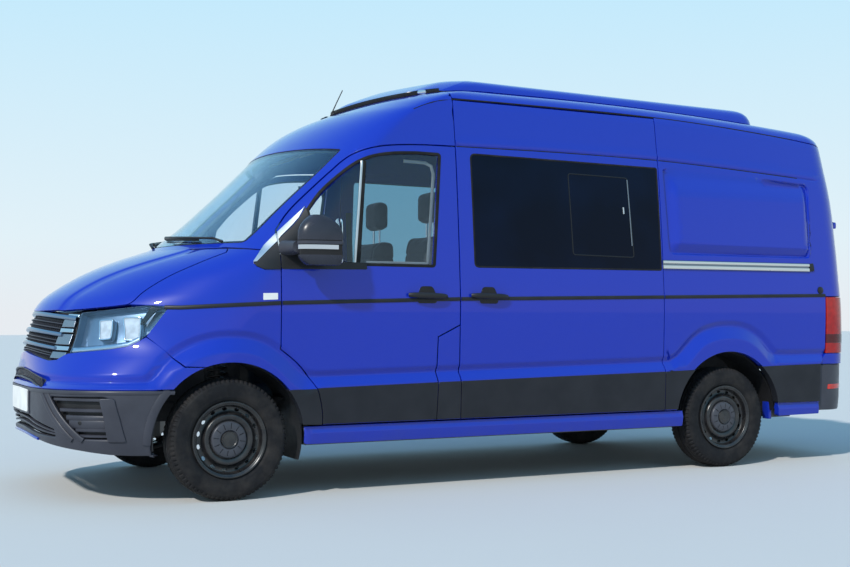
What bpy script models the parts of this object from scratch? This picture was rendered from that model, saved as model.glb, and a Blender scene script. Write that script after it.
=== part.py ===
"""High-roof camper van, built as separate closed panels around a hollow cab and living space.

Metres, +X forward, +Y to the vehicle's left, +Z up, ground at z = 0.
The outer skin is one loft through level outlines. Each panel is the part of that skin inside its
own region, as thick as the whole door or wall, with a real gap to its neighbours.
"""
import math

import bmesh
import bpy
from mathutils import Matrix, Vector

# ----------------------------------------------------------------- driving dimensions
WHEELBASE = 3.640
FRONT_AXLE_X = 1.997
REAR_AXLE_X = FRONT_AXLE_X - WHEELBASE
FRONT_TRACK = 1.757
REAR_TRACK = 1.738
TYRE_RADIUS = 0.352
TYRE_WIDTH = 0.205
RIM_RADIUS = 0.2032
AXLE_Z = TYRE_RADIUS
STEER_AXIS_Y = 0.795

FLOOR_Z = 0.570
SILL_BOTTOM_Z = 0.300
DOOR_BOTTOM_Z = 0.420
GUTTER_Z = 2.440
ROOF_Z = 2.550
B_LINE_X = 0.510
C_LINE_X = -1.080
FRONT_SHUT_X = 1.700
COWL_Z = 1.465

WALL = 0.060
BONNET_THICKNESS = 0.035
GLASS_DEPTH = 0.006
GLASS_THICKNESS = 0.006
DOOR_GAP = 0.009
PANEL_GAP = 0.004
GLASS_GAP = 0.002

FRONT_ARCH_RADIUS = 0.448
REAR_ARCH_RADIUS = 0.470
FLARE_PROUD = 0.016
REAR_DOOR_HALF = 0.830
REAR_DOOR_BOTTOM_Z = 0.625
REAR_DOOR_TOP_Z = 2.330

# ----------------------------------------------------------------- level outlines of the skin
# z, nose x on the centre line, x where the side turns into the nose, half width, tail x,
# fullness of the nose in plan (0 oval, 1 blunt)
SECTIONS = [
    (0.270, 2.930, 2.100, 0.955, -2.890, 1.0),
    (0.330, 2.965, 2.100, 0.972, -2.905, 1.0),
    (0.420, 2.985, 2.100, 0.984, -2.915, 1.0),
    (0.540, 2.993, 2.090, 0.990, -2.915, 1.0),
    (0.650, 2.993, 2.070, 0.994, -2.915, 0.95),
    (0.760, 2.985, 2.020, 0.998, -2.915, 0.55),
    (0.900, 2.975, 1.930, 1.003, -2.915, 0.08),
    (1.010, 2.950, 1.880, 1.007, -2.912, 0.0),
    (1.100, 2.910, 1.850, 1.009, -2.908, 0.0),
    (1.160, 2.864, 1.820, 1.009, -2.905, 0.0),
    (1.225, 2.775, 1.780, 1.007, -2.902, 0.0),
    (1.300, 2.650, 1.740, 1.003, -2.898, 0.0),
    (1.360, 2.525, 1.690, 0.999, -2.894, 0.0),
    (1.420, 2.370, 1.630, 0.996, -2.890, 0.0),
    (1.470, 2.220, 1.576, 0.993, -2.887, 0.0),
    (1.520, 2.140, 1.540, 0.990, -2.884, 0.0),
    (1.630, 1.995, 1.450, 0.982, -2.876, 0.0),
    (1.750, 1.860, 1.360, 0.974, -2.868, 0.0),
    (1.880, 1.720, 1.245, 0.963, -2.858, 0.0),
    (2.010, 1.586, 1.130, 0.952, -2.845, 0.0),
    (2.110, 1.485, 1.035, 0.942, -2.832, 0.0),
    (2.180, 1.415, 0.970, 0.932, -2.820, 0.0),
    (2.270, 1.305, 0.880, 0.921, -2.800, 0.0),
    (2.350, 1.170, 0.780, 0.911, -2.780, 0.0),
    (2.410, 1.030, 0.660, 0.903, -2.755, 0.0),
    (2.440, 0.955, 0.600, 0.896, -2.735, 0.0),
    (2.475, 0.860, 0.520, 0.878, -2.700, 0.0),
    (2.510, 0.740, 0.420, 0.838, -2.650, 0.0),
    (2.535, 0.620, 0.300, 0.770, -2.580, 0.0),
    (2.550, 0.480, 0.180, 0.680, -2.480, 0.0),
]
NOSE_ANGLES = (0, 12, 24, 36, 47, 57, 66, 74, 82, 90)
TAIL_ANGLES = (0, 22, 40, 56, 72, 90)
NOSE_OVAL, NOSE_BLUNT = (2.0, 0.588), (3.5, 0.460)
TAIL_CORNER, TAIL_POWER = 0.28, 5.0
BUMPER_CORNER, BUMPER_POWER = 0.42, 3.3
ROOF_DROOP = 0.100
SIDE_STATIONS = (0.35, 0.60, 0.80)
DOOR_LEVELS = (0.330, 0.420, 0.540, 0.760, 1.100, 1.300, 1.630, 2.010, 2.110, 2.490)

# ----------------------------------------------------------------- side-view outlines (x, z)
DOOR_OUTLINE = [
    (1.440, 0.420), (1.441, 0.500), (1.465, 0.600), (1.487, 0.651), (1.519, 0.700),
    (1.585, 0.776), (1.640, 0.825), (1.700, 0.868), (1.700, 1.545), (1.569, 1.722),
    (1.430, 1.850), (1.275, 1.957), (1.050, 2.045), (0.762, 2.100), (0.510, 2.115),
    (0.510, 1.008), (0.664, 0.934), (0.680, 0.420),
]
FLAP_OUTLINE = [(0.680, 0.420), (0.664, 0.934), (0.510, 1.008), (0.510, 0.420)]
FRONT_FLARE = [(1.436, 0.424), (1.437, 0.500), (1.461, 0.600), (1.483, 0.651), (1.515, 0.702),
               (1.581, 0.779), (1.640, 0.825), (1.703, 0.868), (1.800, 0.910), (1.900, 0.935),
               (1.997, 0.943), (2.094, 0.935), (2.194, 0.909), (2.290, 0.864), (2.380, 0.797),
               (2.450, 0.728), (2.505, 0.669), (2.100, 0.669), (1.900, 0.424)]
REAR_FLARE = [(-1.150, 0.424), (-1.163, 0.560), (-1.185, 0.650), (-1.226, 0.721),
              (-1.330, 0.860), (-1.450, 0.950), (-1.600, 1.000), (-1.750, 0.995),
              (-1.880, 0.955), (-1.980, 0.890), (-2.075, 0.806), (-2.120, 0.720),
              (-2.140, 0.600), (-2.150, 0.424)]
GUTTER_LINE = [(1.200, 2.440), (-1.085, 2.440), (-1.500, 2.433), (-1.900, 2.402),
               (-2.300, 2.342), (-2.450, 2.318), (-2.600, 2.300), (-3.100, 2.300)]
SLIDING_OUTLINE = [
    (B_LINE_X, DOOR_BOTTOM_Z), (B_LINE_X, GUTTER_Z - 0.012),
    (C_LINE_X, GUTTER_Z - 0.012), (C_LINE_X, DOOR_BOTTOM_Z),
]
FRONT_WINDOW = [
    (1.600, 1.385), (1.605, 1.450), (1.505, 1.700), (1.380, 1.850), (1.250, 1.940),
    (1.050, 2.018), (0.800, 2.068), (0.680, 2.078), (0.645, 2.050), (0.675, 1.400),
    (0.700, 1.375),
]
SLIDING_WINDOW = [(0.400, 1.375), (0.405, 2.080), (-1.055, 2.075), (-1.055, 1.380)]
RECESS_OUTLINE = [(-1.130, 1.480), (-1.125, 2.080), (-2.400, 2.030), (-2.450, 1.960),
                  (-2.460, 1.560), (-2.410, 1.490)]
HEADLAMP_OUTLINE = [(2.330, 1.117), (2.520, 0.900), (2.560, 0.885), (2.950, 0.855),
                    (2.950, 1.075), (2.560, 1.112)]
HEADLAMP_INNER_Y = 0.478
BONNET_OUTLINE = [
    (3.050, 1.085), (2.720, 1.105), (2.560, 1.125), (2.510, 1.142), (2.450, 1.198),
    (2.363, 1.258), (2.258, 1.317), (2.098, 1.390), (1.975, 1.440), (1.950, COWL_Z),
    (3.050, COWL_Z),
]
TAIL_LAMP_OUTLINE = [(-2.575, 0.790), (-2.575, 1.207), (-3.100, 1.207), (-3.100, 0.790)]
# front-view outlines (y, z)
WINDSCREEN_OUTLINE = [(-0.845, 1.500), (0.845, 1.500), (0.800, 2.000), (0.770, 2.050),
                      (0.700, 2.085), (0.400, 2.135), (0.000, 2.155), (-0.400, 2.135),
                      (-0.700, 2.085), (-0.770, 2.050), (-0.800, 2.000)]
GRILLE_OUTLINE = [(-0.330, 0.745), (0.330, 0.745), (0.440, 0.855), (0.470, 1.075),
                  (-0.470, 1.075), (-0.440, 0.855)]
REAR_PANEL = [(0.130, 1.370), (0.720, 1.370), (0.700, 2.080), (0.130, 2.080)]
# lifting roof shell: z, front x on the centre line, half width, rear x
SHELL_ROWS = [
    (2.400, 0.965, 0.690, -2.215), (2.450, 0.958, 0.690, -2.212), (2.510, 0.895, 0.688, -2.205),
    (2.560, 0.780, 0.676, -2.190), (2.600, 0.660, 0.652, -2.168), (2.630, 0.520, 0.608, -2.135),
    (2.650, 0.380, 0.535, -2.060), (2.663, 0.220, 0.410, -1.900), (2.670, 0.050, 0.240, -1.600),
]

# name, base colour, roughness, metallic
FINISHES = {
    "paint": ((0.030, 0.052, 0.480), 0.28, 0.0),
    "plastic": ((0.045, 0.048, 0.055), 0.60, 0.0),
    "glass": ((0.030, 0.036, 0.045), 0.08, 0.0),
    "rubber": ((0.030, 0.029, 0.028), 0.85, 0.0),
    "steel": ((0.022, 0.022, 0.024), 0.45, 0.3),
    "cast": ((0.180, 0.180, 0.185), 0.70, 0.8),
    "lamp": ((0.780, 0.800, 0.820), 0.12, 0.0),
    "tail": ((0.480, 0.020, 0.018), 0.15, 0.0),
    "cloth": ((0.070, 0.072, 0.078), 0.90, 0.0),
}


# ----------------------------------------------------------------- helpers
def clear_scene():
    """Remove whatever the scene starts with."""
    for obj in list(bpy.data.objects):
        bpy.data.objects.remove(obj, do_unlink=True)


def finish(name):
    """Return the named Principled material, made once."""
    found = bpy.data.materials.get(name)
    if found:
        return found
    colour, roughness, metallic = FINISHES[name]
    made = bpy.data.materials.new(name)
    made.use_nodes = True
    shader = made.node_tree.nodes["Principled BSDF"]
    shader.inputs["Base Color"].default_value = (*colour, 1.0)
    shader.inputs["Roughness"].default_value = roughness
    shader.inputs["Metallic"].default_value = metallic
    made.diffuse_color = (*colour, 1.0)
    return made


def solid(name, verts, faces):
    """Make a linked mesh object with outward normals."""
    mesh = bpy.data.meshes.new(name)
    mesh.from_pydata([tuple(v) for v in verts], [], faces)
    work = bmesh.new()
    work.from_mesh(mesh)
    bmesh.ops.recalc_face_normals(work, faces=work.faces)
    work.to_mesh(mesh)
    work.free()
    made = bpy.data.objects.new(name, mesh)
    bpy.context.collection.objects.link(made)
    return made


def prism(outline, low, high, plane="xz"):
    """Extrude a flat outline: side view along Y, front view along X, or plan along Z."""
    place = {"xz": lambda a, b, c: (a, c, b), "yz": lambda a, b, c: (c, a, b),
             "xy": lambda a, b, c: (a, b, c)}[plane]
    count = len(outline)
    verts = [place(a, b, low) for a, b in outline] + [place(a, b, high) for a, b in outline]
    faces = [tuple(range(count)), tuple(range(2 * count - 1, count - 1, -1))]
    faces += [(i, (i + 1) % count, count + (i + 1) % count, count + i) for i in range(count)]
    return solid("cutter", verts, faces)


def box(x0, x1, y0, y1, z0, z1):
    """A plain block between two corners."""
    return prism([(x0, z0), (x1, z0), (x1, z1), (x0, z1)], y0, y1)


def cylinder(radius, centre, axis, length, sides=32):
    """A closed cylinder centred on a point."""
    verts, faces = [], []
    for end in (-0.5, 0.5):
        verts += [(radius * math.cos(2 * math.pi * i / sides),
                   radius * math.sin(2 * math.pi * i / sides), end * length)
                  for i in range(sides)]
    faces = [tuple(range(sides)), tuple(range(sides, 2 * sides))]
    faces += [(i, (i + 1) % sides, sides + (i + 1) % sides, sides + i) for i in range(sides)]
    made = solid("cutter", verts, faces)
    turn = Vector((0, 0, 1)).rotation_difference(Vector(axis)).to_matrix().to_4x4()
    made.data.transform(Matrix.Translation(centre) @ turn)
    return made


def grown(outline, distance):
    """Offset a closed outline outwards (negative: inwards) with mitred corners."""
    area = sum(a[0] * b[1] - b[0] * a[1] for a, b in zip(outline, outline[1:] + outline[:1]))
    sign = 1.0 if area > 0 else -1.0
    count, result = len(outline), []
    for i in range(count):
        before, here, after = outline[i - 1], outline[i], outline[(i + 1) % count]
        first = Vector((here[0] - before[0], here[1] - before[1])).normalized()
        second = Vector((after[0] - here[0], after[1] - here[1])).normalized()
        normal_a = Vector((first.y, -first.x)) * sign
        normal_b = Vector((second.y, -second.x)) * sign
        middle = (normal_a + normal_b).normalized()
        reach = distance / max(middle.dot(normal_a), 0.35)
        result.append((here[0] + middle.x * reach, here[1] + middle.y * reach))
    return result


def section_at(z):
    """Interpolate the outline table at one height."""
    if z <= SECTIONS[0][0]:
        return SECTIONS[0][1:]
    for low, high in zip(SECTIONS, SECTIONS[1:]):
        if z <= high[0]:
            part = (z - low[0]) / (high[0] - low[0])
            return tuple(a + (b - a) * part for a, b in zip(low[1:], high[1:]))
    return SECTIONS[-1][1:]


def droop(x, z):
    """How far the roof falls towards the tail."""
    share = max(0.0, -x - 0.3) / 2.4
    return ROOF_DROOP * share * share * min(max((z - 1.85) / 0.55, 0.0), 1.0)


def outline_at(z, nose, side, tail, nose_limit=None, corner=(TAIL_CORNER, TAIL_POWER)):
    """Closed plan outline at one height, moved inwards by the three insets."""
    x_nose, x_turn, half, x_tail, full = section_at(z)
    power, root = (a + (b - a) * full for a, b in zip(NOSE_OVAL, NOSE_BLUNT))
    x_nose, half, x_tail = x_nose - nose, half - side, x_tail + tail
    x_turn -= nose * 0.5
    if nose_limit is not None and x_nose > nose_limit:
        x_nose = nose_limit
        x_turn = min(x_turn, nose_limit - 0.12)
    points = []
    for angle in NOSE_ANGLES:
        turn = math.radians(angle)
        across = math.sin(turn)
        along = max(1.0 - across ** power, 0.0) ** root
        points.append((x_turn + (x_nose - x_turn) * along, half * across))
    x_corner = x_tail + corner[0]
    for part in SIDE_STATIONS:
        points.append((x_turn + (x_corner - x_turn) * part, half))
    for angle in TAIL_ANGLES:
        turn = math.radians(angle)
        points.append((x_corner - corner[0] * math.sin(turn),
                       half * max(math.cos(turn), 0.0) ** (2.0 / corner[1])))
    points[-1] = (x_tail, 0.0)
    return points + [(x, -y) for x, y in reversed(points[1:-1])]


def end_caps(count, starts):
    """Close each end of a symmetric ring stack with strips straight across."""
    faces = []
    for start in starts:
        for i in range(count // 2):
            left, right = (start + i, start + i + 1), (start + (count - i - 1) % count,
                                                       start + (count - i) % count)
            faces.append(tuple(dict.fromkeys((*left, *right))))
    return faces


def loft(levels, nose=0.0, side=0.0, tail=0.0, nose_limits=None, lift=0.0,
         corner=(TAIL_CORNER, TAIL_POWER)):
    """Skin through level outlines, closed flat at both ends."""
    verts, faces = [], []
    for step, z in enumerate(levels):
        limit = nose_limits[step] if nose_limits else None
        share = step / (len(levels) - 1)
        ring = outline_at(z + lift * share, nose, side, tail, limit, corner)
        verts += [(x, y, z - droop(x, z)) for x, y in ring]
    count = len(verts) // len(levels)
    for step in range(len(levels) - 1):
        for i in range(count):
            j = (i + 1) % count
            faces.append((step * count + i, step * count + j,
                          (step + 1) * count + j, (step + 1) * count + i))
    faces += end_caps(count, (0, (len(levels) - 1) * count))
    return solid("skin", verts, faces)


def apply_modifiers(obj):
    """Bake the modifiers into the mesh."""
    graph = bpy.context.evaluated_depsgraph_get()
    graph.update()
    baked = bpy.data.meshes.new_from_object(obj.evaluated_get(graph))
    obj.modifiers.clear()
    obj.data = baked


def boolean(obj, other, operation):
    """Combine one tool body into an object; the tool is used up."""
    step = obj.modifiers.new(operation.lower(), "BOOLEAN")
    step.operation = operation
    step.solver = "EXACT"
    step.object = other
    apply_modifiers(obj)
    bpy.data.objects.remove(other, do_unlink=True)
    return obj


def shape(base, keep=(), cut=(), join=()):
    """Keep, cut and join in that order."""
    for tool in keep:
        boolean(base, tool, "INTERSECT")
    for tool in cut:
        boolean(base, tool, "DIFFERENCE")
    for tool in join:
        boolean(base, tool, "UNION")
    return base


def mirrored(obj):
    """Mirror an object's mesh to the other side of the vehicle."""
    copy = bpy.data.objects.new(obj.name, obj.data.copy())
    bpy.context.collection.objects.link(copy)
    copy.data.transform(Matrix.Scale(-1.0, 4, Vector((0, 1, 0))))
    copy.data.flip_normals()
    return copy


def tidy(obj):
    """Merge doubled points and remove slivers left by the cuts."""
    work = bmesh.new()
    work.from_mesh(obj.data)
    bmesh.ops.remove_doubles(work, verts=work.verts, dist=0.00005)
    bmesh.ops.dissolve_degenerate(work, edges=work.edges, dist=0.00005)
    bmesh.ops.dissolve_limit(work, angle_limit=math.radians(0.4), verts=work.verts,
                             edges=work.edges, delimit={"NORMAL"})
    bmesh.ops.triangulate(work, faces=work.faces)
    bmesh.ops.recalc_face_normals(work, faces=work.faces)
    work.to_mesh(obj.data)
    work.free()


def named(obj, name, material, origin=(0.0, 0.0, 0.0), smooth=False):
    """Give a finished piece its name, finish and origin."""
    tidy(obj)
    obj.name = name
    obj.data.name = name
    obj.data.materials.clear()
    obj.data.materials.append(finish(material))
    obj.data.transform(Matrix.Translation(-Vector(origin)))
    obj.location = origin
    for face in obj.data.polygons:
        face.use_smooth = smooth
    return obj


# ----------------------------------------------------------------- shared tool bodies
def outer_skin(low=SILL_BOTTOM_Z, high=ROOF_Z, **insets):
    """The outer form between two heights."""
    levels = [low] + [row[0] for row in SECTIONS if low < row[0] < high] + [high]
    return loft(levels, **insets)


def cabin_space(wall=WALL):
    """The hollow inside: cab and living space behind the firewall."""
    levels = [FLOOR_Z, 0.90, 1.16, 1.36, 1.45, 1.50, 1.63, 1.75, 1.88, 2.01, 2.11, 2.18,
              2.27, 2.35, 2.41, 2.46, 2.505]
    limits = [1.76, 1.76, 1.76, 1.80, 2.02, None, None, None, None, None, None, None,
              None, None, None, None, None]
    return loft(levels, nose=0.055, side=wall, tail=wall, nose_limits=limits, lift=0.045)


def wheel_space(axle_x, radius, sides=40):
    """The open wheel housing on both sides, cut through the outer skin."""
    return cylinder(radius, (axle_x, 0.0, AXLE_Z), (0, 1, 0), 2.6, sides)


def side_window(outline, name, gap=0.0):
    """Flush glass that follows the skin inside an outline, on the left."""
    pane = outer_skin(1.30, 2.20, nose=GLASS_DEPTH, side=GLASS_DEPTH, tail=GLASS_DEPTH)
    inner = GLASS_DEPTH + GLASS_THICKNESS
    shape(pane, keep=[prism(grown(outline, -gap), 0.5, 1.3)],
          cut=[outer_skin(1.29, 2.21, nose=inner, side=inner, tail=inner)])
    pane.name = name
    return pane


# ----------------------------------------------------------------- body panels
def build_platform():
    """Floor, sills, firewall, front rails and wheel housings as one welded pressing."""
    body = box(-2.840, 1.760, -0.920, 0.920, 0.450, FLOOR_Z - 0.002)
    joins = [box(1.745, 1.800, -0.870, 0.870, 0.450, 1.342)]
    for side in (-1, 1):
        inner, outer = sorted((side * 0.850, side * 0.905))
        joins.append(box(-2.300, 1.745, inner, outer, 0.330, 0.460))
        inner, outer = sorted((side * 0.400, side * 0.470))
        joins.append(box(1.780, 2.640, inner, outer, 0.430, 0.540))
    joins.append(box(2.580, 2.640, -0.560, 0.560, 0.430, 0.540))
    shape(body, keep=[outer_skin(0.27, 0.65, side=0.068, tail=0.090,
                                 corner=(BUMPER_CORNER, BUMPER_POWER))], join=joins)
    for side in (-1, 1):
        boolean(body, cylinder(REAR_ARCH_RADIUS + 0.025, (REAR_AXLE_X, side * 0.747, AXLE_Z),
                               (0, 1, 0), 0.314, 40), "UNION")
    boolean(body, box(-3.0, 3.0, -1.0, 1.0, -0.5, 0.329), "DIFFERENCE")
    for side in (-1, 1):
        sill = shape(outer_skin(SILL_BOTTOM_Z, DOOR_BOTTOM_Z - 0.009),
                     keep=[box(-1.250, 1.550, *sorted((side * 0.5, side * 1.2)), 0.2, 0.6)],
                     cut=[outer_skin(0.29, 0.6, side=0.110)])
        boolean(body, sill, "UNION")
    for side in (-1, 1):
        boolean(body, cylinder(REAR_ARCH_RADIUS, (REAR_AXLE_X, side * 0.905, AXLE_Z),
                               (0, 1, 0), 0.580, 40), "DIFFERENCE")
        boolean(body, cylinder(0.470, (FRONT_AXLE_X, side * 0.905, AXLE_Z),
                               (0, 1, 0), 0.700, 40), "DIFFERENCE")
    boolean(body, box(-2.3, -1.0, -0.640, 0.640, 0.2, 0.4495), "DIFFERENCE")
    named(body, "platform", "plastic")


def flare(outline, low, side):
    """The raised lip round one wheel arch."""
    return shape(outer_skin(low, 1.10, side=-FLARE_PROUD),
                 keep=[prism(outline, *sorted((side * 0.5, side * 1.3)))],
                 cut=[outer_skin(low - 0.01, 1.2, side=0.030)])


def door_cutters(side):
    """Everything that the side doors and their gap take out of fixed panels."""
    low, high = (0.5, 1.3) if side > 0 else (-1.3, -0.5)
    return [prism(grown(DOOR_OUTLINE, DOOR_GAP / 2), low, high)]


def build_front_frame():
    """Cowl, windscreen posts, roof header and the rails over the front doors."""
    region = prism([(B_LINE_X + 0.002, 2.60), (B_LINE_X + 0.002, 1.345), (1.690, 1.345),
                    (1.703, 1.363), (1.960, COWL_Z + 0.003), (2.80, COWL_Z + 0.003),
                    (2.80, 2.60)], -1.2, 1.2)
    frame = shape(outer_skin(1.34, ROOF_Z), keep=[region],
                  cut=[cabin_space(),
                       prism(grown(WINDSCREEN_OUTLINE, GLASS_GAP), 0.9, 2.6, "yz"),
                       *door_cutters(1), *door_cutters(-1)])
    named(frame, "windscreen_frame", "paint")


def build_windscreen():
    """Curved windscreen, flush with its frame."""
    inner = GLASS_DEPTH + GLASS_THICKNESS
    pane = shape(outer_skin(1.45, 2.25, nose=GLASS_DEPTH, side=GLASS_DEPTH),
                 keep=[prism(grown(WINDSCREEN_OUTLINE, -GLASS_GAP), 0.9, 2.6, "yz")],
                 cut=[outer_skin(1.44, 2.26, nose=inner, side=inner)])
    named(pane, "windscreen", "glass")


def build_roof():
    """Roof skin behind the B line with the opening under the lifting shell."""
    skin = shape(outer_skin(2.270, ROOF_Z),
                 keep=[prism(GUTTER_LINE + [(-3.100, 2.700), (1.200, 2.700)], -1.2, 1.2),
                       box(-3.1, B_LINE_X - 0.002, -1.2, 1.2, 2.2, 2.7)],
                 cut=[cabin_space(),
                      box(-3.1, -2.40, -REAR_DOOR_HALF - 0.006, REAR_DOOR_HALF + 0.006, 2.2,
                          REAR_DOOR_TOP_Z + DOOR_GAP / 2),
                      box(-1.90, 0.45, -0.56, 0.56, 2.3, 2.7)])
    named(skin, "roof", "paint")


def rear_door_region(side, extra=0.0):
    """The block in which one back door lies."""
    low, high = 0.0045 - extra, REAR_DOOR_HALF + extra
    if side < 0:
        low, high = -high, -low
    return box(-3.1, -2.45, low, high, REAR_DOOR_BOTTOM_Z - extra, REAR_DOOR_TOP_Z + extra)


def build_sides():
    """Fixed body sides: left behind the sliding door, right from the front door back."""
    for side, label, front in ((1, "left", C_LINE_X - 0.002), (-1, "right", B_LINE_X - 0.004)):
        low, high = (0.0, 1.2) if side > 0 else (-1.2, 0.0)
        cuts = [cabin_space(),
                box(-3.1, -2.4, -REAR_DOOR_HALF - 0.008, REAR_DOOR_HALF + 0.008, 0.2, 2.5),
                prism([(x, z - 0.004) for x, z in GUTTER_LINE] + [(-3.1, 2.7), (1.2, 2.7)],
                      -1.2, 1.2),
                prism(grown(TAIL_LAMP_OUTLINE, 0.001), low, high),
                box(-3.1, -2.496, -1.3, 1.3, 0.2, 0.707),
                outer_skin(0.27, FLOOR_Z + 0.001, side=WALL, tail=WALL),
                box(-1.30, 0.7, -1.3, 1.3, 0.2, DOOR_BOTTOM_Z)]
        if side > 0:
            cuts.append(prism(RECESS_OUTLINE, 0.966, 1.2))
        else:
            cuts.append(prism(grown(SLIDING_WINDOW, GLASS_GAP), -1.2, -0.5))
        panel = shape(outer_skin(0.345, GUTTER_Z), keep=[box(-3.1, front, low, high, 0.2, 2.6)],
                      cut=cuts, join=[flare(REAR_FLARE, 0.40, side)])
        boolean(panel, wheel_space(REAR_AXLE_X, REAR_ARCH_RADIUS), "DIFFERENCE")
        named(panel, "side_" + label, "paint")


def build_sliding_door():
    """Sliding door with its window opening."""
    door = shape(outer_skin(0.40, GUTTER_Z),
                 keep=[prism(grown(SLIDING_OUTLINE, -DOOR_GAP / 2), 0.5, 1.3)],
                 cut=[loft(DOOR_LEVELS, side=WALL),
                      prism(grown(SLIDING_WINDOW, GLASS_GAP), 0.5, 1.3)])
    named(door, "sliding_door", "paint")
    pane = side_window(SLIDING_WINDOW, "pane", GLASS_GAP)
    named(mirrored(pane), "side_window_right", "glass")
    named(pane, "sliding_door_window", "glass")


def build_front_doors():
    """Front doors, hinged at their front edge, and their glass."""
    for side, label in ((1, "left"), (-1, "right")):
        hinge = (FRONT_SHUT_X, side * 1.020, 1.0)
        door = shape(outer_skin(0.40, 2.20),
                     keep=[prism(grown(DOOR_OUTLINE, -DOOR_GAP / 2), 0.5, 1.3)],
                     cut=[loft(DOOR_LEVELS, side=WALL, nose=0.055),
                          prism(grown(FRONT_WINDOW, GLASS_GAP), 0.5, 1.3)])
        pane = side_window(FRONT_WINDOW, "pane", GLASS_GAP)
        if side < 0:
            olds, door, pane = (door, pane), mirrored(door), mirrored(pane)
            for old in olds:
                bpy.data.objects.remove(old, do_unlink=True)
        named(door, "front_door_" + label, "paint", hinge)
        named(pane, "door_glass_" + label, "glass", hinge)


def build_fuel_flap():
    """Filler flap let into the corner of the left front door."""
    flap = shape(outer_skin(0.40, 1.10),
                 keep=[prism(grown(FLAP_OUTLINE, -DOOR_GAP / 2), 0.5, 1.3)],
                 cut=[outer_skin(0.30, 1.20, side=0.010)])
    named(flap, "fuel_flap", "paint", (B_LINE_X, 1.008, 0.70))


def build_bonnet():
    """Bonnet, hinged at the cowl; its rear edge stands upright ahead of the windscreen."""
    cowl = [(x, y) for x, y in outline_at(COWL_Z, -0.007, -0.007, 0.0)]
    bonnet = shape(outer_skin(1.0, COWL_Z),
                   keep=[prism(grown(BONNET_OUTLINE, -0.003), -1.3, 1.3)],
                   cut=[outer_skin(0.9, COWL_Z - 0.020, nose=0.060, side=0.035),
                        prism(cowl, 0.8, 1.8, "xy")])
    named(bonnet, "bonnet", "paint", (1.925, 0.0, 1.470))


def build_wings():
    """Front wings between bonnet, door, headlamp and arch."""
    for side, label in ((1, "left"), (-1, "right")):
        outline = [(1.400, 0.424), (1.400, 0.820), (1.703, 0.880), (1.703, 1.360),
                   (1.960, COWL_Z - 0.001), (2.60, COWL_Z - 0.001), (2.60, 0.880),
                   (2.545, 0.880), (2.545, 0.670), (2.100, 0.670), (1.900, 0.424)]
        wing = shape(outer_skin(0.41, 1.50),
                     keep=[prism(outline, 0.45, 1.3)],
                     cut=[outer_skin(0.40, 1.55, nose=0.060, side=0.045),
                          prism(grown(BONNET_OUTLINE, 0.003), -1.3, 1.3),
                          prism(grown(HEADLAMP_OUTLINE, 0.002), 0.3, 1.3)],
                     join=[flare(FRONT_FLARE, 0.41, 1)])
        for tool in (wheel_space(FRONT_AXLE_X, FRONT_ARCH_RADIUS), door_cutters(1)[0]):
            boolean(wing, tool, "DIFFERENCE")
        if side < 0:
            old, wing = wing, mirrored(wing)
            bpy.data.objects.remove(old, do_unlink=True)
        named(wing, "wing_" + label, "paint")


def build_nose():
    """Front bumper, grille and headlamps."""
    bumper = shape(outer_skin(0.27, 1.060),
                   keep=[prism([(2.340, 0.260), (2.660, 0.278), (3.100, 0.372), (3.10, 1.060),
                                (2.640, 1.060), (2.549, 0.876), (2.549, 0.666),
                                (2.340, 0.666)], -1.3, 1.3)],
                   cut=[outer_skin(0.20, 1.2, nose=0.090, side=0.050),
                        prism(grown(HEADLAMP_OUTLINE, 0.002), -1.3, 1.3),
                        prism(grown(GRILLE_OUTLINE, 0.002), 2.0, 3.2, "yz"),
                        box(2.0, 3.2, -1.3, 1.3, 0.853, 1.2),
                        wheel_space(FRONT_AXLE_X, FRONT_ARCH_RADIUS)])
    named(bumper, "front_bumper", "plastic")
    grille = shape(outer_skin(0.70, 1.082, nose=0.012),
                   keep=[prism(GRILLE_OUTLINE, 2.0, 3.2, "yz")],
                   cut=[outer_skin(0.60, 1.2, nose=0.070, side=0.01)])
    named(grille, "grille", "plastic")
    for side, label in ((1, "left"), (-1, "right")):
        low, high = sorted((side * HEADLAMP_INNER_Y, side * 1.3))
        lamp = shape(outer_skin(0.80, 1.14),
                     keep=[prism(HEADLAMP_OUTLINE, low, high)],
                     cut=[outer_skin(0.7, 1.2, nose=0.110, side=0.090)])
        named(lamp, "headlamp_" + label, "lamp")


def build_tail():
    """Back doors, tail lamps and rear bumper."""
    for side, label in ((1, "left"), (-1, "right")):
        panel = [(side * y, z) for y, z in REAR_PANEL]
        hinge = (-2.925, side * (REAR_DOOR_HALF + 0.004), 1.5)
        swing = cylinder(REAR_DOOR_HALF - 0.001, hinge, (0, 0, 1), 2.4, 120)
        door = shape(outer_skin(0.60, 2.42), keep=[rear_door_region(side), swing],
                     cut=[outer_skin(0.5, 2.45, side=0.02, tail=WALL),
                          shape(outer_skin(1.2, 2.2, tail=-0.02),
                                keep=[prism(panel, -3.2, -2.0, "yz")],
                                cut=[outer_skin(1.1, 2.3, tail=0.012)])])
        named(door, "rear_door_" + label, "paint", hinge)
        low, high = sorted((side * 0.852, side * 1.3))
        lamp = shape(outer_skin(0.70, 1.30), keep=[prism(TAIL_LAMP_OUTLINE, low, high)],
                     cut=[outer_skin(0.6, 1.4, side=WALL, tail=WALL)])
        named(lamp, "tail_lamp_" + label, "tail")
    corner = (BUMPER_CORNER, BUMPER_POWER)
    bumper = shape(outer_skin(0.36, 0.703, tail=-0.078, side=-0.004, corner=corner),
                   keep=[box(-3.2, -2.500, -1.3, 1.3, 0.3, 0.8)],
                   cut=[outer_skin(0.3, 0.8, tail=0.030, side=0.040, corner=corner),
                        box(-3.2, -2.3, -0.850, 0.850, 0.612, 0.9)])
    named(bumper, "rear_bumper", "plastic")


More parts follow.
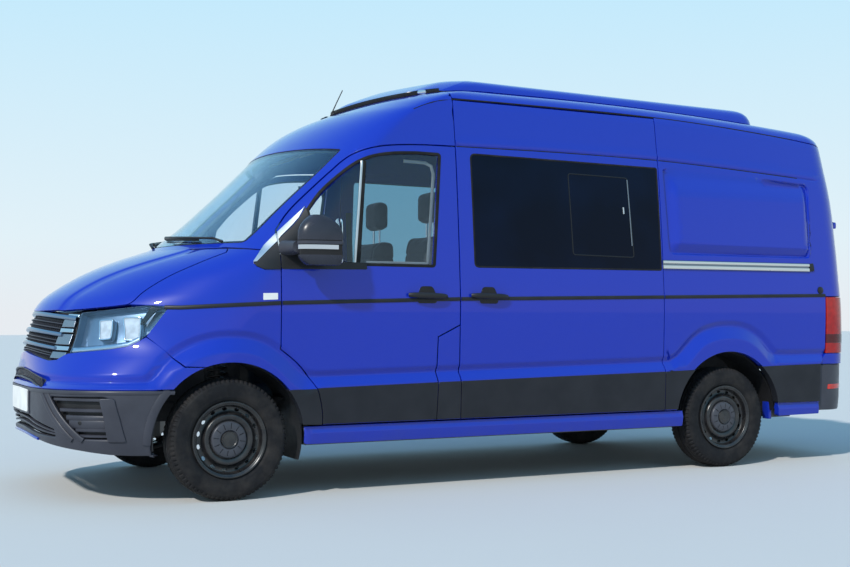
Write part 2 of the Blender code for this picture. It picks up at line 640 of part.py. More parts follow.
def build_mirrors():
    """Door mirrors on their arms."""
    for side, label in ((1, "left"), (-1, "right")):
        head = prism([(1.060, 1.455), (1.075, 1.655), (1.115, 1.700), (1.175, 1.700),
                      (1.205, 1.640), (1.207, 1.440), (1.170, 1.390), (1.080, 1.390)],
                     1.520, 1.650, "yz")
        arm = prism([(0.985, 1.410), (0.985, 1.500), (1.075, 1.520), (1.075, 1.440)],
                    1.540, 1.620, "yz")
        boolean(head, arm, "UNION")
        boolean(head, outer_skin(1.30, 1.90, side=-0.0005, nose=-0.0005), "DIFFERENCE")
        if side < 0:
            old, head = head, mirrored(head)
            bpy.data.objects.remove(old, do_unlink=True)
        named(head, "mirror_" + label, "plastic", (FRONT_SHUT_X, side * 1.020, 1.0))


def build_pop_top():
    """Lifting roof shell, hinged at its rear edge; its nose tapers down onto the header."""
    verts, faces, count = [], [], 0
    for z, front, half, rear in SHELL_ROWS:
        ring = []
        for step in range(9):
            y = half * (step / 8) ** 0.8
            bend = 0.283 * (y / 0.62) ** 1.2
            round_off = 0.10 * max(0.0, (y / half - 0.80) / 0.20) ** 2
            ring.append((front - bend - round_off, y))
        ring.append((0.5 * (front + rear) - 0.2, half))
        for step in range(5):
            turn = math.radians(90 * step / 4)
            ring.append((rear + 0.12 - 0.12 * math.sin(turn),
                         half - 0.12 + 0.12 * math.cos(turn)))
        ring.append((rear, 0.0))
        ring += [(x, -y) for x, y in reversed(ring[1:-1])]
        verts += [(x, y, z - 0.030 * min(max((0.2 - x) / 2.35, 0.0), 1.0)) for x, y in ring]
        count = len(ring)
    rows = len(SHELL_ROWS)
    for step in range(rows - 1):
        for i in range(count):
            j = (i + 1) % count
            faces.append((step * count + i, step * count + j,
                          (step + 1) * count + j, (step + 1) * count + i))
    faces += end_caps(count, (0, (rows - 1) * count))
    under = outer_skin(2.20, ROOF_Z, nose=-0.008, side=-0.004)
    under.data.transform(Matrix.Translation((0.0, 0.0, 0.007)))
    shell = shape(solid("shell", verts, faces),
                  cut=[under, prism([(-2.040, 2.400), (-2.040, 2.580), (0.280, 2.608),
                                     (0.280, 2.400)], -0.570, 0.570)])
    named(shell, "pop_top", "paint", (-2.222, 0.0, 2.515))


# ----------------------------------------------------------------- running gear
def revolved(profile, centre, steps=32):
    """Solid of revolution about Y from a closed (y, radius) profile."""
    verts, faces, count = [], [], len(profile)
    for step in range(steps):
        turn = 2 * math.pi * step / steps
        verts += [(centre[0] + r * math.cos(turn), centre[1] + y, centre[2] + r * math.sin(turn))
                  for y, r in profile]
    for step in range(steps):
        ahead = (step + 1) % steps
        for i in range(count):
            j = (i + 1) % count
            faces.append((step * count + i, step * count + j, ahead * count + j,
                          ahead * count + i))
    return solid("wheel", verts, faces)


TYRE_PROFILE = [(-0.080, 0.2045), (-0.081, 0.222), (-0.098, 0.262), (-0.1025, 0.290),
                (-0.099, 0.318), (-0.090, 0.339), (-0.072, 0.349), (0.0, TYRE_RADIUS),
                (0.072, 0.349), (0.090, 0.339), (0.099, 0.318), (0.1025, 0.290),
                (0.098, 0.262), (0.081, 0.222), (0.080, 0.2045)]
# rim barrel, then the dished disc with its domed centre; radius 0.0001 closes the middle
WHEEL_PROFILE = [(-0.094, 0.2195), (-0.0825, 0.2195), (-0.0825, 0.2032), (0.0825, 0.2032),
                 (0.0825, 0.2195), (0.094, 0.2195), (0.094, 0.208), (0.078, 0.194),
                 (0.050, 0.188), (0.046, 0.150), (0.072, 0.118), (0.074, 0.085),
                 (0.066, 0.072), (0.090, 0.066), (0.093, 0.004), (0.040, 0.004),
                 (0.040, 0.090), (0.030, 0.160), (0.020, 0.192), (-0.094, 0.196)]
WHEELS = [("front_left", FRONT_AXLE_X, FRONT_TRACK / 2), ("front_right", FRONT_AXLE_X,
          -FRONT_TRACK / 2), ("rear_left", REAR_AXLE_X, REAR_TRACK / 2),
          ("rear_right", REAR_AXLE_X, -REAR_TRACK / 2)]


def build_wheels():
    """Four steel wheels and their tyres."""
    for label, x, y in WHEELS:
        side = 1 if y > 0 else -1
        centre = (x, y, AXLE_Z)
        tyre = revolved(TYRE_PROFILE, centre)
        named(tyre, "tyre_" + label, "rubber", centre, smooth=True)
        wheel = revolved([(side * a, r) for a, r in WHEEL_PROFILE], centre)
        named(wheel, "wheel_" + label, "steel", centre, smooth=True)


def build_axles():
    """Front knuckles with their hubs, and the rear axle beam."""
    for side, label in ((1, "left"), (-1, "right")):
        hub = cylinder(0.062, (FRONT_AXLE_X, side * 0.865, AXLE_Z), (0, 1, 0), 0.100, 20)
        low, high = sorted((side * 0.745, side * 0.830))
        carrier = box(FRONT_AXLE_X - 0.05, FRONT_AXLE_X + 0.05, low, high, AXLE_Z - 0.13,
                      AXLE_Z + 0.13)
        boolean(hub, carrier, "UNION")
        named(hub, "knuckle_" + label, "cast", (FRONT_AXLE_X, side * STEER_AXIS_Y, AXLE_Z))
    beam = cylinder(0.055, (REAR_AXLE_X, 0.0, AXLE_Z), (0, 1, 0), 1.780, 20)
    boolean(beam, cylinder(0.088, (REAR_AXLE_X, 0.0, AXLE_Z), (0, 1, 0), 0.200, 20), "UNION")
    named(beam, "rear_axle", "cast")
    engine = box(1.960, 2.550, -0.330, 0.330, 0.480, 1.020)
    named(engine, "engine", "cast")


# ----------------------------------------------------------------- cab fittings
def build_cab():
    """Dashboard, steering wheel and the two cab seats."""
    dash = prism([(1.700, 0.960), (1.700, 1.370), (1.640, 1.395), (1.460, 1.330),
                  (1.420, 1.180), (1.500, 0.960)], -0.840, 0.840)
    named(dash, "dashboard", "plastic")
    ring = []
    sides, tube, radius = 28, 6, 0.200
    for i in range(sides):
        a = 2 * math.pi * i / sides
        for j in range(tube):
            b = 2 * math.pi * j / tube
            reach = radius + 0.016 * math.cos(b)
            ring.append((0.016 * math.sin(b), reach * math.cos(a), reach * math.sin(a)))
    faces = [(i * tube + j, i * tube + (j + 1) % tube,
              ((i + 1) % sides) * tube + (j + 1) % tube, ((i + 1) % sides) * tube + j)
             for i in range(sides) for j in range(tube)]
    rim = solid("rim", ring, faces)
    boolean(rim, box(-0.012, 0.012, -0.196, 0.196, -0.020, 0.020), "UNION")
    boolean(rim, box(-0.020, 0.060, -0.070, 0.070, -0.060, 0.060), "UNION")
    rim.data.transform(Matrix.Translation((1.340, -0.420, 1.230))
                       @ Matrix.Rotation(math.radians(28), 4, "Y"))
    named(rim, "steering_wheel", "plastic")
    profile = [(0.300, 0.960), (0.420, 0.860), (0.980, 0.860), (1.000, 0.960), (0.960, 1.010),
               (0.520, 0.990), (0.430, 1.600), (0.290, 1.620)]
    for side, label in ((1, "left"), (-1, "right")):
        middle = side * 0.430
        seat = prism(profile, middle - 0.250, middle + 0.250)
        boolean(seat, box(0.460, 0.900, middle - 0.180, middle + 0.180, FLOOR_Z + 0.001, 0.87),
                "UNION")
        boolean(seat, box(0.330, 0.370, middle - 0.050, middle + 0.050, 1.58, 1.70), "UNION")
        boolean(seat, box(0.280, 0.400, middle - 0.130, middle + 0.130, 1.66, 1.86), "UNION")
        named(seat, "seat_" + label, "cloth")


clear_scene()
build_platform()
build_front_frame()
build_windscreen()
build_roof()
build_sides()
build_sliding_door()
build_front_doors()
build_fuel_flap()
build_bonnet()
build_wings()
build_nose()
build_tail()
build_mirrors()
build_pop_top()
build_wheels()
build_axles()
build_cab()
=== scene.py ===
"""Looks of a high-roof camper van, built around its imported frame.

Every painted panel is drawn on one fair body form, cut to its own outline and given rolled edges
and a lining. Trim, lamps, glass, wheels and cab are made piece by piece and ride on their bodies.
Metres, +X forward, +Y to the vehicle's left, +Z up, ground at z = 0.
"""
from __future__ import annotations

import logging
import math
from dataclasses import dataclass
from enum import Enum
from typing import Any, Callable, Optional, Sequence

import bmesh
import bpy
import numpy as np
from mathutils import Matrix, Vector
from mathutils.geometry import delaunay_2d_cdt

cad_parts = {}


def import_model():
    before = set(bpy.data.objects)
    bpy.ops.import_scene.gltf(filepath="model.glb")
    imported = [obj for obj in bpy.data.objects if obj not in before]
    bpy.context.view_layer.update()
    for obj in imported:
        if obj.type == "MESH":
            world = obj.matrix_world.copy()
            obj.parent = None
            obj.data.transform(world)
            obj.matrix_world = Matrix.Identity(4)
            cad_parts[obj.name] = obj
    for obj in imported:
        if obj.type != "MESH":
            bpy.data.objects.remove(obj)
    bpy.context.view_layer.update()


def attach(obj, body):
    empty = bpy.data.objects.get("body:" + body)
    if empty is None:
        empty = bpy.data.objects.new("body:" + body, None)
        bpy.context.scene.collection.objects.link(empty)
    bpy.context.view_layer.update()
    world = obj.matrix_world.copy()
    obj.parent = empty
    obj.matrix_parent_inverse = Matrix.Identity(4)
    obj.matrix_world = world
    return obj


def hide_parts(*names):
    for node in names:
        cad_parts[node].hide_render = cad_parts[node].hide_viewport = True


LOG = logging.getLogger("camper_van")

Point2 = tuple[float, float]
Outline = Sequence[Point2]
Lift = Callable[[np.ndarray], np.ndarray]

# ------------------------------------------------------------------ driving dimensions
FRONT_AXLE_X, REAR_AXLE_X, AXLE_Z = 1.997, -1.643, 0.352
# behind the front door, behind the sliding door, and ahead of the front door
B_LINE_X, C_LINE_X, FRONT_SHUT_X = 0.510, -1.080, 1.700
FRONT_ARCH, REAR_ARCH = 0.444, 0.462  # radii of the wheel arches
GAP = 0.0035  # distance of a moving panel's edge from its shut line
# rear edge of the side skin over (x, z), above the tail lamp
SIDE_BACK = ((-2.805, 1.212), (-2.785, 1.600), (-2.766, 1.900), (-2.744, 2.100),
             (-2.733, 2.329))
COWL_Z = 1.465  # rear edge of the bonnet
SIDES = (("left", 1), ("right", -1))


# ------------------------------------------------------------------ plain curve helpers
def ramp(value: np.ndarray, low: float, high: float) -> np.ndarray:
    """Ease from 0 at low to 1 at high."""
    part = np.clip((value - low) / (high - low), 0.0, 1.0)
    return part * part * (3.0 - 2.0 * part)


def flat_ramp(part: np.ndarray, soft: float = 0.2) -> np.ndarray:
    """Rise from 0 to 1 on a straight slope with softened ends.

    Args:
        part: position along the rise, 0 to 1.
        soft: share of the rise that each rounded end takes.

    Returns:
        The height at each position.
    """
    part = np.clip(part, 0.0, 1.0)
    slope = 1.0 / (1.0 - soft)
    low = slope * part * part / (2.0 * soft)
    high = 1.0 - slope * (1.0 - part) ** 2 / (2.0 * soft)
    return np.where(part < soft, low, np.where(part > 1.0 - soft, high,
                                               slope * (part - soft / 2.0)))


def halved(holds: Callable[[np.ndarray], np.ndarray], low: np.ndarray | float,
           high: np.ndarray | float, steps: int) -> np.ndarray:
    """Close an interval on the place where a test stops holding.

    Args:
        holds: test that is true below the place.
        low: start of the interval.
        high: end of the interval.
        steps: times that the interval is halved.

    Returns:
        The low end of the last interval.
    """
    for _ in range(steps):
        middle = 0.5 * (low + high)
        held = holds(middle)
        low, high = np.where(held, middle, low), np.where(held, high, middle)
    return low


def curve(points: Outline, steps: int = 6) -> list[Point2]:
    """Smooth open line through points.

    Args:
        points: points that the line passes.
        steps: pieces between each pair.

    Returns:
        The denser line, first and last point included.
    """
    given = np.array(points, float)
    ends = np.vstack([2 * given[0] - given[1], given, 2 * given[-1] - given[-2]])
    out = []
    for i in range(1, len(ends) - 2):
        a, b, c, d = ends[i - 1:i + 3]
        for step in range(steps):
            t = step / steps
            out.append(tuple(0.5 * (2 * b + (c - a) * t + (2 * a - 5 * b + 4 * c - d) * t * t
                                    + (3 * b - a - 3 * c + d) * t ** 3)))
    out.append(tuple(given[-1]))
    return out


def rounded(points: Sequence[tuple], steps: int = 5) -> list[Point2]:
    """Closed outline with its corners rounded.

    Args:
        points: corners as (a, b) or (a, b, radius).
        steps: pieces in each rounded corner.

    Returns:
        The outline's points.
    """
    out: list[Point2] = []
    count = len(points)
    for i, corner in enumerate(points):
        here = np.array(corner[:2], float)
        radius = corner[2] if len(corner) > 2 else 0.0
        if radius <= 0.0:
            out.append(tuple(here))
            continue
        before = np.array(points[i - 1][:2], float) - here
        after = np.array(points[(i + 1) % count][:2], float) - here
        reach_a, reach_b = np.linalg.norm(before), np.linalg.norm(after)
        before, after = before / reach_a, after / reach_b
        half = math.acos(max(-1.0, min(1.0, float(before @ after)))) / 2.0
        cut = min(radius / max(math.tan(half), 1e-3), 0.49 * reach_a, 0.49 * reach_b)
        start, stop = here + before * cut, here + after * cut
        for step in range(steps + 1):
            t = step / steps
            out.append(tuple((1 - t) ** 2 * start + 2 * t * (1 - t) * here + t * t * stop))
    return out


def resampled(points: Outline, spacing: float, closed: bool = True) -> np.ndarray:
    """Split the long edges of a line so that none is longer than a spacing."""
    given = [np.array(p, float) for p in points]
    out = []
    last = len(given) if closed else len(given) - 1
    for i in range(last):
        a, b = given[i], given[(i + 1) % len(given)]
        reach = float(np.linalg.norm(b - a))
        if reach < 1e-6:
            continue
        pieces = max(1, math.ceil(reach / spacing))
        out += [a + (b - a) * k / pieces for k in range(pieces)]
    if not closed:
        out.append(given[-1])
    return np.array(out)


def signed_area(loop: np.ndarray) -> float:
    """Area of a closed line, positive when it runs anticlockwise."""
    x, y = loop[:, 0], loop[:, 1]
    return float(0.5 * np.sum(x * np.roll(y, -1) - np.roll(x, -1) * y))


def offset(loop: np.ndarray, distance: float) -> np.ndarray:
    """Move an anticlockwise closed line inwards by a distance, mitred at its corners."""
    ahead = np.roll(loop, -1, 0) - loop
    ahead /= np.maximum(np.linalg.norm(ahead, axis=1, keepdims=True), 1e-9)
    behind = np.roll(ahead, 1, 0)
    inward_a = np.stack([-ahead[:, 1], ahead[:, 0]], 1)
    inward_b = np.stack([-behind[:, 1], behind[:, 0]], 1)
    middle = inward_a + inward_b
    middle /= np.maximum(np.linalg.norm(middle, axis=1, keepdims=True), 1e-9)
    reach = distance / np.maximum(np.sum(middle * inward_a, 1), 0.45)
    return loop + middle * reach[:, None]


def inside(points: np.ndarray, loop: np.ndarray) -> np.ndarray:
    """Which points lie inside a closed line."""
    hit = np.zeros(len(points), bool)
    x, y = points[:, 0], points[:, 1]
    for (ax, ay), (bx, by) in zip(loop, np.roll(loop, -1, 0)):
        crosses = (ay > y) != (by > y)
        if crosses.any():
            at = ax + (y - ay) * (bx - ax) / ((by - ay) if by != ay else 1e-12)
            hit ^= crosses & (x < at)
    return hit


def distance_to(points: np.ndarray, path: np.ndarray, closed: bool = False) -> np.ndarray:
    """Signed distance from a line, positive to the right of its running direction."""
    stops = np.roll(path, -1, 0) if closed else path[1:]
    starts = path if closed else path[:-1]
    best = np.full(len(points), 1e9)
    sign = np.ones(len(points))
    for a, b in zip(starts, stops):
        edge = b - a
        size = max(float(edge @ edge), 1e-12)
        rel = points - a
        t = np.clip(rel @ edge / size, 0.0, 1.0)
        gap = rel - t[:, None] * edge
        square = np.sum(gap * gap, 1)
        nearer = square < best - 1e-12
        cross = edge[1] * rel[:, 0] - edge[0] * rel[:, 1]
        best = np.where(nearer, square, best)
        sign = np.where(nearer, np.where(cross >= 0, 1.0, -1.0), sign)
    return np.sqrt(best) * sign


# ------------------------------------------------------------------ body form
class BodyForm:
    """Fair outer form of the body, from level outlines joined smoothly in height."""

    # z, nose x, x where the side turns in, half width, tail x, bluntness of the nose in plan
    LEVELS = (
        (0.270, 2.930, 2.100, 0.955, -2.890, 1.0), (0.330, 2.965, 2.100, 0.972, -2.905, 1.0),
        (0.420, 2.985, 2.100, 0.984, -2.915, 1.0), (0.540, 2.993, 2.090, 0.990, -2.915, 1.0),
        (0.650, 2.993, 2.070, 0.994, -2.915, 0.95), (0.760, 2.985, 2.020, 0.998, -2.915, 0.55),
        (0.900, 2.975, 1.930, 1.003, -2.915, 0.08), (1.010, 2.950, 1.880, 1.007, -2.912, 0.0),
        (1.100, 2.910, 1.850, 1.009, -2.908, 0.0), (1.160, 2.864, 1.820, 1.009, -2.905, 0.0),
        (1.225, 2.775, 1.780, 1.007, -2.902, 0.0), (1.300, 2.650, 1.740, 1.003, -2.898, 0.0),
        (1.360, 2.525, 1.690, 0.999, -2.894, 0.0), (1.420, 2.370, 1.630, 0.996, -2.890, 0.0),
        (1.470, 2.220, 1.576, 0.993, -2.887, 0.0), (1.520, 2.140, 1.540, 0.990, -2.884, 0.0),
        (1.630, 1.995, 1.450, 0.982, -2.876, 0.0), (1.750, 1.860, 1.360, 0.974, -2.868, 0.0),
        (1.880, 1.720, 1.245, 0.963, -2.858, 0.0), (2.010, 1.586, 1.130, 0.952, -2.845, 0.0),
        (2.110, 1.485, 1.035, 0.942, -2.834, 0.0), (2.180, 1.415, 0.970, 0.932, -2.826, 0.0),
        (2.270, 1.305, 0.880, 0.921, -2.816, 0.0), (2.350, 1.170, 0.780, 0.911, -2.806, 0.0),
        (2.410, 1.030, 0.660, 0.903, -2.797, 0.0), (2.440, 0.955, 0.600, 0.896, -2.790, 0.0),
        (2.475, 0.860, 0.520, 0.878, -2.780, 0.0), (2.510, 0.740, 0.420, 0.838, -2.750, 0.0),
        (2.535, 0.620, 0.300, 0.770, -2.680, 0.0), (2.550, 0.480, 0.180, 0.680, -2.540, 0.0),
    )
    STEP = 0.002
    # distance in height over which each column of the table is averaged
    SOFT = (0.014, 0.030, 0.045, 0.040, 0.025)
    SOFT_AT_ROOF, ROOF_EDGE = 0.006, (2.30, 2.42)
    # power and root of the nose's outline in plan, fully oval and fully blunt
    OVAL, BLUNT = (2.0, 0.588), (3.5, 0.460)
    TURN_SOFT = 0.12
    TAIL_CORNER, TAIL_POWER = 0.28, 5.0
    TAIL_GUESS = -2.8
    DROOP, DROOP_FROM, DROOP_REACH, DROOP_RISE = 0.100, 0.3, 2.4, (1.80, 2.45)
    SPAN = 1.35  # distance round the nose from the centre line to the side

    def __init__(self) -> None:
        rows = np.array(self.LEVELS)
        self.top = float(rows[-1, 0])
        self.levels = np.arange(rows[0, 0], rows[-1, 0] + self.STEP / 2, self.STEP)
        self.columns = [self._faired(rows[:, 0], rows[:, k + 1], soft)
                        for k, soft in enumerate(self.SOFT)]
        steps = np.hypot(np.diff(self.columns[0]), np.diff(self.levels))
        self.runs = np.concatenate([[0.0], np.cumsum(steps)])

    def _faired(self, heights: np.ndarray, values: np.ndarray, soft: float) -> np.ndarray:
        """One column of the table as a dense smooth line, less smoothed at the roof edge."""
        step, rise = np.diff(heights), np.diff(values) / np.diff(heights)
        slope = np.empty(len(values))
        slope[0], slope[-1] = rise[0], rise[-1]
        for k in range(1, len(values) - 1):
            a, b = rise[k - 1], rise[k]
            slope[k] = 0.0 if a * b <= 0 else 2 * a * b / (a + b)
        at = np.clip(np.searchsorted(heights, self.levels, "right") - 1, 0, len(step) - 1)
        h = step[at]
        t = (self.levels - heights[at]) / h
        dense = ((2 * t ** 3 - 3 * t ** 2 + 1) * values[at] + (t ** 3 - 2 * t ** 2 + t) * h
                 * slope[at] + (3 * t ** 2 - 2 * t ** 3) * values[at + 1]
                 + (t ** 3 - t ** 2) * h * slope[at + 1])
        wide, fine = self._blurred(dense, soft), self._blurred(dense, self.SOFT_AT_ROOF)
        share = ramp(self.levels, *self.ROOF_EDGE)
        return wide * (1 - share) + fine * share

    def _blurred(self, line: np.ndarray, width: float) -> np.ndarray:
        """Gaussian average that keeps the slope at both ends."""
        reach = max(1, int(3 * width / self.STEP))
        weights = np.exp(-0.5 * (np.arange(-reach, reach + 1) * self.STEP / width) ** 2)
        head = 2 * line[0] - line[reach:0:-1]
        tail = 2 * line[-1] - line[-2:-reach - 2:-1]
        return np.convolve(np.concatenate([head, line, tail]), weights / weights.sum(), "valid")

    def at(self, z: np.ndarray) -> list[np.ndarray]:
        """Nose x, turn x, half width, tail x, oval power and oval root at each height."""
        nose, turn, half, tail, blunt = (np.interp(z, self.levels, c) for c in self.columns)
        blunt = np.clip(blunt, 0.0, 1.0)
        power = self.OVAL[0] + (self.BLUNT[0] - self.OVAL[0]) * blunt
        root = self.OVAL[1] + (self.BLUNT[1] - self.OVAL[1]) * blunt
        return [nose, turn, half, tail, power, root]

    def _gather(self, t: np.ndarray, root: np.ndarray) -> np.ndarray:
        """Share of the width lost at a share of the nose's length."""
        k, soft = 0.5 / root, self.TURN_SOFT ** 2
        return ((t * t + soft) ** k - soft ** k) / ((1 + soft) ** k - soft ** k)

    def _spread(self, lost: np.ndarray, root: np.ndarray) -> np.ndarray:
        """Share of the nose's length at a share of the width lost."""
        k, soft = 0.5 / root, self.TURN_SOFT ** 2
        scale = (1 + soft) ** k - soft ** k
        return np.sqrt(np.maximum((np.maximum(lost, 0) * scale + soft ** k) ** (1 / k) - soft, 0))

    def droop(self, x: np.ndarray, z: np.ndarray) -> np.ndarray:
        """How far the roof falls towards the tail."""
        share = np.maximum(0.0, -x - self.DROOP_FROM) / self.DROOP_REACH
        return self.DROOP * share * share * ramp(z, *self.DROOP_RISE)

    def level(self, x: np.ndarray, z: np.ndarray) -> np.ndarray:
        """Height in the table that ends up at a real height."""
        found = z
        for _ in range(6):
            found = z + self.droop(x, found)
        return found

    def side(self, x: np.ndarray, z: np.ndarray, tail_corner: float = TAIL_CORNER,
             tail_power: float = TAIL_POWER, longer: float = 0.0) -> np.ndarray:
        """Half width at a place in side view."""
        z = self.level(x, z)
        nose, turn, half, tail, power, root = self.at(z)
        t = np.clip((x - turn) / (nose - turn), 0.0, 0.9995)
        y = half * np.maximum(1.0 - self._gather(t, root), 1e-6) ** (1.0 / power)
        q = np.clip((tail - longer + tail_corner - x) / tail_corner, 0.0, 0.9999)
        return y * (1.0 - q * q) ** (1.0 / tail_power)

    def nose(self, y: np.ndarray, z: np.ndarray) -> np.ndarray:
        """How far forward the form reaches at a place in front view."""
        nose, turn, half, _, power, root = self.at(z)
        lost = 1.0 - np.clip(np.abs(y) / half, 0.0, 1.0) ** power
        return turn + (nose - turn) * self._spread(lost, root)

    def tail(self, y: np.ndarray, z: np.ndarray) -> np.ndarray:
        """How far back the form reaches at a place seen from behind."""
        x = np.full_like(y, self.TAIL_GUESS)
        for _ in range(4):
            level = self.level(x, z)
            _, _, half, tail, _, _ = self.at(level)
            share = 1.0 - np.clip(np.abs(y) / half, 0.0, 0.9999) ** self.TAIL_POWER
            x = tail + self.TAIL_CORNER * (1.0 - np.sqrt(share))
        return x

    def back(self, y: float, z: float) -> float:
        """How far back the form reaches at one place."""
        return float(self.tail(np.array([y]), np.array([z]))[0])

    def out(self, x: float, z: float) -> float:
        """How far out the side stands at one place."""
        return float(self.side(np.array([x]), np.array([z]))[0])

    def half_at(self, z: float) -> float:
        """Half width of the form at one height."""
        return float(self.at(np.array([z]))[2][0])

    def roof(self, x: np.ndarray, y: np.ndarray, crown: float = 0.004) -> np.ndarray:
        """Height of the roof at a place in plan."""
        low = halved(lambda level: self.side(x, level - self.droop(x, level)) > np.abs(y),
                     np.full_like(x, 2.0), np.full_like(x, self.top), 26)
        flat = ramp(0.68 - np.abs(y), 0.0, 0.68) * crown * ramp(low, 2.545, 2.55)
        return low + flat - self.droop(x, low)

    def run(self, z: np.ndarray) -> np.ndarray:
        """Length of the centre line from the foot of the nose up to a height."""
        return np.interp(z, self.levels, self.runs)

    def wrap(self, s: np.ndarray, run: np.ndarray) -> np.ndarray:
        """Point a distance s round the nose (left positive) and a run up its centre line."""
        z = np.interp(run, self.runs, self.levels)
        nose, turn, half, _, power, root = self.at(z)
        size = np.abs(s)
        angle = np.clip(size / self.SPAN, 0.0, 1.0) * math.pi / 2
        lost = 1.0 - np.sin(angle) ** power
        past = np.maximum(size - self.SPAN, 0.0)
        x = turn + (nose - turn) * self._spread(lost, root) - past
        return np.stack([x, half * np.sin(angle) * np.sign(s), z], 1)

    def unwrap_side(self, points: Outline) -> list[Point2]:
        """Side-view points on the left as (s, run)."""
        x, z = np.array(points, float).T
        nose, turn, _, _, power, root = self.at(z)
        t = np.clip((x - turn) / (nose - turn), 0.0, 1.0)
        across = np.maximum(1.0 - self._gather(t, root), 0.0) ** (1.0 / power)
        s = np.arcsin(np.clip(across, 0.0, 1.0)) * self.SPAN / (math.pi / 2)
        s = s + np.maximum(turn - x, 0.0)
        return list(zip(s, self.run(z)))

    def unwrap_front(self, points: Outline) -> list[Point2]:
        """Front-view points as (s, run)."""
        y, z = np.array(points, float).T
        half = self.at(z)[2]
        s = np.arcsin(np.clip(y / half, -1.0, 1.0)) * self.SPAN / (math.pi / 2)
        return list(zip(s, self.run(z)))


FORM = BodyForm()


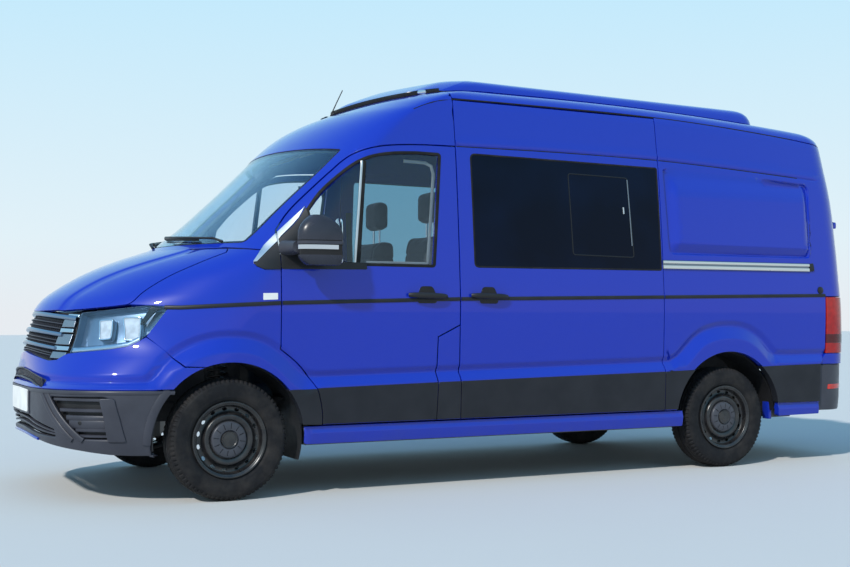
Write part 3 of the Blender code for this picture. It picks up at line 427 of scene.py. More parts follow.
# ------------------------------------------------------------------ side relief
class SideRelief:
    """Pressed shape of the body side: ledge and arch flares, seam, and the blind panel."""

    CREST = curve([(3.060, 0.694), (2.800, 0.694), (2.520, 0.694), (2.462, 0.699),
                   (2.425, 0.732), (2.385, 0.783), (2.340, 0.828), (2.275, 0.873),
                   (2.194, 0.912), (2.094, 0.938), (1.997, 0.944), (1.889, 0.936),
                   (1.800, 0.909), (1.727, 0.868), (1.651, 0.808), (1.585, 0.745),
                   (1.530, 0.712), (1.460, 0.704)], 3) + \
        curve([(0.675, 0.719), (-0.234, 0.735), (-1.060, 0.752), (-1.140, 0.760),
               (-1.205, 0.790), (-1.281, 0.862), (-1.350, 0.920), (-1.429, 0.962),
               (-1.540, 0.989), (-1.656, 0.996), (-1.760, 0.988), (-1.850, 0.962),
               (-1.935, 0.915), (-2.004, 0.858), (-2.060, 0.806), (-2.130, 0.786),
               (-2.540, 0.788), (-2.700, 0.789)], 3)
    LEDGE, FOLD, FOLD_WIDTH = 0.025, 0.018, 0.044
    WIDTH, ARCH_WIDTH = 0.060, 0.098
    FOOT_STEP, FOOT_TOP, FOOT_FROM = 0.013, 0.436, (-2.02, -2.06)
    SEAM = [(0.560, 2.140), (-0.280, 2.148), (-1.068, 2.142), (-1.687, 2.118),
            (-2.203, 2.091), (-2.537, 2.071)]
    RECESS = rounded([(-1.114, 2.086, 0.02), (-1.136, 1.487, 0.06), (-2.426, 1.487, 0.035),
                      (-2.446, 1.800, 0.2), (-2.460, 2.042, 0.07)], 8)
    RECESS_DEPTH, RECESS_EDGE = 0.024, 0.014
    BULGE = ((-1.165, 1.572), (-2.437, 1.560))
    BULGE_RISE, BULGE_HEIGHT = 0.038, 0.068

    def __init__(self) -> None:
        self.crest = np.array(self.CREST)
        self.seam = np.array(curve(self.SEAM, 4))
        self.recess = np.array(self.RECESS)

    def ledge(self, x: np.ndarray, z: np.ndarray) -> np.ndarray:
        """Height of the lower ledge and the two flares above the plain side."""
        gap = distance_to(np.stack([x, z], 1), self.crest)
        arch = ramp(x, 1.42, 1.56) - ramp(x, 2.34, 2.46) + ramp(x, -1.18, -1.28) \
            - ramp(x, -1.98, -2.12)
        width = self.WIDTH + (self.ARCH_WIDTH - self.WIDTH) * np.clip(arch, 0.0, 1.0)
        up = flat_ramp(-gap / width, 0.16)
        fold = 1.0 - flat_ramp(gap / self.FOLD_WIDTH, 0.25)
        height = np.where(gap > 0, -self.FOLD * fold, -self.FOLD + (self.LEDGE + self.FOLD) * up)
        foot = 1.0 - flat_ramp((self.FOOT_TOP - z) / 0.042, 0.15)
        foot = self.FOOT_STEP * foot * (z < self.FOOT_TOP + 0.002)
        return height - foot * ramp(x, *self.FOOT_FROM)

    def seam_groove(self, x: np.ndarray, z: np.ndarray) -> np.ndarray:
        """Groove under the high roof's side panel, with a shallow step above it."""
        gap = distance_to(np.stack([x, z], 1), self.seam)
        reach = ramp(x, -2.56, -2.50) * ramp(x, 0.85, 0.55)
        groove = -0.005 * np.exp(-(gap / 0.005) ** 2)
        step = 0.005 * (ramp(gap, 0.0, 0.034) - flat_ramp((gap - 0.034) / 0.012, 0.2))
        return (groove + step) * reach

    def blind_panel(self, x: np.ndarray, z: np.ndarray) -> np.ndarray:
        """Pressed blind panel that bulges out and falls back along its bottom."""
        points = np.stack([x, z], 1)
        depth = np.abs(distance_to(points, self.recess, True))
        within = inside(points, self.recess)
        edge = np.where(within, ramp(depth, 0.0, self.RECESS_EDGE), 0.0)
        (ax, az), (bx, bz) = self.BULGE
        line = az + (bz - az) * (x - ax) / (bx - ax)
        up = flat_ramp((z - line + self.BULGE_HEIGHT) / self.BULGE_HEIGHT, 0.14)
        rest = ramp(x, -1.140, -1.230) * ramp(x, -2.455, -2.385) * (1.0 - ramp(z, 1.90, 2.075))
        crown = self.BULGE_RISE * up * rest
        return -self.RECESS_DEPTH * edge + crown * within

    def height(self, x: np.ndarray, z: np.ndarray, blind: bool) -> np.ndarray:
        """Whole relief at places in side view."""
        total = self.ledge(x, z) + self.seam_groove(x, z)
        if blind:
            total = total + self.blind_panel(x, z)
        return total

    def seeds(self, blind: bool) -> list[np.ndarray]:
        """Lines along which a panel's mesh follows the relief."""
        lines = [self.beside(self.crest, step) for step in
                 (0.050, 0.042, 0.030, 0.016, 0.006, 0.0, -0.010, -0.020, -0.034, -0.050,
                  -0.064, -0.080, -0.098)]
        lines += [self.beside(self.seam, step) for step in
                  (-0.046, -0.034, -0.012, -0.006, -0.003, 0.0, 0.003, 0.006, 0.012, 0.034, 0.046)]
        lines += [np.array([(-2.08, z), (-2.49, z)]) for z in
                  (0.437, 0.431, 0.424, 0.410, 0.398, 0.392)]
        if blind:
            lines += [offset(self.recess[::int(math.copysign(1, signed_area(self.recess)))], step)
                      for step in (-0.002, 0.0, 0.005, 0.010, 0.014, 0.020, 0.04, 0.08)]
            (ax, az), (bx, bz) = self.BULGE
            lines += [np.array([(ax, az + up), (bx, bz + up)]) for up in
                      (-0.072, -0.063, -0.052, -0.036, -0.020, -0.008, 0.0, 0.012)]
        return lines

    @staticmethod
    def beside(line: np.ndarray, step: float) -> np.ndarray:
        """A line moved sideways, positive to the right of its running direction."""
        tangent = np.gradient(line, axis=0)
        tangent /= np.maximum(np.linalg.norm(tangent, axis=1, keepdims=True), 1e-9)
        moved = line + np.stack([tangent[:, 1], -tangent[:, 0]], 1) * step
        return moved[np.abs(distance_to(moved, line)) > 0.93 * abs(step) - 1e-6]


RELIEF = SideRelief()


# ------------------------------------------------------------------ mesh making
def unit(vectors: np.ndarray) -> np.ndarray:
    """Rows scaled to length one."""
    return vectors / np.maximum(np.linalg.norm(vectors, axis=1, keepdims=True), 1e-12)


def mesh_object(name: str, verts: np.ndarray, faces: Sequence[Sequence[int]],
                normals: Optional[np.ndarray] = None,
                slots: Optional[Sequence[int]] = None) -> bpy.types.Object:
    """Make a smooth-shaded object.

    Args:
        name: object name.
        verts: points.
        faces: vertex numbers of each face.
        normals: one normal a vertex, where the shading is set by the form itself.
        slots: material slot of each face.

    Returns:
        The linked object.
    """
    mesh = bpy.data.meshes.new(name)
    mesh.from_pydata([tuple(map(float, v)) for v in verts], [], [tuple(map(int, f)) for f in faces])
    mesh.polygons.foreach_set("use_smooth", [True] * len(mesh.polygons))
    if slots is not None:
        mesh.polygons.foreach_set("material_index", list(slots))
    if normals is not None:
        mesh.normals_split_custom_set_from_vertices([tuple(map(float, n)) for n in normals])
    return placed(name, mesh)


def circle(count: int) -> np.ndarray:
    """Even angles round a full turn."""
    return np.linspace(0, 2 * math.pi, count, endpoint=False)


def placed(name: str, data: bpy.types.ID) -> bpy.types.Object:
    """Link a new object that holds a mesh, a camera or a lamp."""
    made = bpy.data.objects.new(name, data)
    bpy.context.collection.objects.link(made)
    return made


def crisp(obj: bpy.types.Object, degrees: float = 35.0) -> bpy.types.Object:
    """Shade an object smooth, apart from edges sharper than an angle."""
    work = bmesh.new()
    work.from_mesh(obj.data)
    bmesh.ops.recalc_face_normals(work, faces=work.faces)
    limit = math.radians(degrees)
    for face in work.faces:
        face.smooth = True
    for edge in work.edges:
        edge.smooth = len(edge.link_faces) == 2 and edge.calc_face_angle(0.0) < limit
    work.to_mesh(obj.data)
    work.free()
    return obj


def bevelled(obj: bpy.types.Object, width: float, segments: int = 2,
             degrees: float = 35.0) -> bpy.types.Object:
    """Round an object's sharp edges and apply it."""
    step = obj.modifiers.new("edge", "BEVEL")
    step.width, step.segments, step.limit_method = width, segments, "ANGLE"
    step.angle_limit = math.radians(degrees)
    step.harden_normals = False
    return crisp(applied(obj), 40.0)


def applied(obj: bpy.types.Object) -> bpy.types.Object:
    """Bake an object's modifiers into its mesh."""
    graph = bpy.context.evaluated_depsgraph_get()
    graph.update()
    baked = bpy.data.meshes.new_from_object(obj.evaluated_get(graph))
    obj.modifiers.clear()
    obj.data = baked
    return obj


def joined(name: str, parts: Sequence[bpy.types.Object]) -> bpy.types.Object:
    """One object from several that wear the same finishes in the same order."""
    work = bmesh.new()
    for part in parts:
        part.data.transform(part.matrix_world)
        work.from_mesh(part.data)
    mesh = bpy.data.meshes.new(name)
    work.to_mesh(mesh)
    work.free()
    for part in parts:
        bpy.data.objects.remove(part, do_unlink=True)
    return placed(name, mesh)


def cut_by(obj: bpy.types.Object, cutters: Sequence[bpy.types.Object]) -> bpy.types.Object:
    """Cut several shapes out of an object."""
    tool = joined("cut", cutters)
    step = obj.modifiers.new("cut", "BOOLEAN")
    step.operation, step.solver, step.object = "DIFFERENCE", "EXACT", tool
    applied(obj)
    bpy.data.objects.remove(tool, do_unlink=True)
    return crisp(obj, 40)


def mirror(mesh: bpy.types.Mesh) -> None:
    """Turn a mesh into its image on the other side of the vehicle."""
    mesh.transform(Matrix.Scale(-1.0, 4, Vector((0, 1, 0))))
    mesh.flip_normals()


class Plane(Enum):
    """Plane of an outline: where its two values and the third one go."""

    XZ = (0, 2, 1)
    YZ = (2, 0, 1)
    XY = (0, 1, 2)


def prism(name: str, outline: Outline, low: float, high: float,
          plane: Plane = Plane.XZ, edge: float = 0.0, segments: int = 2) -> bpy.types.Object:
    """Flat outline extruded along the axis it is seen from, with rounded edges.

    Args:
        name: object name.
        outline: points in the named plane.
        low: near end along the third axis.
        high: far end.
        plane: plane of the outline.
        edge: radius of the edges.
        segments: pieces in each rounded edge.

    Returns:
        The object.
    """
    count = len(outline)
    verts = [[(a, b, c)[k] for k in plane.value] for c in (low, high) for a, b in outline]
    faces = [tuple(range(count)), tuple(range(2 * count - 1, count - 1, -1))]
    faces += [(i, (i + 1) % count, count + (i + 1) % count, count + i) for i in range(count)]
    made = crisp(mesh_object(name, np.array(verts), faces))
    return bevelled(made, edge, segments) if edge > 0 else made


def block(name: str, low: Sequence[float], high: Sequence[float],
          edge: float = 0.004) -> bpy.types.Object:
    """Block between two corners with rounded edges."""
    (x0, y0, z0), (x1, y1, z1) = low, high
    return prism(name, [(x0, z0), (x1, z0), (x1, z1), (x0, z1)], y0, y1, edge=edge)


def loft(name: str, rings: np.ndarray, caps: bool = True, degrees: float = 50.0,
         wrap: bool = False) -> bpy.types.Object:
    """Skin through closed rings of the same count.

    Args:
        name: object name.
        rings: array (rings, points, 3).
        caps: close both ends flat.
        degrees: sharper edges stay crisp.
        wrap: join the last ring to the first.

    Returns:
        The object.
    """
    rows, count = rings.shape[:2]
    faces: list[tuple[int, ...]] = []
    for step in range(rows if wrap else rows - 1):
        ahead = (step + 1) % rows
        for i in range(count):
            j = (i + 1) % count
            faces.append((step * count + i, step * count + j, ahead * count + j,
                          ahead * count + i))
    if caps and not wrap:
        faces += [tuple(range(count)), tuple(range(rows * count - 1, (rows - 1) * count - 1, -1))]
    return crisp(mesh_object(name, rings.reshape(-1, 3), faces), degrees)


def tube(name: str, path: np.ndarray, radius: float | Sequence[float], sides: int = 12,
         flat: float = 1.0, closed: bool = False) -> bpy.types.Object:
    """Round bar along a path.

    Args:
        name: object name.
        path: points (n, 3).
        radius: one radius or one a point.
        sides: points round the bar.
        flat: height of the section over its width.
        closed: join the ends.

    Returns:
        The object.
    """
    path = np.asarray(path, float)
    tangent = unit(np.roll(path, -1, 0) - np.roll(path, 1, 0)) if closed else \
        unit(np.gradient(path, axis=0))
    radii = np.broadcast_to(np.asarray(radius, float), (len(path),))
    up = np.array([0.0, 0.0, 1.0]) if abs(tangent[0, 2]) < 0.9 else np.array([1.0, 0.0, 0.0])
    rings = []
    for point, along, size in zip(path, tangent, radii):
        across = np.cross(along, up)
        across /= max(np.linalg.norm(across), 1e-9)
        up = np.cross(across, along)
        turn = circle(sides)[:, None]
        rings.append(point + size * (np.cos(turn) * across + flat * np.sin(turn) * up))
    return loft(name, np.array(rings), caps=not closed, wrap=closed)


def revolved(name: str, profile: Outline, steps: int = 96, degrees: float = 30.0,
             centre: Sequence[float] = (0, 0, 0)) -> bpy.types.Object:
    """Closed (y, radius) profile turned about the Y axis through a centre."""
    turn = circle(steps)
    rings = np.array([[(r * math.cos(a), y, r * math.sin(a)) for y, r in profile] for a in turn])
    return loft(name, rings + np.array(centre), wrap=True, degrees=degrees)


# ------------------------------------------------------------------ panels cut from the form
Surface = Callable[[np.ndarray, np.ndarray], np.ndarray]


def normals_of(surface: Surface, u: np.ndarray, v: np.ndarray, outward: Sequence[float],
               step: float = 0.0015) -> np.ndarray:
    """Normals of a surface over its two coordinates, on its outward side."""
    along = surface(u + step, v) - surface(u - step, v)
    up = surface(u, v + step) - surface(u, v - step)
    found = unit(np.cross(along, up))
    return found * (1.0 if float(np.mean(found @ np.array(outward))) > 0 else -1.0)


def flush_side(raised: float = 0.0) -> Surface:
    """Left body side without its relief, over (x, z)."""
    return side_surface(raised, relief=False)


def side_surface(raised: float = 0.0, relief: bool = True, blind: bool = False) -> Surface:
    """Left body side over (x, z)."""
    def plain(x: np.ndarray, z: np.ndarray) -> np.ndarray:
        return np.stack([x, FORM.side(x, z), z], 1)

    def surface(x: np.ndarray, z: np.ndarray) -> np.ndarray:
        height = np.full_like(x, raised)
        if relief:
            height = height + RELIEF.height(x, z, blind)
        return plain(x, z) + normals_of(plain, x, z, (0, 1, 0)) * height[:, None]
    return surface


def nose_surface(raised: float = 0.0, relief: Optional[Lift] = None) -> Surface:
    """Nose, bonnet, windscreen and header over (s, run).

    Args:
        raised: even height above the form.
        relief: extra height at points of the form.

    Returns:
        The surface.
    """
    def surface(s: np.ndarray, run: np.ndarray) -> np.ndarray:
        points = FORM.wrap(s, run)
        height = np.full_like(s, raised)
        if relief is not None:
            height = height + relief(points)
        return points + normals_of(FORM.wrap, s, run, (1, 0, 0.4)) * height[:, None]
    return surface


def tail_surface(raised: float = 0.0) -> Surface:
    """Back of the body over (y, z)."""
    return lambda y, z: np.stack([FORM.tail(y, z) - raised, y, z], 1)


def roof_surface(raised: float = 0.0) -> Surface:
    """Roof over (x, y)."""
    return lambda x, y: np.stack([x, y, FORM.roof(x, y) + raised], 1)


HALF_TURN = 0.71  # share of a rolled edge's width that is passed half way round it


class Piece:
    """A piece that is made for either side and then dressed."""

    def build(self, side: int = 1) -> bpy.types.Object:
        """Make the piece as drawn, or with side -1 on the other side of the vehicle."""
        raise NotImplementedError

    def add(self, slot: str, *finishes: Finish, body: str = "body",
            replaces: Sequence[str] = (), side: int = 1) -> None:
        """Make the piece and dress it; the arguments are those of dress and of build."""
        dress(self.build(side), slot, *finishes, body=body, replaces=replaces)


@dataclass
class Panel(Piece):
    """A panel cut from a surface: outer face, rolled edges and lined inner face."""

    name: str
    outline: Outline
    surface: Surface
    outward: tuple[float, float, float] = (0.0, 1.0, 0.0)
    holes: Sequence[Outline] = ()
    seeds: Sequence[np.ndarray] = ()
    spacing: float = 0.045
    edge_spacing: float = 0.020
    seed_spacing: float = 0.020
    thickness: float = 0.030
    roll: float = 0.003
    inset: float = 0.0
    border_room: float = 0.006
    lattice_room: float = 0.42
    row_share: float = 0.87

    def add(self, slot: str, *finishes: Finish, body: str = "body",
            replaces: Sequence[str] = (), side: int = 1) -> None:
        """Make the panel and dress it; a lone finish goes on both faces."""
        both_faces = finishes * 2 if len(finishes) == 1 else finishes
        super().add(slot, *both_faces, body=body, replaces=replaces, side=side)

    def build(self, side: int = 1) -> bpy.types.Object:
        """Make the panel.

        Args:
            side: 1 as drawn, -1 mirrored to the other side of the vehicle.

        Returns:
            The object, with slot 0 on the outer face and edges and slot 1 inside.
        """
        loops, signs = self._loops()
        inner = [offset(loop, self.roll * sign) for loop, sign in zip(loops, signs)]
        points, rows, tris = self._triangles(inner)
        at = self.surface(points[:, 0], points[:, 1])
        face = normals_of(self.surface, points[:, 0], points[:, 1], self.outward)
        ccw = self._runs_outward(at, face, tris)
        verts = [at, at - face * self.thickness]
        shade = [face, -face]
        count = len(points)
        faces = [tuple(t) for t in tris] + [tuple(count + k for k in reversed(t)) for t in tris]
        slots = [0] * len(tris) + [1] * len(tris)
        base = 2 * count
        for loop, ring, sign in zip(loops, rows, signs):
            edge = self.surface(loop[:, 0], loop[:, 1])
            up = normals_of(self.surface, loop[:, 0], loop[:, 1], self.outward)
            out = unit(edge - at[ring])
            shallow = at[ring] + (edge - at[ring]) * HALF_TURN - up * self.roll * (1 - HALF_TURN)
            low = max(self.thickness - self.roll, self.roll * 1.5)
            verts += [shallow, edge - up * self.roll, edge - up * low]
            shade += [unit(out + up), out, out]
            size = len(loop)
            rings = [list(ring)] + [[base + k * size + i for i in range(size)]
                                    for k in range(3)] + [[count + r for r in ring]]
            base += 3 * size
            for level, (a, b) in enumerate(zip(rings, rings[1:])):
                for i in range(size):
                    j = (i + 1) % size
                    quad = (a[j], a[i], b[i], b[j])
                    faces.append(quad if sign > 0 else quad[::-1])
                    slots.append(1 if level == 3 else 0)
        verts, shade = np.vstack(verts), np.vstack(shade)
        if side < 0:
            verts, shade = verts * (1, -1, 1), shade * (1, -1, 1)
        if ccw == (side < 0):
            faces = [f[::-1] for f in faces]
        return mesh_object(self.name, verts, faces, shade, slots)

    def _loops(self) -> tuple[list[np.ndarray], list[int]]:
        """Outer line and holes, all anticlockwise, with 1 for the outer line and -1 for a hole."""
        loops, signs = [], []
        for outline, sign in [(self.outline, 1)] + [(hole, -1) for hole in self.holes]:
            loop = resampled(outline, self.edge_spacing)
            if signed_area(loop) < 0:
                loop = loop[::-1]
            loops.append(offset(loop, self.inset * sign) if self.inset else loop)
            signs.append(sign)
        return loops, signs

    def _triangles(self, inner: list[np.ndarray]
                   ) -> tuple[np.ndarray, list[list[int]], list[list[int]]]:
        """Triangulate between the inset loops, with the relief's lines and a plain lattice."""
        border = np.vstack(inner)
        dots_in = [border]
        for line in self.seeds:
            dots = resampled(line, self.seed_spacing, False)
            dots_in.append(self._clear(dots, inner, border, self.border_room))
        close = np.vstack(dots_in)
        low, high = inner[0].min(0), inner[0].max(0)
        xs = np.arange(low[0], high[0], self.spacing)
        ys = np.arange(low[1], high[1], self.spacing * self.row_share)
        grid = np.array([(x + (k % 2) * self.spacing / 2, y) for k, y in enumerate(ys) for x in xs])
        if len(grid):
            dots_in.append(self._clear(grid, inner, close, self.spacing * self.lattice_room))
        points = np.vstack(dots_in)
        edges, start = [], 0
        for loop in inner:
            size = len(loop)
            edges += [(start + i, start + (i + 1) % size) for i in range(size)]
            start += size
        out = delaunay_2d_cdt([Vector(p) for p in points], edges, [], 0, 1e-7, True)
        found = np.array([tuple(v) for v in out[0]])
        where = {}
        for new, olds in enumerate(out[3]):
            for old in olds:
                where[old] = new
        rows, start = [], 0
        for loop in inner:
            rows.append([where[start + i] for i in range(len(loop))])
            start += len(loop)
        tris = np.array([list(f) for f in out[2]])
        middle = found[tris].mean(1)
        keep = inside(middle, inner[0])
        for loop in inner[1:]:
            keep &= ~inside(middle, loop)
        return found, rows, tris[keep].tolist()

    @staticmethod
    def _clear(dots: np.ndarray, inner: list[np.ndarray], others: np.ndarray,
               room: float) -> np.ndarray:
        """Points inside the panel that keep some room from others."""
        keep = inside(dots, inner[0])
        for loop in inner[1:]:
            keep &= ~inside(dots, loop)
        dots = dots[keep]
        if not len(dots):
            return dots.reshape(0, 2)
        least = np.full(len(dots), 1e9)
        for start in range(0, len(others), 400):
            gap = dots[:, None, :] - others[None, start:start + 400]
            least = np.minimum(least, np.min(np.sum(gap * gap, 2), 1))
        return dots[least > room * room]

    @staticmethod
    def _runs_outward(at: np.ndarray, face: np.ndarray, tris: list[list[int]]) -> bool:
        """Whether the triangles' corners run anticlockwise seen from outside."""
        a, b, c = (at[[t[k] for t in tris]] for k in range(3))
        turn = np.sum(np.cross(b - a, c - a) * face[[t[0] for t in tris]], 1)
        return float(np.sum(turn)) > 0


@dataclass
class Strip(Piece):
    """A trim or seal strip that follows a line on a surface."""

    name: str
    path: Outline
    surface: Surface
    width: float
    height: float
    outward: tuple[float, float, float] = (0.0, 1.0, 0.0)
    depth: float = 0.002
    spacing: float = 0.03
    closed: bool = False
    edge: float = 0.3

    def build(self, side: int = 1) -> bpy.types.Object:
        """Sweep a low crowned section along the line; side -1 mirrors it."""
        line = resampled(self.path, self.spacing, self.closed)
        at = self.surface(line[:, 0], line[:, 1])
        up = normals_of(self.surface, line[:, 0], line[:, 1], self.outward)
        along = unit(np.roll(at, -1, 0) - np.roll(at, 1, 0)) if self.closed else \
            unit(np.gradient(at, axis=0))
        across = unit(np.cross(up, along))
        half, top, soft = self.width / 2, self.height, self.edge
        left = [(-half, -self.depth), (-half, top * 0.5), (-half * (1 - soft), top * 0.93)]
        section = [*left, (0.0, top), *[(-a, b) for a, b in left[::-1]]]
        rings = np.stack([at + across * a + up * b for a, b in section], 1)
        if side < 0:
            rings = rings * (1, -1, 1)
        return loft(self.name, rings, caps=not self.closed, wrap=self.closed, degrees=50)


# ------------------------------------------------------------------ finishes
class Graph:
    """Short way to build a material's node tree."""

    def __init__(self, name: str) -> None:
        self.material = bpy.data.materials.new(name)
        self.material.use_nodes = True
        self.tree = self.material.node_tree
        self.shader = self.tree.nodes["Principled BSDF"]
        self.output = self.tree.nodes["Material Output"]
        self.place = self.add("ShaderNodeTexCoord").outputs["Object"]

    def add(self, kind: str, **values: object) -> bpy.types.Node:
        """Add a node; values name its inputs or properties."""
        node = self.tree.nodes.new(kind)
        for key, value in values.items():
            if key in node.inputs:
                node.inputs[key].default_value = value
            else:
                setattr(node, key.lower(), value)
        return node

    def link(self, start: bpy.types.NodeSocket, end: bpy.types.NodeSocket) -> None:
        """Join two sockets."""
        self.tree.links.new(start, end)

    def noise(self, scale: float, detail: float = 3.0, rough: float = 0.5,
              stretch: Sequence[float] = (1, 1, 1)) -> bpy.types.NodeSocket:
        """Noise over the piece, in cycles a metre."""
        node = self.add("ShaderNodeTexNoise", Scale=scale, Detail=detail, Roughness=rough)
        place = self.add("ShaderNodeMapping", Scale=tuple(stretch))
        self.link(self.place, place.inputs["Vector"])
        self.link(place.outputs[0], node.inputs["Vector"])
        return node.outputs["Fac"]

    def span(self, value: bpy.types.NodeSocket, low: float, high: float, out_low: float,
             out_high: float) -> bpy.types.NodeSocket:
        """Map a value from one range to another."""
        node = self.add("ShaderNodeMapRange")
        for key, number in (("From Min", low), ("From Max", high), ("To Min", out_low),
                            ("To Max", out_high)):
            node.inputs[key].default_value = number
        self.link(value, node.inputs["Value"])
        return node.outputs["Result"]

    def blend(self, share: bpy.types.NodeSocket, first: Sequence[float],
              second: Sequence[float]) -> bpy.types.NodeSocket:
        """Mix two colours by a share."""
        node = self.add("ShaderNodeMix", data_type="RGBA")
        for socket, colour in ((node.inputs[6], first), (node.inputs[7], second)):
            if isinstance(colour, bpy.types.NodeSocket):
                self.link(colour, socket)
            else:
                socket.default_value = (*colour, 1.0)
        self.link(share, node.inputs[0])
        return node.outputs[2]

    def bump(self, height: bpy.types.NodeSocket, strength: float, distance: float) -> None:
        """Let a height roughen the surface."""
        node = self.add("ShaderNodeBump", Strength=strength, Distance=distance)
        self.link(height, node.inputs["Height"])
        self.link(node.outputs[0], self.shader.inputs["Normal"])

    def plain(self, **values: object) -> None:
        """Set the shader's own sockets; underscores stand for spaces."""
        for key, value in values.items():
            self.shader.inputs[key.replace("_", " ")].default_value = value

    def colour(self, source: bpy.types.NodeSocket | Sequence[float]) -> None:
        """Set or link the base colour."""
        if isinstance(source, bpy.types.NodeSocket):
            self.link(source, self.shader.inputs["Base Color"])
        else:
            self.shader.inputs["Base Color"].default_value = (*source, 1.0)

    def roughness(self, source: bpy.types.NodeSocket) -> None:
        """Link the roughness."""
        self.link(source, self.shader.inputs["Roughness"])


@dataclass(frozen=True)
class Finish:
    """A finish made once and shared by the pieces that wear it."""

    name: str
    base: tuple[float, float, float]

    def material(self) -> bpy.types.Material:
        """Return the material, making it the first time."""
        found = bpy.data.materials.get(self.name)
        if found:
            return found
        graph = Graph(self.name)
        self.draw(graph)
        graph.material.diffuse_color = (*self.base, 1.0)
        return graph.material

    def draw(self, graph: Graph) -> None:
        """Fill the node tree."""
        graph.colour(self.base)


@dataclass(frozen=True)
class GlossPaint(Finish):
    """Deep solid paint under a clear coat, with a faint orange peel and road film low down."""

    film: tuple[float, float, float] = (0.060, 0.066, 0.120)

    def draw(self, graph: Graph) -> None:
        """Colour, film near the ground, peel and clear coat."""
        height = graph.add("ShaderNodeSeparateXYZ")
        graph.link(graph.place, height.inputs[0])
        low = graph.span(height.outputs["Z"], 0.75, 0.30, 0.0, 0.16)
        patch = graph.span(graph.noise(5.0, 4.0), 0.35, 0.75, 0.3, 1.0)
        share = graph.add("ShaderNodeMath", operation="MULTIPLY")
        graph.link(low, share.inputs[0])
        graph.link(patch, share.inputs[1])
        graph.colour(graph.blend(share.outputs[0], self.base, self.film))
        graph.roughness(graph.span(graph.noise(3.0, 2.0), 0.3, 0.7, 0.30, 0.36))
        graph.bump(graph.noise(260.0, 1.0), 0.012, 0.001)
        graph.plain(Metallic=0.0, Specular_IOR_Level=0.10, Coat_Weight=1.0,
                    Coat_Roughness=0.02, Coat_IOR=1.46)


@dataclass(frozen=True)
class MouldedPlastic(Finish):
    """Grained plastic with a slightly uneven sheen."""

    rough: float = 0.55
    grain: float = 0.18

    def draw(self, graph: Graph) -> None:
        """Faded patches, sheen and grain."""
        pale = tuple(min(1.0, c * 1.25 + 0.004) for c in self.base)
        graph.colour(graph.blend(graph.span(graph.noise(6.0, 5.0), 0.35, 0.7, 0.0, 1.0),
                                 self.base, pale))
        graph.roughness(graph.span(graph.noise(14.0, 3.0), 0.3, 0.7, self.rough - 0.06,
                                   self.rough + 0.06))
        graph.bump(graph.noise(900.0, 2.0, 0.6), self.grain, 0.0006)
        graph.plain(Specular_IOR_Level=0.30)


@dataclass(frozen=True)
class Rubber(Finish):
    """Tyre or seal rubber with dust in it."""

    dust: tuple[float, float, float] = (0.105, 0.090, 0.078)
    most: float = 0.5

    def draw(self, graph: Graph) -> None:
        """Dust in patches over dull rubber."""
        share = graph.span(graph.noise(9.0, 6.0, 0.65), 0.42, 0.72, 0.0, self.most)
        graph.colour(graph.blend(share, self.base, self.dust))
        graph.roughness(graph.span(graph.noise(30.0, 3.0), 0.3, 0.7, 0.62, 0.85))
        graph.bump(graph.noise(420.0, 3.0), 0.25, 0.0008)
        graph.plain(Specular_IOR_Level=0.22)


@dataclass(frozen=True)
class BrightMetal(Finish):
    """Bright trim, mirror or machined metal."""

    rough: float = 0.12
    brushed: tuple[float, float, float] = (1.0, 1.0, 1.0)

    def draw(self, graph: Graph) -> None:
        """Fine uneven polish, brushed along one way where asked."""
        graph.colour(graph.blend(graph.noise(6.0, 2.0), self.base,
                                 tuple(c * 0.95 for c in self.base)))
        graph.roughness(graph.span(graph.noise(9.0, 3.0, 0.5, self.brushed), 0.3, 0.7,
                                   self.rough * 0.9, self.rough * 1.15))
        graph.plain(Metallic=1.0)


@dataclass(frozen=True)
class PaintedSteel(Finish):
    """Satin painted or cast metal with brake dust and rust specks."""

    rust: float = 0.08
    rough: float = 0.38

    def draw(self, graph: Graph) -> None:
        """Dust, specks and a faint cast texture."""
        dusty = graph.blend(graph.span(graph.noise(16.0, 5.0), 0.4, 0.75, 0.0, 0.35),
                            self.base, (0.075, 0.066, 0.058))
        specks = graph.span(graph.noise(75.0, 4.0, 0.7), 0.66, 0.74, 0.0, self.rust * 6.0)
        graph.colour(graph.blend(specks, dusty, (0.16, 0.065, 0.030)))
        graph.roughness(graph.span(graph.noise(22.0, 4.0), 0.3, 0.7, self.rough - 0.08,
                                   self.rough + 0.15))
        graph.bump(graph.noise(340.0, 3.0), 0.12, 0.0006)
        graph.plain(Metallic=0.0, Coat_Weight=0.25, Coat_Roughness=0.25)


@dataclass(frozen=True)
class WindowGlass(Finish):
    """Glass pane that shows what is behind it under a mirror-like surface."""

    mirror: float = 0.035
    tint: tuple[float, float, float] = (0.90, 0.94, 0.96)

    def draw(self, graph: Graph) -> None:
        """See-through pane that turns into a mirror at a grazing angle."""
        graph.colour(self.base)
        graph.plain(Metallic=1.0)
        graph.roughness(graph.span(graph.noise(4.0, 3.0), 0.4, 0.7, 0.010, 0.030))
        through = graph.add("ShaderNodeBsdfTransparent")
        through.inputs["Color"].default_value = (*self.tint, 1.0)
        facing = graph.add("ShaderNodeLayerWeight", Blend=0.5)
        steep = graph.add("ShaderNodeMath", operation="POWER")
        graph.link(facing.outputs["Facing"], steep.inputs[0])
        steep.inputs[1].default_value = 4.0
        share = graph.span(steep.outputs[0], 0.0, 1.0, self.mirror, 0.95)
        mix = graph.add("ShaderNodeMixShader")
        graph.link(share, mix.inputs[0])
        graph.link(through.outputs[0], mix.inputs[1])
        graph.link(graph.shader.outputs[0], mix.inputs[2])
        graph.link(mix.outputs[0], graph.output.inputs["Surface"])


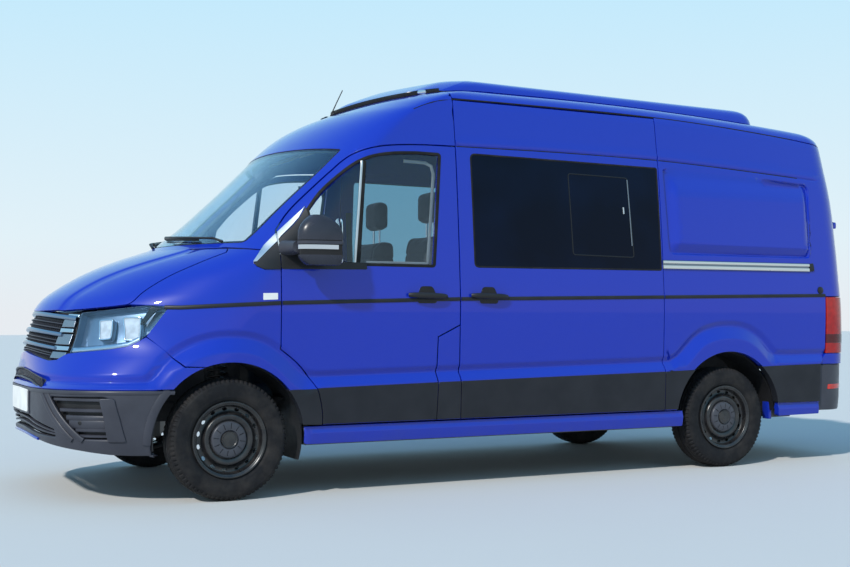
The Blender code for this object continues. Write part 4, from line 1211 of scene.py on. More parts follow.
@dataclass(frozen=True)
class TintedGlass(Finish):
    """Dark glass that shows nothing of the inside, with a faint ripple."""

    def draw(self, graph: Graph) -> None:
        """Smoky depth under a smooth surface."""
        lighter = tuple(c * 1.8 for c in self.base)
        graph.colour(graph.blend(graph.span(graph.noise(2.2, 2.0), 0.35, 0.65, 0.0, 1.0),
                                 self.base, lighter))
        graph.roughness(graph.span(graph.noise(5.0, 3.0), 0.4, 0.7, 0.020, 0.045))
        graph.bump(graph.noise(3.0, 1.0), 0.03, 0.002)
        graph.plain(Specular_IOR_Level=0.12)


@dataclass(frozen=True)
class LampLens(Finish):
    """Smooth coloured or clear lamp plastic with fine moulded ribs."""

    ribs: float = 0.0
    rib_way: tuple[float, float, float] = (0, 1, 0)

    def draw(self, graph: Graph) -> None:
        """Colour with a little depth, gloss and ribs."""
        deep = tuple(c * 0.72 for c in self.base)
        graph.colour(graph.blend(graph.span(graph.noise(26.0, 2.0), 0.35, 0.65, 0.0, 1.0),
                                 self.base, deep))
        graph.plain(Roughness=0.10, Specular_IOR_Level=0.35, Coat_Weight=0.25, Coat_Roughness=0.02)
        if self.ribs > 0:
            wave = graph.add("ShaderNodeTexWave", Scale=self.ribs)
            place = graph.add("ShaderNodeMapping", Scale=tuple(self.rib_way))
            graph.link(graph.place, place.inputs["Vector"])
            graph.link(place.outputs[0], wave.inputs["Vector"])
            graph.bump(wave.outputs["Fac"], 0.5, 0.002)


@dataclass(frozen=True)
class WovenCloth(Finish):
    """Woven seat cloth with a soft sheen."""

    thread: float = 620.0

    def draw(self, graph: Graph) -> None:
        """Two crossing thread waves over a mottled colour."""
        pale = tuple(c * 1.5 + 0.006 for c in self.base)
        graph.colour(graph.blend(graph.span(graph.noise(70.0, 4.0, 0.6), 0.35, 0.7, 0.0, 1.0),
                                 self.base, pale))
        warp = graph.noise(self.thread, 1.0, 0.5, (1.0, 0.25, 1.0))
        weft = graph.noise(self.thread, 1.0, 0.5, (0.25, 1.0, 0.25))
        both = graph.add("ShaderNodeMath", operation="ADD")
        graph.link(warp, both.inputs[0])
        graph.link(weft, both.inputs[1])
        graph.bump(both.outputs[0], 0.35, 0.0012)
        graph.plain(Roughness=0.92, Sheen_Weight=0.4, Sheen_Roughness=0.5)


PAINT = GlossPaint("royal_blue_paint", (0.004, 0.026, 0.420))
DARK_PLASTIC = MouldedPlastic("satin_grey_plastic", (0.040, 0.042, 0.056), rough=0.38)
MIRROR_PLASTIC = MouldedPlastic("mirror_cap_plastic", (0.026, 0.028, 0.040), rough=0.26, grain=0.05)
CLADDING = MouldedPlastic("grey_cladding_plastic", (0.012, 0.013, 0.018), rough=0.46)
CEILING = MouldedPlastic("dark_headlining", (0.022, 0.026, 0.040), rough=0.80, grain=0.30)
BLACK_PLASTIC = MouldedPlastic("black_trim_plastic", (0.014, 0.014, 0.016), rough=0.42)
GLOSS_BLACK = MouldedPlastic("gloss_black_plastic", (0.008, 0.008, 0.010), rough=0.16, grain=0.02)
CAB_PLASTIC = MouldedPlastic("cab_plastic", (0.060, 0.062, 0.068), rough=0.62)
LINING = MouldedPlastic("pale_lining_board", (0.240, 0.245, 0.250), rough=0.70, grain=0.30)
DARK_LINING = MouldedPlastic("dark_inner_panel", (0.020, 0.022, 0.030), rough=0.65)
SEAL = Rubber("seal_rubber", (0.010, 0.010, 0.011), most=0.15)
TYRE = Rubber("tyre_sidewall_rubber", (0.010, 0.010, 0.012), most=0.22)
TREAD = Rubber("tyre_tread_rubber", (0.050, 0.045, 0.041), dust=(0.170, 0.145, 0.122), most=0.8)
STEEL = PaintedSteel("black_wheel_steel", (0.007, 0.007, 0.009), rough=0.30)
CAST = PaintedSteel("rough_casting", (0.110, 0.108, 0.106), rust=0.14, rough=0.62)
UNDERSEAL = PaintedSteel("underbody_coating", (0.030, 0.031, 0.034), rust=0.05, rough=0.66)
CHROME = BrightMetal("bright_trim", (0.62, 0.65, 0.70), rough=0.12)
RAIL_METAL = BrightMetal("rail_alloy", (0.74, 0.71, 0.67), rough=0.30)
DIM_METAL = BrightMetal("dim_trim", (0.22, 0.24, 0.27), rough=0.30)
SILVER = BrightMetal("satin_silver_trim", (0.62, 0.62, 0.63), rough=0.30)
GRILLE_BAR = BrightMetal("grille_bar", (0.24, 0.31, 0.42), rough=0.16)
GRILLE_BLOCK = BrightMetal("satin_grille_block", (0.34, 0.35, 0.39), rough=0.28)
CLEAR_GLASS = WindowGlass("cab_window_glass", (0.80, 0.88, 0.96))
SCREEN_GLASS = WindowGlass("windscreen_glass", (0.78, 0.90, 1.00), mirror=0.06)
PRIVACY = TintedGlass("smoked_window_glass", (0.0006, 0.0030, 0.0120))
SMOKED = WindowGlass("lightly_smoked_glass", (0.70, 0.80, 0.90), tint=(0.42, 0.60, 0.68))
LAMP_GLASS = WindowGlass("headlamp_glass", (0.90, 0.95, 1.0), tint=(0.94, 0.97, 1.0))
LAMP_HOUSING = BrightMetal("lamp_housing", (0.20, 0.27, 0.36), rough=0.30)
MIRROR_GLASS = BrightMetal("mirror_glass", (0.86, 0.88, 0.90), rough=0.03)
CAP_PLASTIC = MouldedPlastic("wheel_cap_plastic", (0.050, 0.053, 0.066), rough=0.34, grain=0.06)
DISC = BrightMetal("brake_disc_iron", (0.36, 0.35, 0.34), rough=0.34, brushed=(30, 1, 30))
CLOTH = WovenCloth("seat_cloth", (0.042, 0.044, 0.050))
RED_LENS = LampLens("red_lamp_lens", (0.46, 0.010, 0.010), ribs=60.0, rib_way=(0, 0, 1))
DARK_RED_LENS = LampLens("dark_red_lens", (0.10, 0.005, 0.006), ribs=60.0, rib_way=(0, 0, 1))
WHITE_LENS = LampLens("clear_lamp_lens", (0.78, 0.80, 0.82), ribs=40.0)
REFLECTOR = LampLens("red_reflector", (0.80, 0.045, 0.030), ribs=90.0, rib_way=(0, 1, 1))
PLATE_WHITE = MouldedPlastic("blank_white_plate", (0.80, 0.80, 0.78), rough=0.35, grain=0.03)
PLATE_YELLOW = MouldedPlastic("blank_yellow_plate", (0.80, 0.60, 0.06), rough=0.35, grain=0.03)


def dress(obj: bpy.types.Object, slot: str, *finishes: Finish, body: str = "body",
          replaces: Sequence[str] = ()) -> bpy.types.Object:
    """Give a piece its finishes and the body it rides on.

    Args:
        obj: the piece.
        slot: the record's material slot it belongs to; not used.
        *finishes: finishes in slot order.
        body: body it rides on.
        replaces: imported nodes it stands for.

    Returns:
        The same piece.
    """
    obj.data.materials.clear()
    for finish in finishes:
        obj.data.materials.append(finish.material())
    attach(obj, body)
    if replaces:
        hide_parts(*replaces)
    LOG.info("%s rides on %s", obj.name, body)
    return obj


# ------------------------------------------------------------------ body sides and doors
DOOR_ARCH = curve([(1.440, 0.420), (1.443, 0.500), (1.464, 0.600), (1.487, 0.653), (1.522, 0.704),
                   (1.585, 0.774), (1.640, 0.822), (1.700, 0.868)], 3)
DOOR_TOP = curve([(1.700, 1.574), (1.640, 1.656), (1.573, 1.731), (1.452, 1.846), (1.329, 1.958),
                  (1.267, 2.012), (1.209, 2.052), (1.140, 2.082), (1.050, 2.106), (0.920, 2.124),
                  (0.744, 2.135), (0.510, 2.140)], 4)
CLAD_TOP = curve([(1.480, 0.640), (0.680, 0.657), (-0.227, 0.674), (-1.080, 0.688),
                  (-1.180, 0.692), (-2.100, 0.712), (-2.500, 0.719)], 4)
CLAD_FOOT = 0.424
CLAD_LAP = 0.006  # how far the cladding reaches into the wheel arches
SILL_Z = 0.420  # lower edge of doors and sides


def clad_line(start: float, stop: float) -> list[Point2]:
    """Top line of the cladding between two places, front to back."""
    line = np.array(CLAD_TOP)[::-1]
    inner = [p for p in CLAD_TOP if stop < p[0] < start]
    ends = [(x, float(np.interp(x, line[:, 0], line[:, 1]))) for x in (start, stop)]
    return [ends[0], *inner, ends[1]]


def arch_line(axle_x: float, radius: float, low: float, high: float,
              steps: int = 26) -> list[Point2]:
    """Wheel-arch edge between two angles in degrees from the front."""
    turn = np.radians(np.linspace(low, high, steps))
    return [(axle_x + radius * math.cos(a), AXLE_Z + radius * math.sin(a)) for a in turn]


def arch_angle(radius: float, z: float, ahead: bool) -> float:
    """Angle in degrees at which a wheel arch reaches a height."""
    up = math.degrees(math.asin((z - AXLE_Z) / radius))
    return up if ahead else 180.0 - up


@dataclass
class BodySides:
    """Doors, sliding door, fixed sides, their glass, cladding, mouldings and handles."""

    cut_x: float = 0.680
    cut_top: float = 0.934
    flap_top: float = 1.008
    moulding: tuple[Point2, ...] = ((2.330, 1.108), (2.000, 1.126), (1.700, 1.140),
                                    (0.510, 1.171), (-1.080, 1.195), (-2.560, 1.218))
    window: tuple[tuple[float, float, float], ...] = (
        (0.400, 1.375, 0.030), (0.405, 2.097, 0.035), (-1.062, 2.084, 0.012),
        (-1.062, 1.380, 0.012))
    door_glass: tuple[tuple[float, ...], ...] = (
        (1.500, 1.376, 0.02), (1.514, 1.700), (1.430, 1.808), (1.308, 1.919), (1.190, 2.004),
        (1.075, 2.048), (0.940, 2.072), (0.790, 2.082), (0.626, 2.081, 0.016),
        (0.690, 1.374, 0.016))

    def build(self) -> None:
        """Make both sides."""
        for label, side in SIDES:
            self._front_door(label, side)
            self._cladding(label, side)
            self._mouldings(label, side)
        self._fuel_flap()
        self._sliding_door()
        self._fixed_sides()

    def _door_outline(self, flap: bool) -> list[Point2]:
        """Outline of a front door, with the flap's corner taken out where it has one."""
        low = [(self.cut_x, SILL_Z), (self.cut_x - 0.016, self.cut_top),
               (B_LINE_X, self.flap_top)] if flap else [(B_LINE_X, SILL_Z)]
        return [*DOOR_ARCH, *DOOR_TOP, *low[::-1]]

    def _glass_line(self) -> list[Point2]:
        """Front window opening."""
        return rounded([*self.door_glass[:2], *curve([p[:2] for p in self.door_glass[1:8]], 3)[1:],
                        *self.door_glass[8:]])

    def _front_door(self, label: str, side: int) -> None:
        """Door skin, glass, seals, divider, corner piece and handle."""
        body = f"front_door_{label}"
        hole = self._glass_line()
        Panel(f"door_skin_{label}", self._door_outline(True), side_surface(), holes=[hole],
              seeds=RELIEF.seeds(False), inset=GAP, thickness=0.050).add(
            "paint", PAINT, DARK_LINING, body=body, replaces=[f"front_door_{label}"], side=side)
        Panel(f"door_pane_{label}", hole, flush_side(-0.007), thickness=0.0045, roll=0.001,
              inset=0.002, spacing=0.09).add(
            "clear_glass", CLEAR_GLASS, body=body, replaces=[f"door_glass_{label}"], side=side)
        Strip(f"door_seal_{label}", hole, flush_side(-0.001), 0.019, 0.0025, closed=True,
              depth=0.006).add("rubber", SEAL, body=body, side=side)
        Strip(f"glass_divider_{label}", [(1.228, 1.386), (1.163, 2.010)], flush_side(-0.004),
              0.015, 0.006, depth=0.004).add("plastic", SILVER, body=body, side=side)
        Strip(f"divider_seal_{label}", [(1.206, 1.386), (1.148, 2.012)], flush_side(-0.005), 0.028,
              0.004, depth=0.003).add("rubber", SEAL, body=body, side=side)
        Strip(f"glass_lining_{label}", [(1.140, 1.392), (0.715, 1.392), (0.655, 1.960),
                                        (0.668, 2.010), (0.710, 2.030), (0.860, 2.034)],
              flush_side(-0.044), 0.020, 0.004, depth=0.004).add(
            "lining", LINING, body=body, side=side)
        self._corner(label, side)
        self._handle(f"door_handle_{label}", body, side, 0.745)

    def _corner(self, label: str, side: int) -> None:
        """Black corner pieces and their silver edge, on the door and on the pillar ahead."""
        pieces = (
            ("mirror_base", f"front_door_{label}", BLACK_PLASTIC, 0.0035, [
                (1.6965, 1.338, 0.006), (1.6965, 1.516), (1.610, 1.597), (1.566, 1.646),
                (1.520, 1.716, 0.004), (1.510, 1.650), (1.512, 1.440, 0.02), (1.480, 1.390, 0.02),
                (1.150, 1.386), (1.150, 1.345, 0.008)]),
            ("corner_trim", f"front_door_{label}", SILVER, 0.0045, [
                (1.6965, 1.517), (1.6965, 1.559), (1.660, 1.593), (1.521, 1.721),
                (1.567, 1.648), (1.611, 1.599)]),
            ("pillar_foot", "body", BLACK_PLASTIC, 0.0070, [
                (1.7035, 1.336, 0.006), (1.800, 1.334, 0.02), (1.842, 1.352, 0.01),
                (1.858, 1.372), (1.836, 1.377), (1.780, 1.430), (1.7035, 1.500)]),
            ("pillar_trim", "body", SILVER, 0.0075, [
                (1.7035, 1.501), (1.780, 1.431), (1.837, 1.378), (1.861, 1.376, 0.004),
                (1.780, 1.477), (1.7035, 1.552)]))
        for name, body, finish, raised, points in pieces:
            Panel(f"{name}_{label}", rounded(points), flush_side(raised), thickness=0.012,
                  roll=0.0025, spacing=0.05).add("plastic", finish, body=body, side=side)

    def _handle(self, name: str, body: str, side: int, x: float) -> None:
        """Pull handle over its dished recess."""
        z = 1.187
        dish = rounded([(x + 0.066, z + 0.004, 0.02), (x + 0.045, z + 0.062, 0.03),
                        (x - 0.040, z + 0.062, 0.03), (x - 0.066, z + 0.004, 0.02),
                        (x - 0.070, z - 0.045, 0.03), (x + 0.070, z - 0.045, 0.03)], 4)
        Panel(f"{name}_cup", dish, flush_side(0.0012), thickness=0.010, roll=0.002,
              spacing=0.03).add(
            "plastic", GLOSS_BLACK, body=body, side=side)
        spots = np.linspace(-1, 1, 17)
        path = []
        for t in spots:
            px = x - t * 0.132
            lift = 0.010 + 0.026 * (1 - t * t) ** 0.6
            py = FORM.out(px, z)
            path.append((px, (py + lift) * side, z + 0.003 - 0.004 * t))
        size = 0.0135 * (1 - 0.35 * spots ** 4)
        dress(tube(name, np.array(path), size, 14, flat=1.35), "plastic", BLACK_PLASTIC, body=body)

    def _fuel_flap(self) -> None:
        """Filler flap behind the lower corner of the left door; the right has a fixed panel."""
        outline = [(self.cut_x, SILL_Z), (self.cut_x - 0.016, self.cut_top),
                   (B_LINE_X, self.flap_top), (B_LINE_X, SILL_Z)]
        for label, side in SIDES:
            panel = Panel(f"flap_skin_{label}", outline, side_surface(),
                          seeds=RELIEF.seeds(False), inset=GAP, thickness=0.010, spacing=0.03)
            if side > 0:
                panel.add("paint", PAINT, DARK_LINING, body="fuel_flap", replaces=["fuel_flap"],
                          side=side)
            else:
                panel.thickness = 0.040
                panel.add("paint", PAINT, DARK_LINING, body="front_door_right", side=side)

    def _cladding(self, label: str, side: int) -> None:
        """Lower cladding panel by panel, standing proud of the ledge."""
        proud = side_surface(0.0035)
        arch_front = [p for p in DOOR_ARCH if p[1] < 0.640]
        pieces = [("door", f"front_door_{label}",
                   [(1.440, CLAD_FOOT), *arch_front[1:], *clad_line(1.478, self.cut_x - 0.010),
                    (self.cut_x, CLAD_FOOT)]),
                  ("flap", "fuel_flap" if side > 0 else "front_door_right",
                   [(self.cut_x, CLAD_FOOT), *clad_line(self.cut_x - 0.010, B_LINE_X),
                    (B_LINE_X, CLAD_FOOT)]),
                  ("wing", "body", self._wing_clad()),
                  ("slide", "body", [(B_LINE_X, CLAD_FOOT), *clad_line(B_LINE_X, C_LINE_X),
                                     (C_LINE_X, CLAD_FOOT)]),
                  ("arch", "body", self._arch_clad()),
                  ("tail", "body", self._tail_clad())]
        for name, body, outline in pieces:
            Panel(f"cladding_{name}_{label}", outline, proud, seeds=[np.array(CLAD_TOP) - (0, k)
                                                                     for k in (0.01, 0.03)],
                  inset=GAP * 0.6, roll=0.0035, spacing=0.06, thickness=0.058
                  if name in ("wing", "arch", "tail") else 0.010).add(
                "plastic", CLADDING, body=body, side=side)

    def _wing_clad(self) -> list[Point2]:
        """Cladding on the foot of the front wing, between arch and door."""
        radius = FRONT_ARCH - CLAD_LAP
        low, high = (arch_angle(radius, z, False) for z in (CLAD_FOOT, 0.634))
        arch = arch_line(FRONT_AXLE_X, radius, high, low, 12)
        door = [p for p in DOOR_ARCH if p[1] < 0.640]
        return [*arch, *door]

    def _arch_clad(self) -> list[Point2]:
        """Cladding ahead of the rear arch."""
        radius = REAR_ARCH - CLAD_LAP
        low, high = (arch_angle(radius, z, True) for z in (CLAD_FOOT, 0.694))
        arch = arch_line(REAR_AXLE_X, radius, high, low, 12)
        return [(C_LINE_X, CLAD_FOOT), *clad_line(C_LINE_X, arch[0][0] + 0.004), *arch]

    def _tail_clad(self) -> list[Point2]:
        """Cladding behind the rear arch."""
        radius = REAR_ARCH - CLAD_LAP
        low, high = (arch_angle(radius, z, False) for z in (0.440, 0.708))
        arch = arch_line(REAR_AXLE_X, radius, low, high, 12)
        return [*arch, *clad_line(arch[-1][0] - 0.004, -2.494), (-2.494, 0.440)]

    def _mouldings(self, label: str, side: int) -> None:
        """Belt moulding in four lengths, and the seam seals of the high roof."""
        line = np.array(self.moulding)[::-1]
        spans = [("wing", "body", 2.300, FRONT_SHUT_X), ("door", f"front_door_{label}",
                 FRONT_SHUT_X, B_LINE_X), ("slide", "body", B_LINE_X, C_LINE_X),
                 ("rear", "body", C_LINE_X, -2.560)]
        for name, body, start, stop in spans:
            xs = np.linspace(start - 0.005, stop + 0.005, 24)
            path = list(zip(xs, np.interp(xs, line[:, 0], line[:, 1])))
            if name == "wing":
                path[0] = (2.350, 1.1125)
            Strip(f"moulding_{name}_{label}", path, side_surface(), 0.023, 0.0065).add(
                "plastic", BLACK_PLASTIC, body=body, side=side)
        seam = np.array(SideRelief.SEAM)[::-1]
        for name, start, stop in (("slide", B_LINE_X, C_LINE_X), ("rear", C_LINE_X, -2.36)):
            xs = np.linspace(start - 0.006, stop + 0.006, 30)
            path = list(zip(xs, np.interp(xs, seam[:, 0], seam[:, 1])))
            Strip(f"seam_seal_{name}_{label}", path, flush_side(-0.004), 0.0075, 0.001,
                  depth=0.003).add("rubber", SEAL, side=side)

    def _slide_outline(self) -> list[Point2]:
        """Outline of the sliding door."""
        return [(B_LINE_X, SILL_Z), (B_LINE_X, 2.4445), (C_LINE_X, 2.4395), (C_LINE_X, SILL_Z)]

    def _side_window(self, name: str, body: str, side: int, node: str) -> None:
        """Black flush window with its sliding pane, frame and latch."""
        outline = rounded(self.window)
        Panel(f"{name}_pane", outline, flush_side(-0.0015), thickness=0.006, roll=0.001,
              inset=0.002, spacing=0.10).add("privacy_glass", PRIVACY if side > 0 else SMOKED,
                                             body=body, replaces=[node], side=side)
        Strip(f"{name}_seal", outline, flush_side(-0.001), 0.011, 0.002, closed=True,
              depth=0.006).add(
            "rubber", SEAL, body=body, side=side)
        slider = rounded([(-0.345, 1.470, 0.02), (-0.330, 2.010, 0.02), (-0.806, 2.003, 0.02),
                          (-0.836, 1.462, 0.02)])
        Strip(f"{name}_slider_frame", slider, flush_side(-0.0012), 0.007, 0.0018, closed=True).add(
            "plastic", GLOSS_BLACK, body=body, side=side)
        Strip(f"{name}_slider_edge", [(-0.822, 1.540), (-0.806, 1.990)], flush_side(0.001), 0.0085,
              0.004).add("plastic", DIM_METAL, body=body, side=side)
        Strip(f"{name}_latch", [(-0.765, 1.755), (-0.763, 1.800)], flush_side(), 0.011, 0.007,
              edge=0.5).add("plastic", SILVER, body=body, side=side)

    def _sliding_door(self) -> None:
        """Sliding door skin and its window on the left."""
        Panel("sliding_door_skin", self._slide_outline(), side_surface(),
              holes=[rounded(self.window)], seeds=RELIEF.seeds(False), inset=GAP,
              thickness=0.050).add(
            "paint", PAINT, DARK_LINING, replaces=["sliding_door"])
        self._side_window("sliding_window", "body", 1, "sliding_door_window")
        self._handle("sliding_handle", "body", 1, 0.305)

    def _fixed_sides(self) -> None:
        """Left side behind the sliding door and right side behind the front door."""
        for label, side in SIDES:
            front = C_LINE_X if side > 0 else B_LINE_X
            arch = arch_line(REAR_AXLE_X, REAR_ARCH, arch_angle(REAR_ARCH, SILL_Z, True),
                             arch_angle(REAR_ARCH, 0.352, False) + 0.5, 40)
            gutter = curve([(B_LINE_X, 2.4525), (-0.300, 2.4525), (-1.080, 2.4455),
                            (-1.500, 2.4300), (-1.900, 2.4060), (-2.300, 2.3750),
                            (-2.450, 2.3600), (-2.600, 2.3430), (-2.690, 2.3320)], 4)
            top = [p for p in gutter if p[0] < front - 0.01]
            outline = [(front, SILL_Z), *arch, (-2.494, 0.352), (-2.494, 0.714), (-2.562, 0.788),
                       (-2.562, 1.210), *SIDE_BACK, *top[::-1],
                       (front, 2.4525 if side < 0 else 2.4455)]
            holes = [] if side > 0 else [rounded(self.window)]
            Panel(f"side_skin_{label}", outline, side_surface(blind=True), holes=holes,
                  seeds=RELIEF.seeds(True), inset=GAP * 0.5, thickness=0.048).add(
                "paint", PAINT, DARK_LINING, replaces=[f"side_{label}"], side=side)
            self._rear_side_trim(label, side)
        self._side_window("right_window", "body", -1, "side_window_right")

    def _rear_side_trim(self, label: str, side: int) -> None:
        """Door rail and its black end on the left, and a round plug on both sides."""
        if side > 0:
            for name, shift, wide, proud, finish in (
                    ("slide_rail", 0.0, 0.062, 0.008, DIM_METAL),
                    ("slide_rail_upper", 0.0170, 0.019, 0.0135, RAIL_METAL),
                    ("slide_rail_lower", -0.0165, 0.024, 0.0125, RAIL_METAL)):
                path = [(-1.072, 1.4180 + shift), (-2.405, 1.4195 + shift)]
                Strip(name, path, side_surface(), wide, proud, edge=0.12).add(
                    "plastic", finish, side=side)
            Strip("slide_rail_end", [(-2.407, 1.4195), (-2.446, 1.4235)], side_surface(), 0.058,
                  0.014, edge=0.3).add("plastic", BLACK_PLASTIC, side=side)
        x, z = -2.510, 1.255
        y = FORM.out(x, z)
        disc = revolved(f"side_plug_{label}", [(-0.004, 0.0), (-0.004, 0.027), (0.005, 0.026),
                                               (0.010, 0.018), (0.012, 0.0)], 32, centre=(x, y, z))
        if side < 0:
            mirror(disc.data)
        dress(disc, "plastic", BLACK_PLASTIC)


# ------------------------------------------------------------------ front of the body
AHEAD = (1.0, 0.0, 0.2)  # outward side of the bumper
UP_AHEAD = (1.0, 0.0, 0.4)  # outward side of bonnet and windscreen
SEAM_Z = 0.770  # where the seam of bumper and wing meets the arch


def both(points: Outline) -> list[Point2]:
    """Closed outline from its left half, mirrored about the centre line."""
    half = list(points)
    return half + [(-a, b) for a, b in reversed(half) if a > 1e-6]


def front(points: Outline, side: int = 1) -> list[Point2]:
    """Front-view points (y, z) laid on the nose."""
    return [(a * side, b) for a, b in FORM.unwrap_front(points)]


def front_panel(name: str, outline: Outline, raised: float = 0.0, **rest: Any) -> Panel:
    """Panel on the nose, raised from it; the rest goes to the panel."""
    return Panel(name, outline, nose_surface(raised), AHEAD, **rest)


def front_strip(name: str, path: Outline, raised: float, width: float, height: float,
                **rest: Any) -> Strip:
    """Strip on the nose, raised from it; the rest goes to the strip."""
    return Strip(name, path, nose_surface(raised), width, height, AHEAD, **rest)


def bow(y: np.ndarray) -> np.ndarray:
    """Share of the grille bars' sag at a distance from the centre line."""
    return (np.abs(y) / 0.44) ** 1.6


def skirt(points: np.ndarray) -> np.ndarray:
    """Side relief carried round the nose."""
    return RELIEF.ledge(points[:, 0], points[:, 2])


def crease(x: np.ndarray) -> np.ndarray:
    """Distance of the bonnet's creases from the centre line at a station."""
    return 0.345 + 0.215 * ramp(x, 2.80, 2.05)


def bonnet_crown(points: np.ndarray) -> np.ndarray:
    """Raised middle of the bonnet between its two creases, and a dip beside them."""
    x, y, _ = points.T
    gap = crease(x) - np.abs(y)
    return 0.007 * ramp(gap, -0.012, 0.014) - 0.003 * np.exp(-((gap + 0.035) / 0.03) ** 2)


@dataclass
class FrontEnd:
    """Windscreen frame, windscreen, bonnet, front wings and wipers."""

    bonnet_edge: tuple[Point2, ...] = (
        (2.720, 1.105), (2.560, 1.125), (2.510, 1.142), (2.450, 1.198), (2.363, 1.258),
        (2.258, 1.317), (2.098, 1.390), (1.975, 1.440))
    lamp_edge: tuple[Point2, ...] = ((2.330, 1.117), (2.452, 0.946))
    screen: tuple[tuple[float, ...], ...] = (
        (0.0, 2.123), (0.226, 2.121), (0.457, 2.114), (0.594, 2.108), (0.709, 2.100),
        (0.826, 2.087, 0.015), (0.828, 1.970), (0.820, 1.800), (0.814, 1.660),
        (0.823, 1.500, 0.02), (0.0, 1.500))
    liner: float = 0.452

    def build(self) -> None:
        """Make every piece."""
        self._frame()
        self._screen()
        self._bonnet()
        for label, side in SIDES:
            self._wing(label, side)
        self._wipers()

    def _screen_line(self, grow: float = 0.0) -> list[Point2]:
        """Windscreen outline over (s, run), made larger by a distance."""
        loop = resampled(both(front(rounded(self.screen)[:-1])), 0.03)
        loop = loop if signed_area(loop) > 0 else loop[::-1]
        return [tuple(p) for p in offset(loop, -grow)] if grow else [tuple(p) for p in loop]

    def _frame(self) -> None:
        """Cowl corners, pillars, header and the panels over the front doors."""
        door = [(x, z + 0.0035) for x, z in DOOR_TOP]
        side = [(1.962, 1.472), (1.880, 1.464), (1.800, 1.456), (1.745, 1.398), (1.7045, 1.364),
                (1.7035, 1.400), *door, (B_LINE_X, 2.180), (B_LINE_X, 2.300), (B_LINE_X, 2.400)]
        left = FORM.unwrap_side(side)
        ys = np.linspace(0.885, 0.0, 30)
        xs = np.full_like(ys, B_LINE_X)
        top = FORM.unwrap_side(list(zip(xs, FORM.roof(xs, ys))))
        cowl = [(t, FORM.run(np.array([COWL_Z + 0.004]))[0])
                for t in np.linspace(0.0, left[0][0], 12)[:-1]]
        outline = both([*cowl, *left, *top[:-1], (0.0, top[-1][1])])
        Panel("windscreen_frame_skin", outline, nose_surface(), UP_AHEAD,
              holes=[self._screen_line(0.004)], inset=GAP * 0.4, thickness=0.040,
              spacing=0.05).add(
            "paint", PAINT, CEILING, replaces=["windscreen_frame"])

    def _screen(self) -> None:
        """Windscreen with its black border and its seal."""
        line = self._screen_line()
        Panel("windscreen_pane", line, nose_surface(-0.002), UP_AHEAD, thickness=0.0055,
              roll=0.001, inset=0.001, spacing=0.07).add(
            "clear_glass", SCREEN_GLASS, replaces=["windscreen"])
        loop = np.array(line)
        Panel("windscreen_border", line, nose_surface(-0.009), UP_AHEAD,
              holes=[[tuple(p) for p in offset(loop, 0.030)]], thickness=0.003, roll=0.0006,
              inset=0.002, spacing=0.05).add("plastic", GLOSS_BLACK)
        Strip("windscreen_seal", [tuple(p) for p in offset(loop, -0.001)], nose_surface(-0.002),
              0.007, 0.0015, UP_AHEAD, closed=True).add("rubber", SEAL)

    def _bonnet(self) -> None:
        """Bonnet with its two long creases."""
        edge = curve(self.bonnet_edge, 4)
        zs = np.linspace(1.088, 1.104, 7)[:-1]
        reach = FORM.at(zs)[0]
        xs = np.linspace(0.0, 1.0, 7)[:-1]
        start = [(float(r - (r - 2.72) * t), float(z)) for r, z, t in zip(reach, zs, xs)]
        left = FORM.unwrap_side([*start, *edge, (1.957, COWL_Z - 0.004)])
        left = [(max(s, 0.0), m) for s, m in left]
        left[0] = (0.0, left[0][1])
        back = FORM.run(np.array([COWL_Z - 0.003]))[0]
        cowl = [(t, back) for t in np.linspace(left[-1][0], 0.0, 14)[1:]]
        seeds = []
        for shift in (-0.06, -0.03, -0.012, 0.0, 0.014, 0.03):
            x = np.linspace(2.84, 1.99, 30)
            y = crease(x) - shift
            z = self._heights(x, y)
            line = np.array(FORM.unwrap_front(list(zip(y, z))))
            seeds += [line, line * (-1, 1)]
        Panel("bonnet_skin", both([*left, *cowl]), nose_surface(0.0, bonnet_crown), (1, 0, 0.8),
              seeds=seeds, inset=GAP * 0.6, thickness=0.022, spacing=0.05).add(
            "paint", PAINT, DARK_LINING, body="bonnet", replaces=["bonnet"])
        Strip("bonnet_rear_seal", [(t, back + 0.006) for t in np.linspace(-1.17, 1.17, 40)],
              nose_surface(-0.008), 0.016, 0.002, UP_AHEAD).add("rubber", SEAL)

    @staticmethod
    def _heights(x: np.ndarray, y: np.ndarray) -> np.ndarray:
        """Height of the nose at places in plan, ahead of the windscreen."""
        return halved(lambda z: FORM.nose(y, z) > x, np.full_like(x, 0.95),
                      np.full_like(x, 1.52), 24)

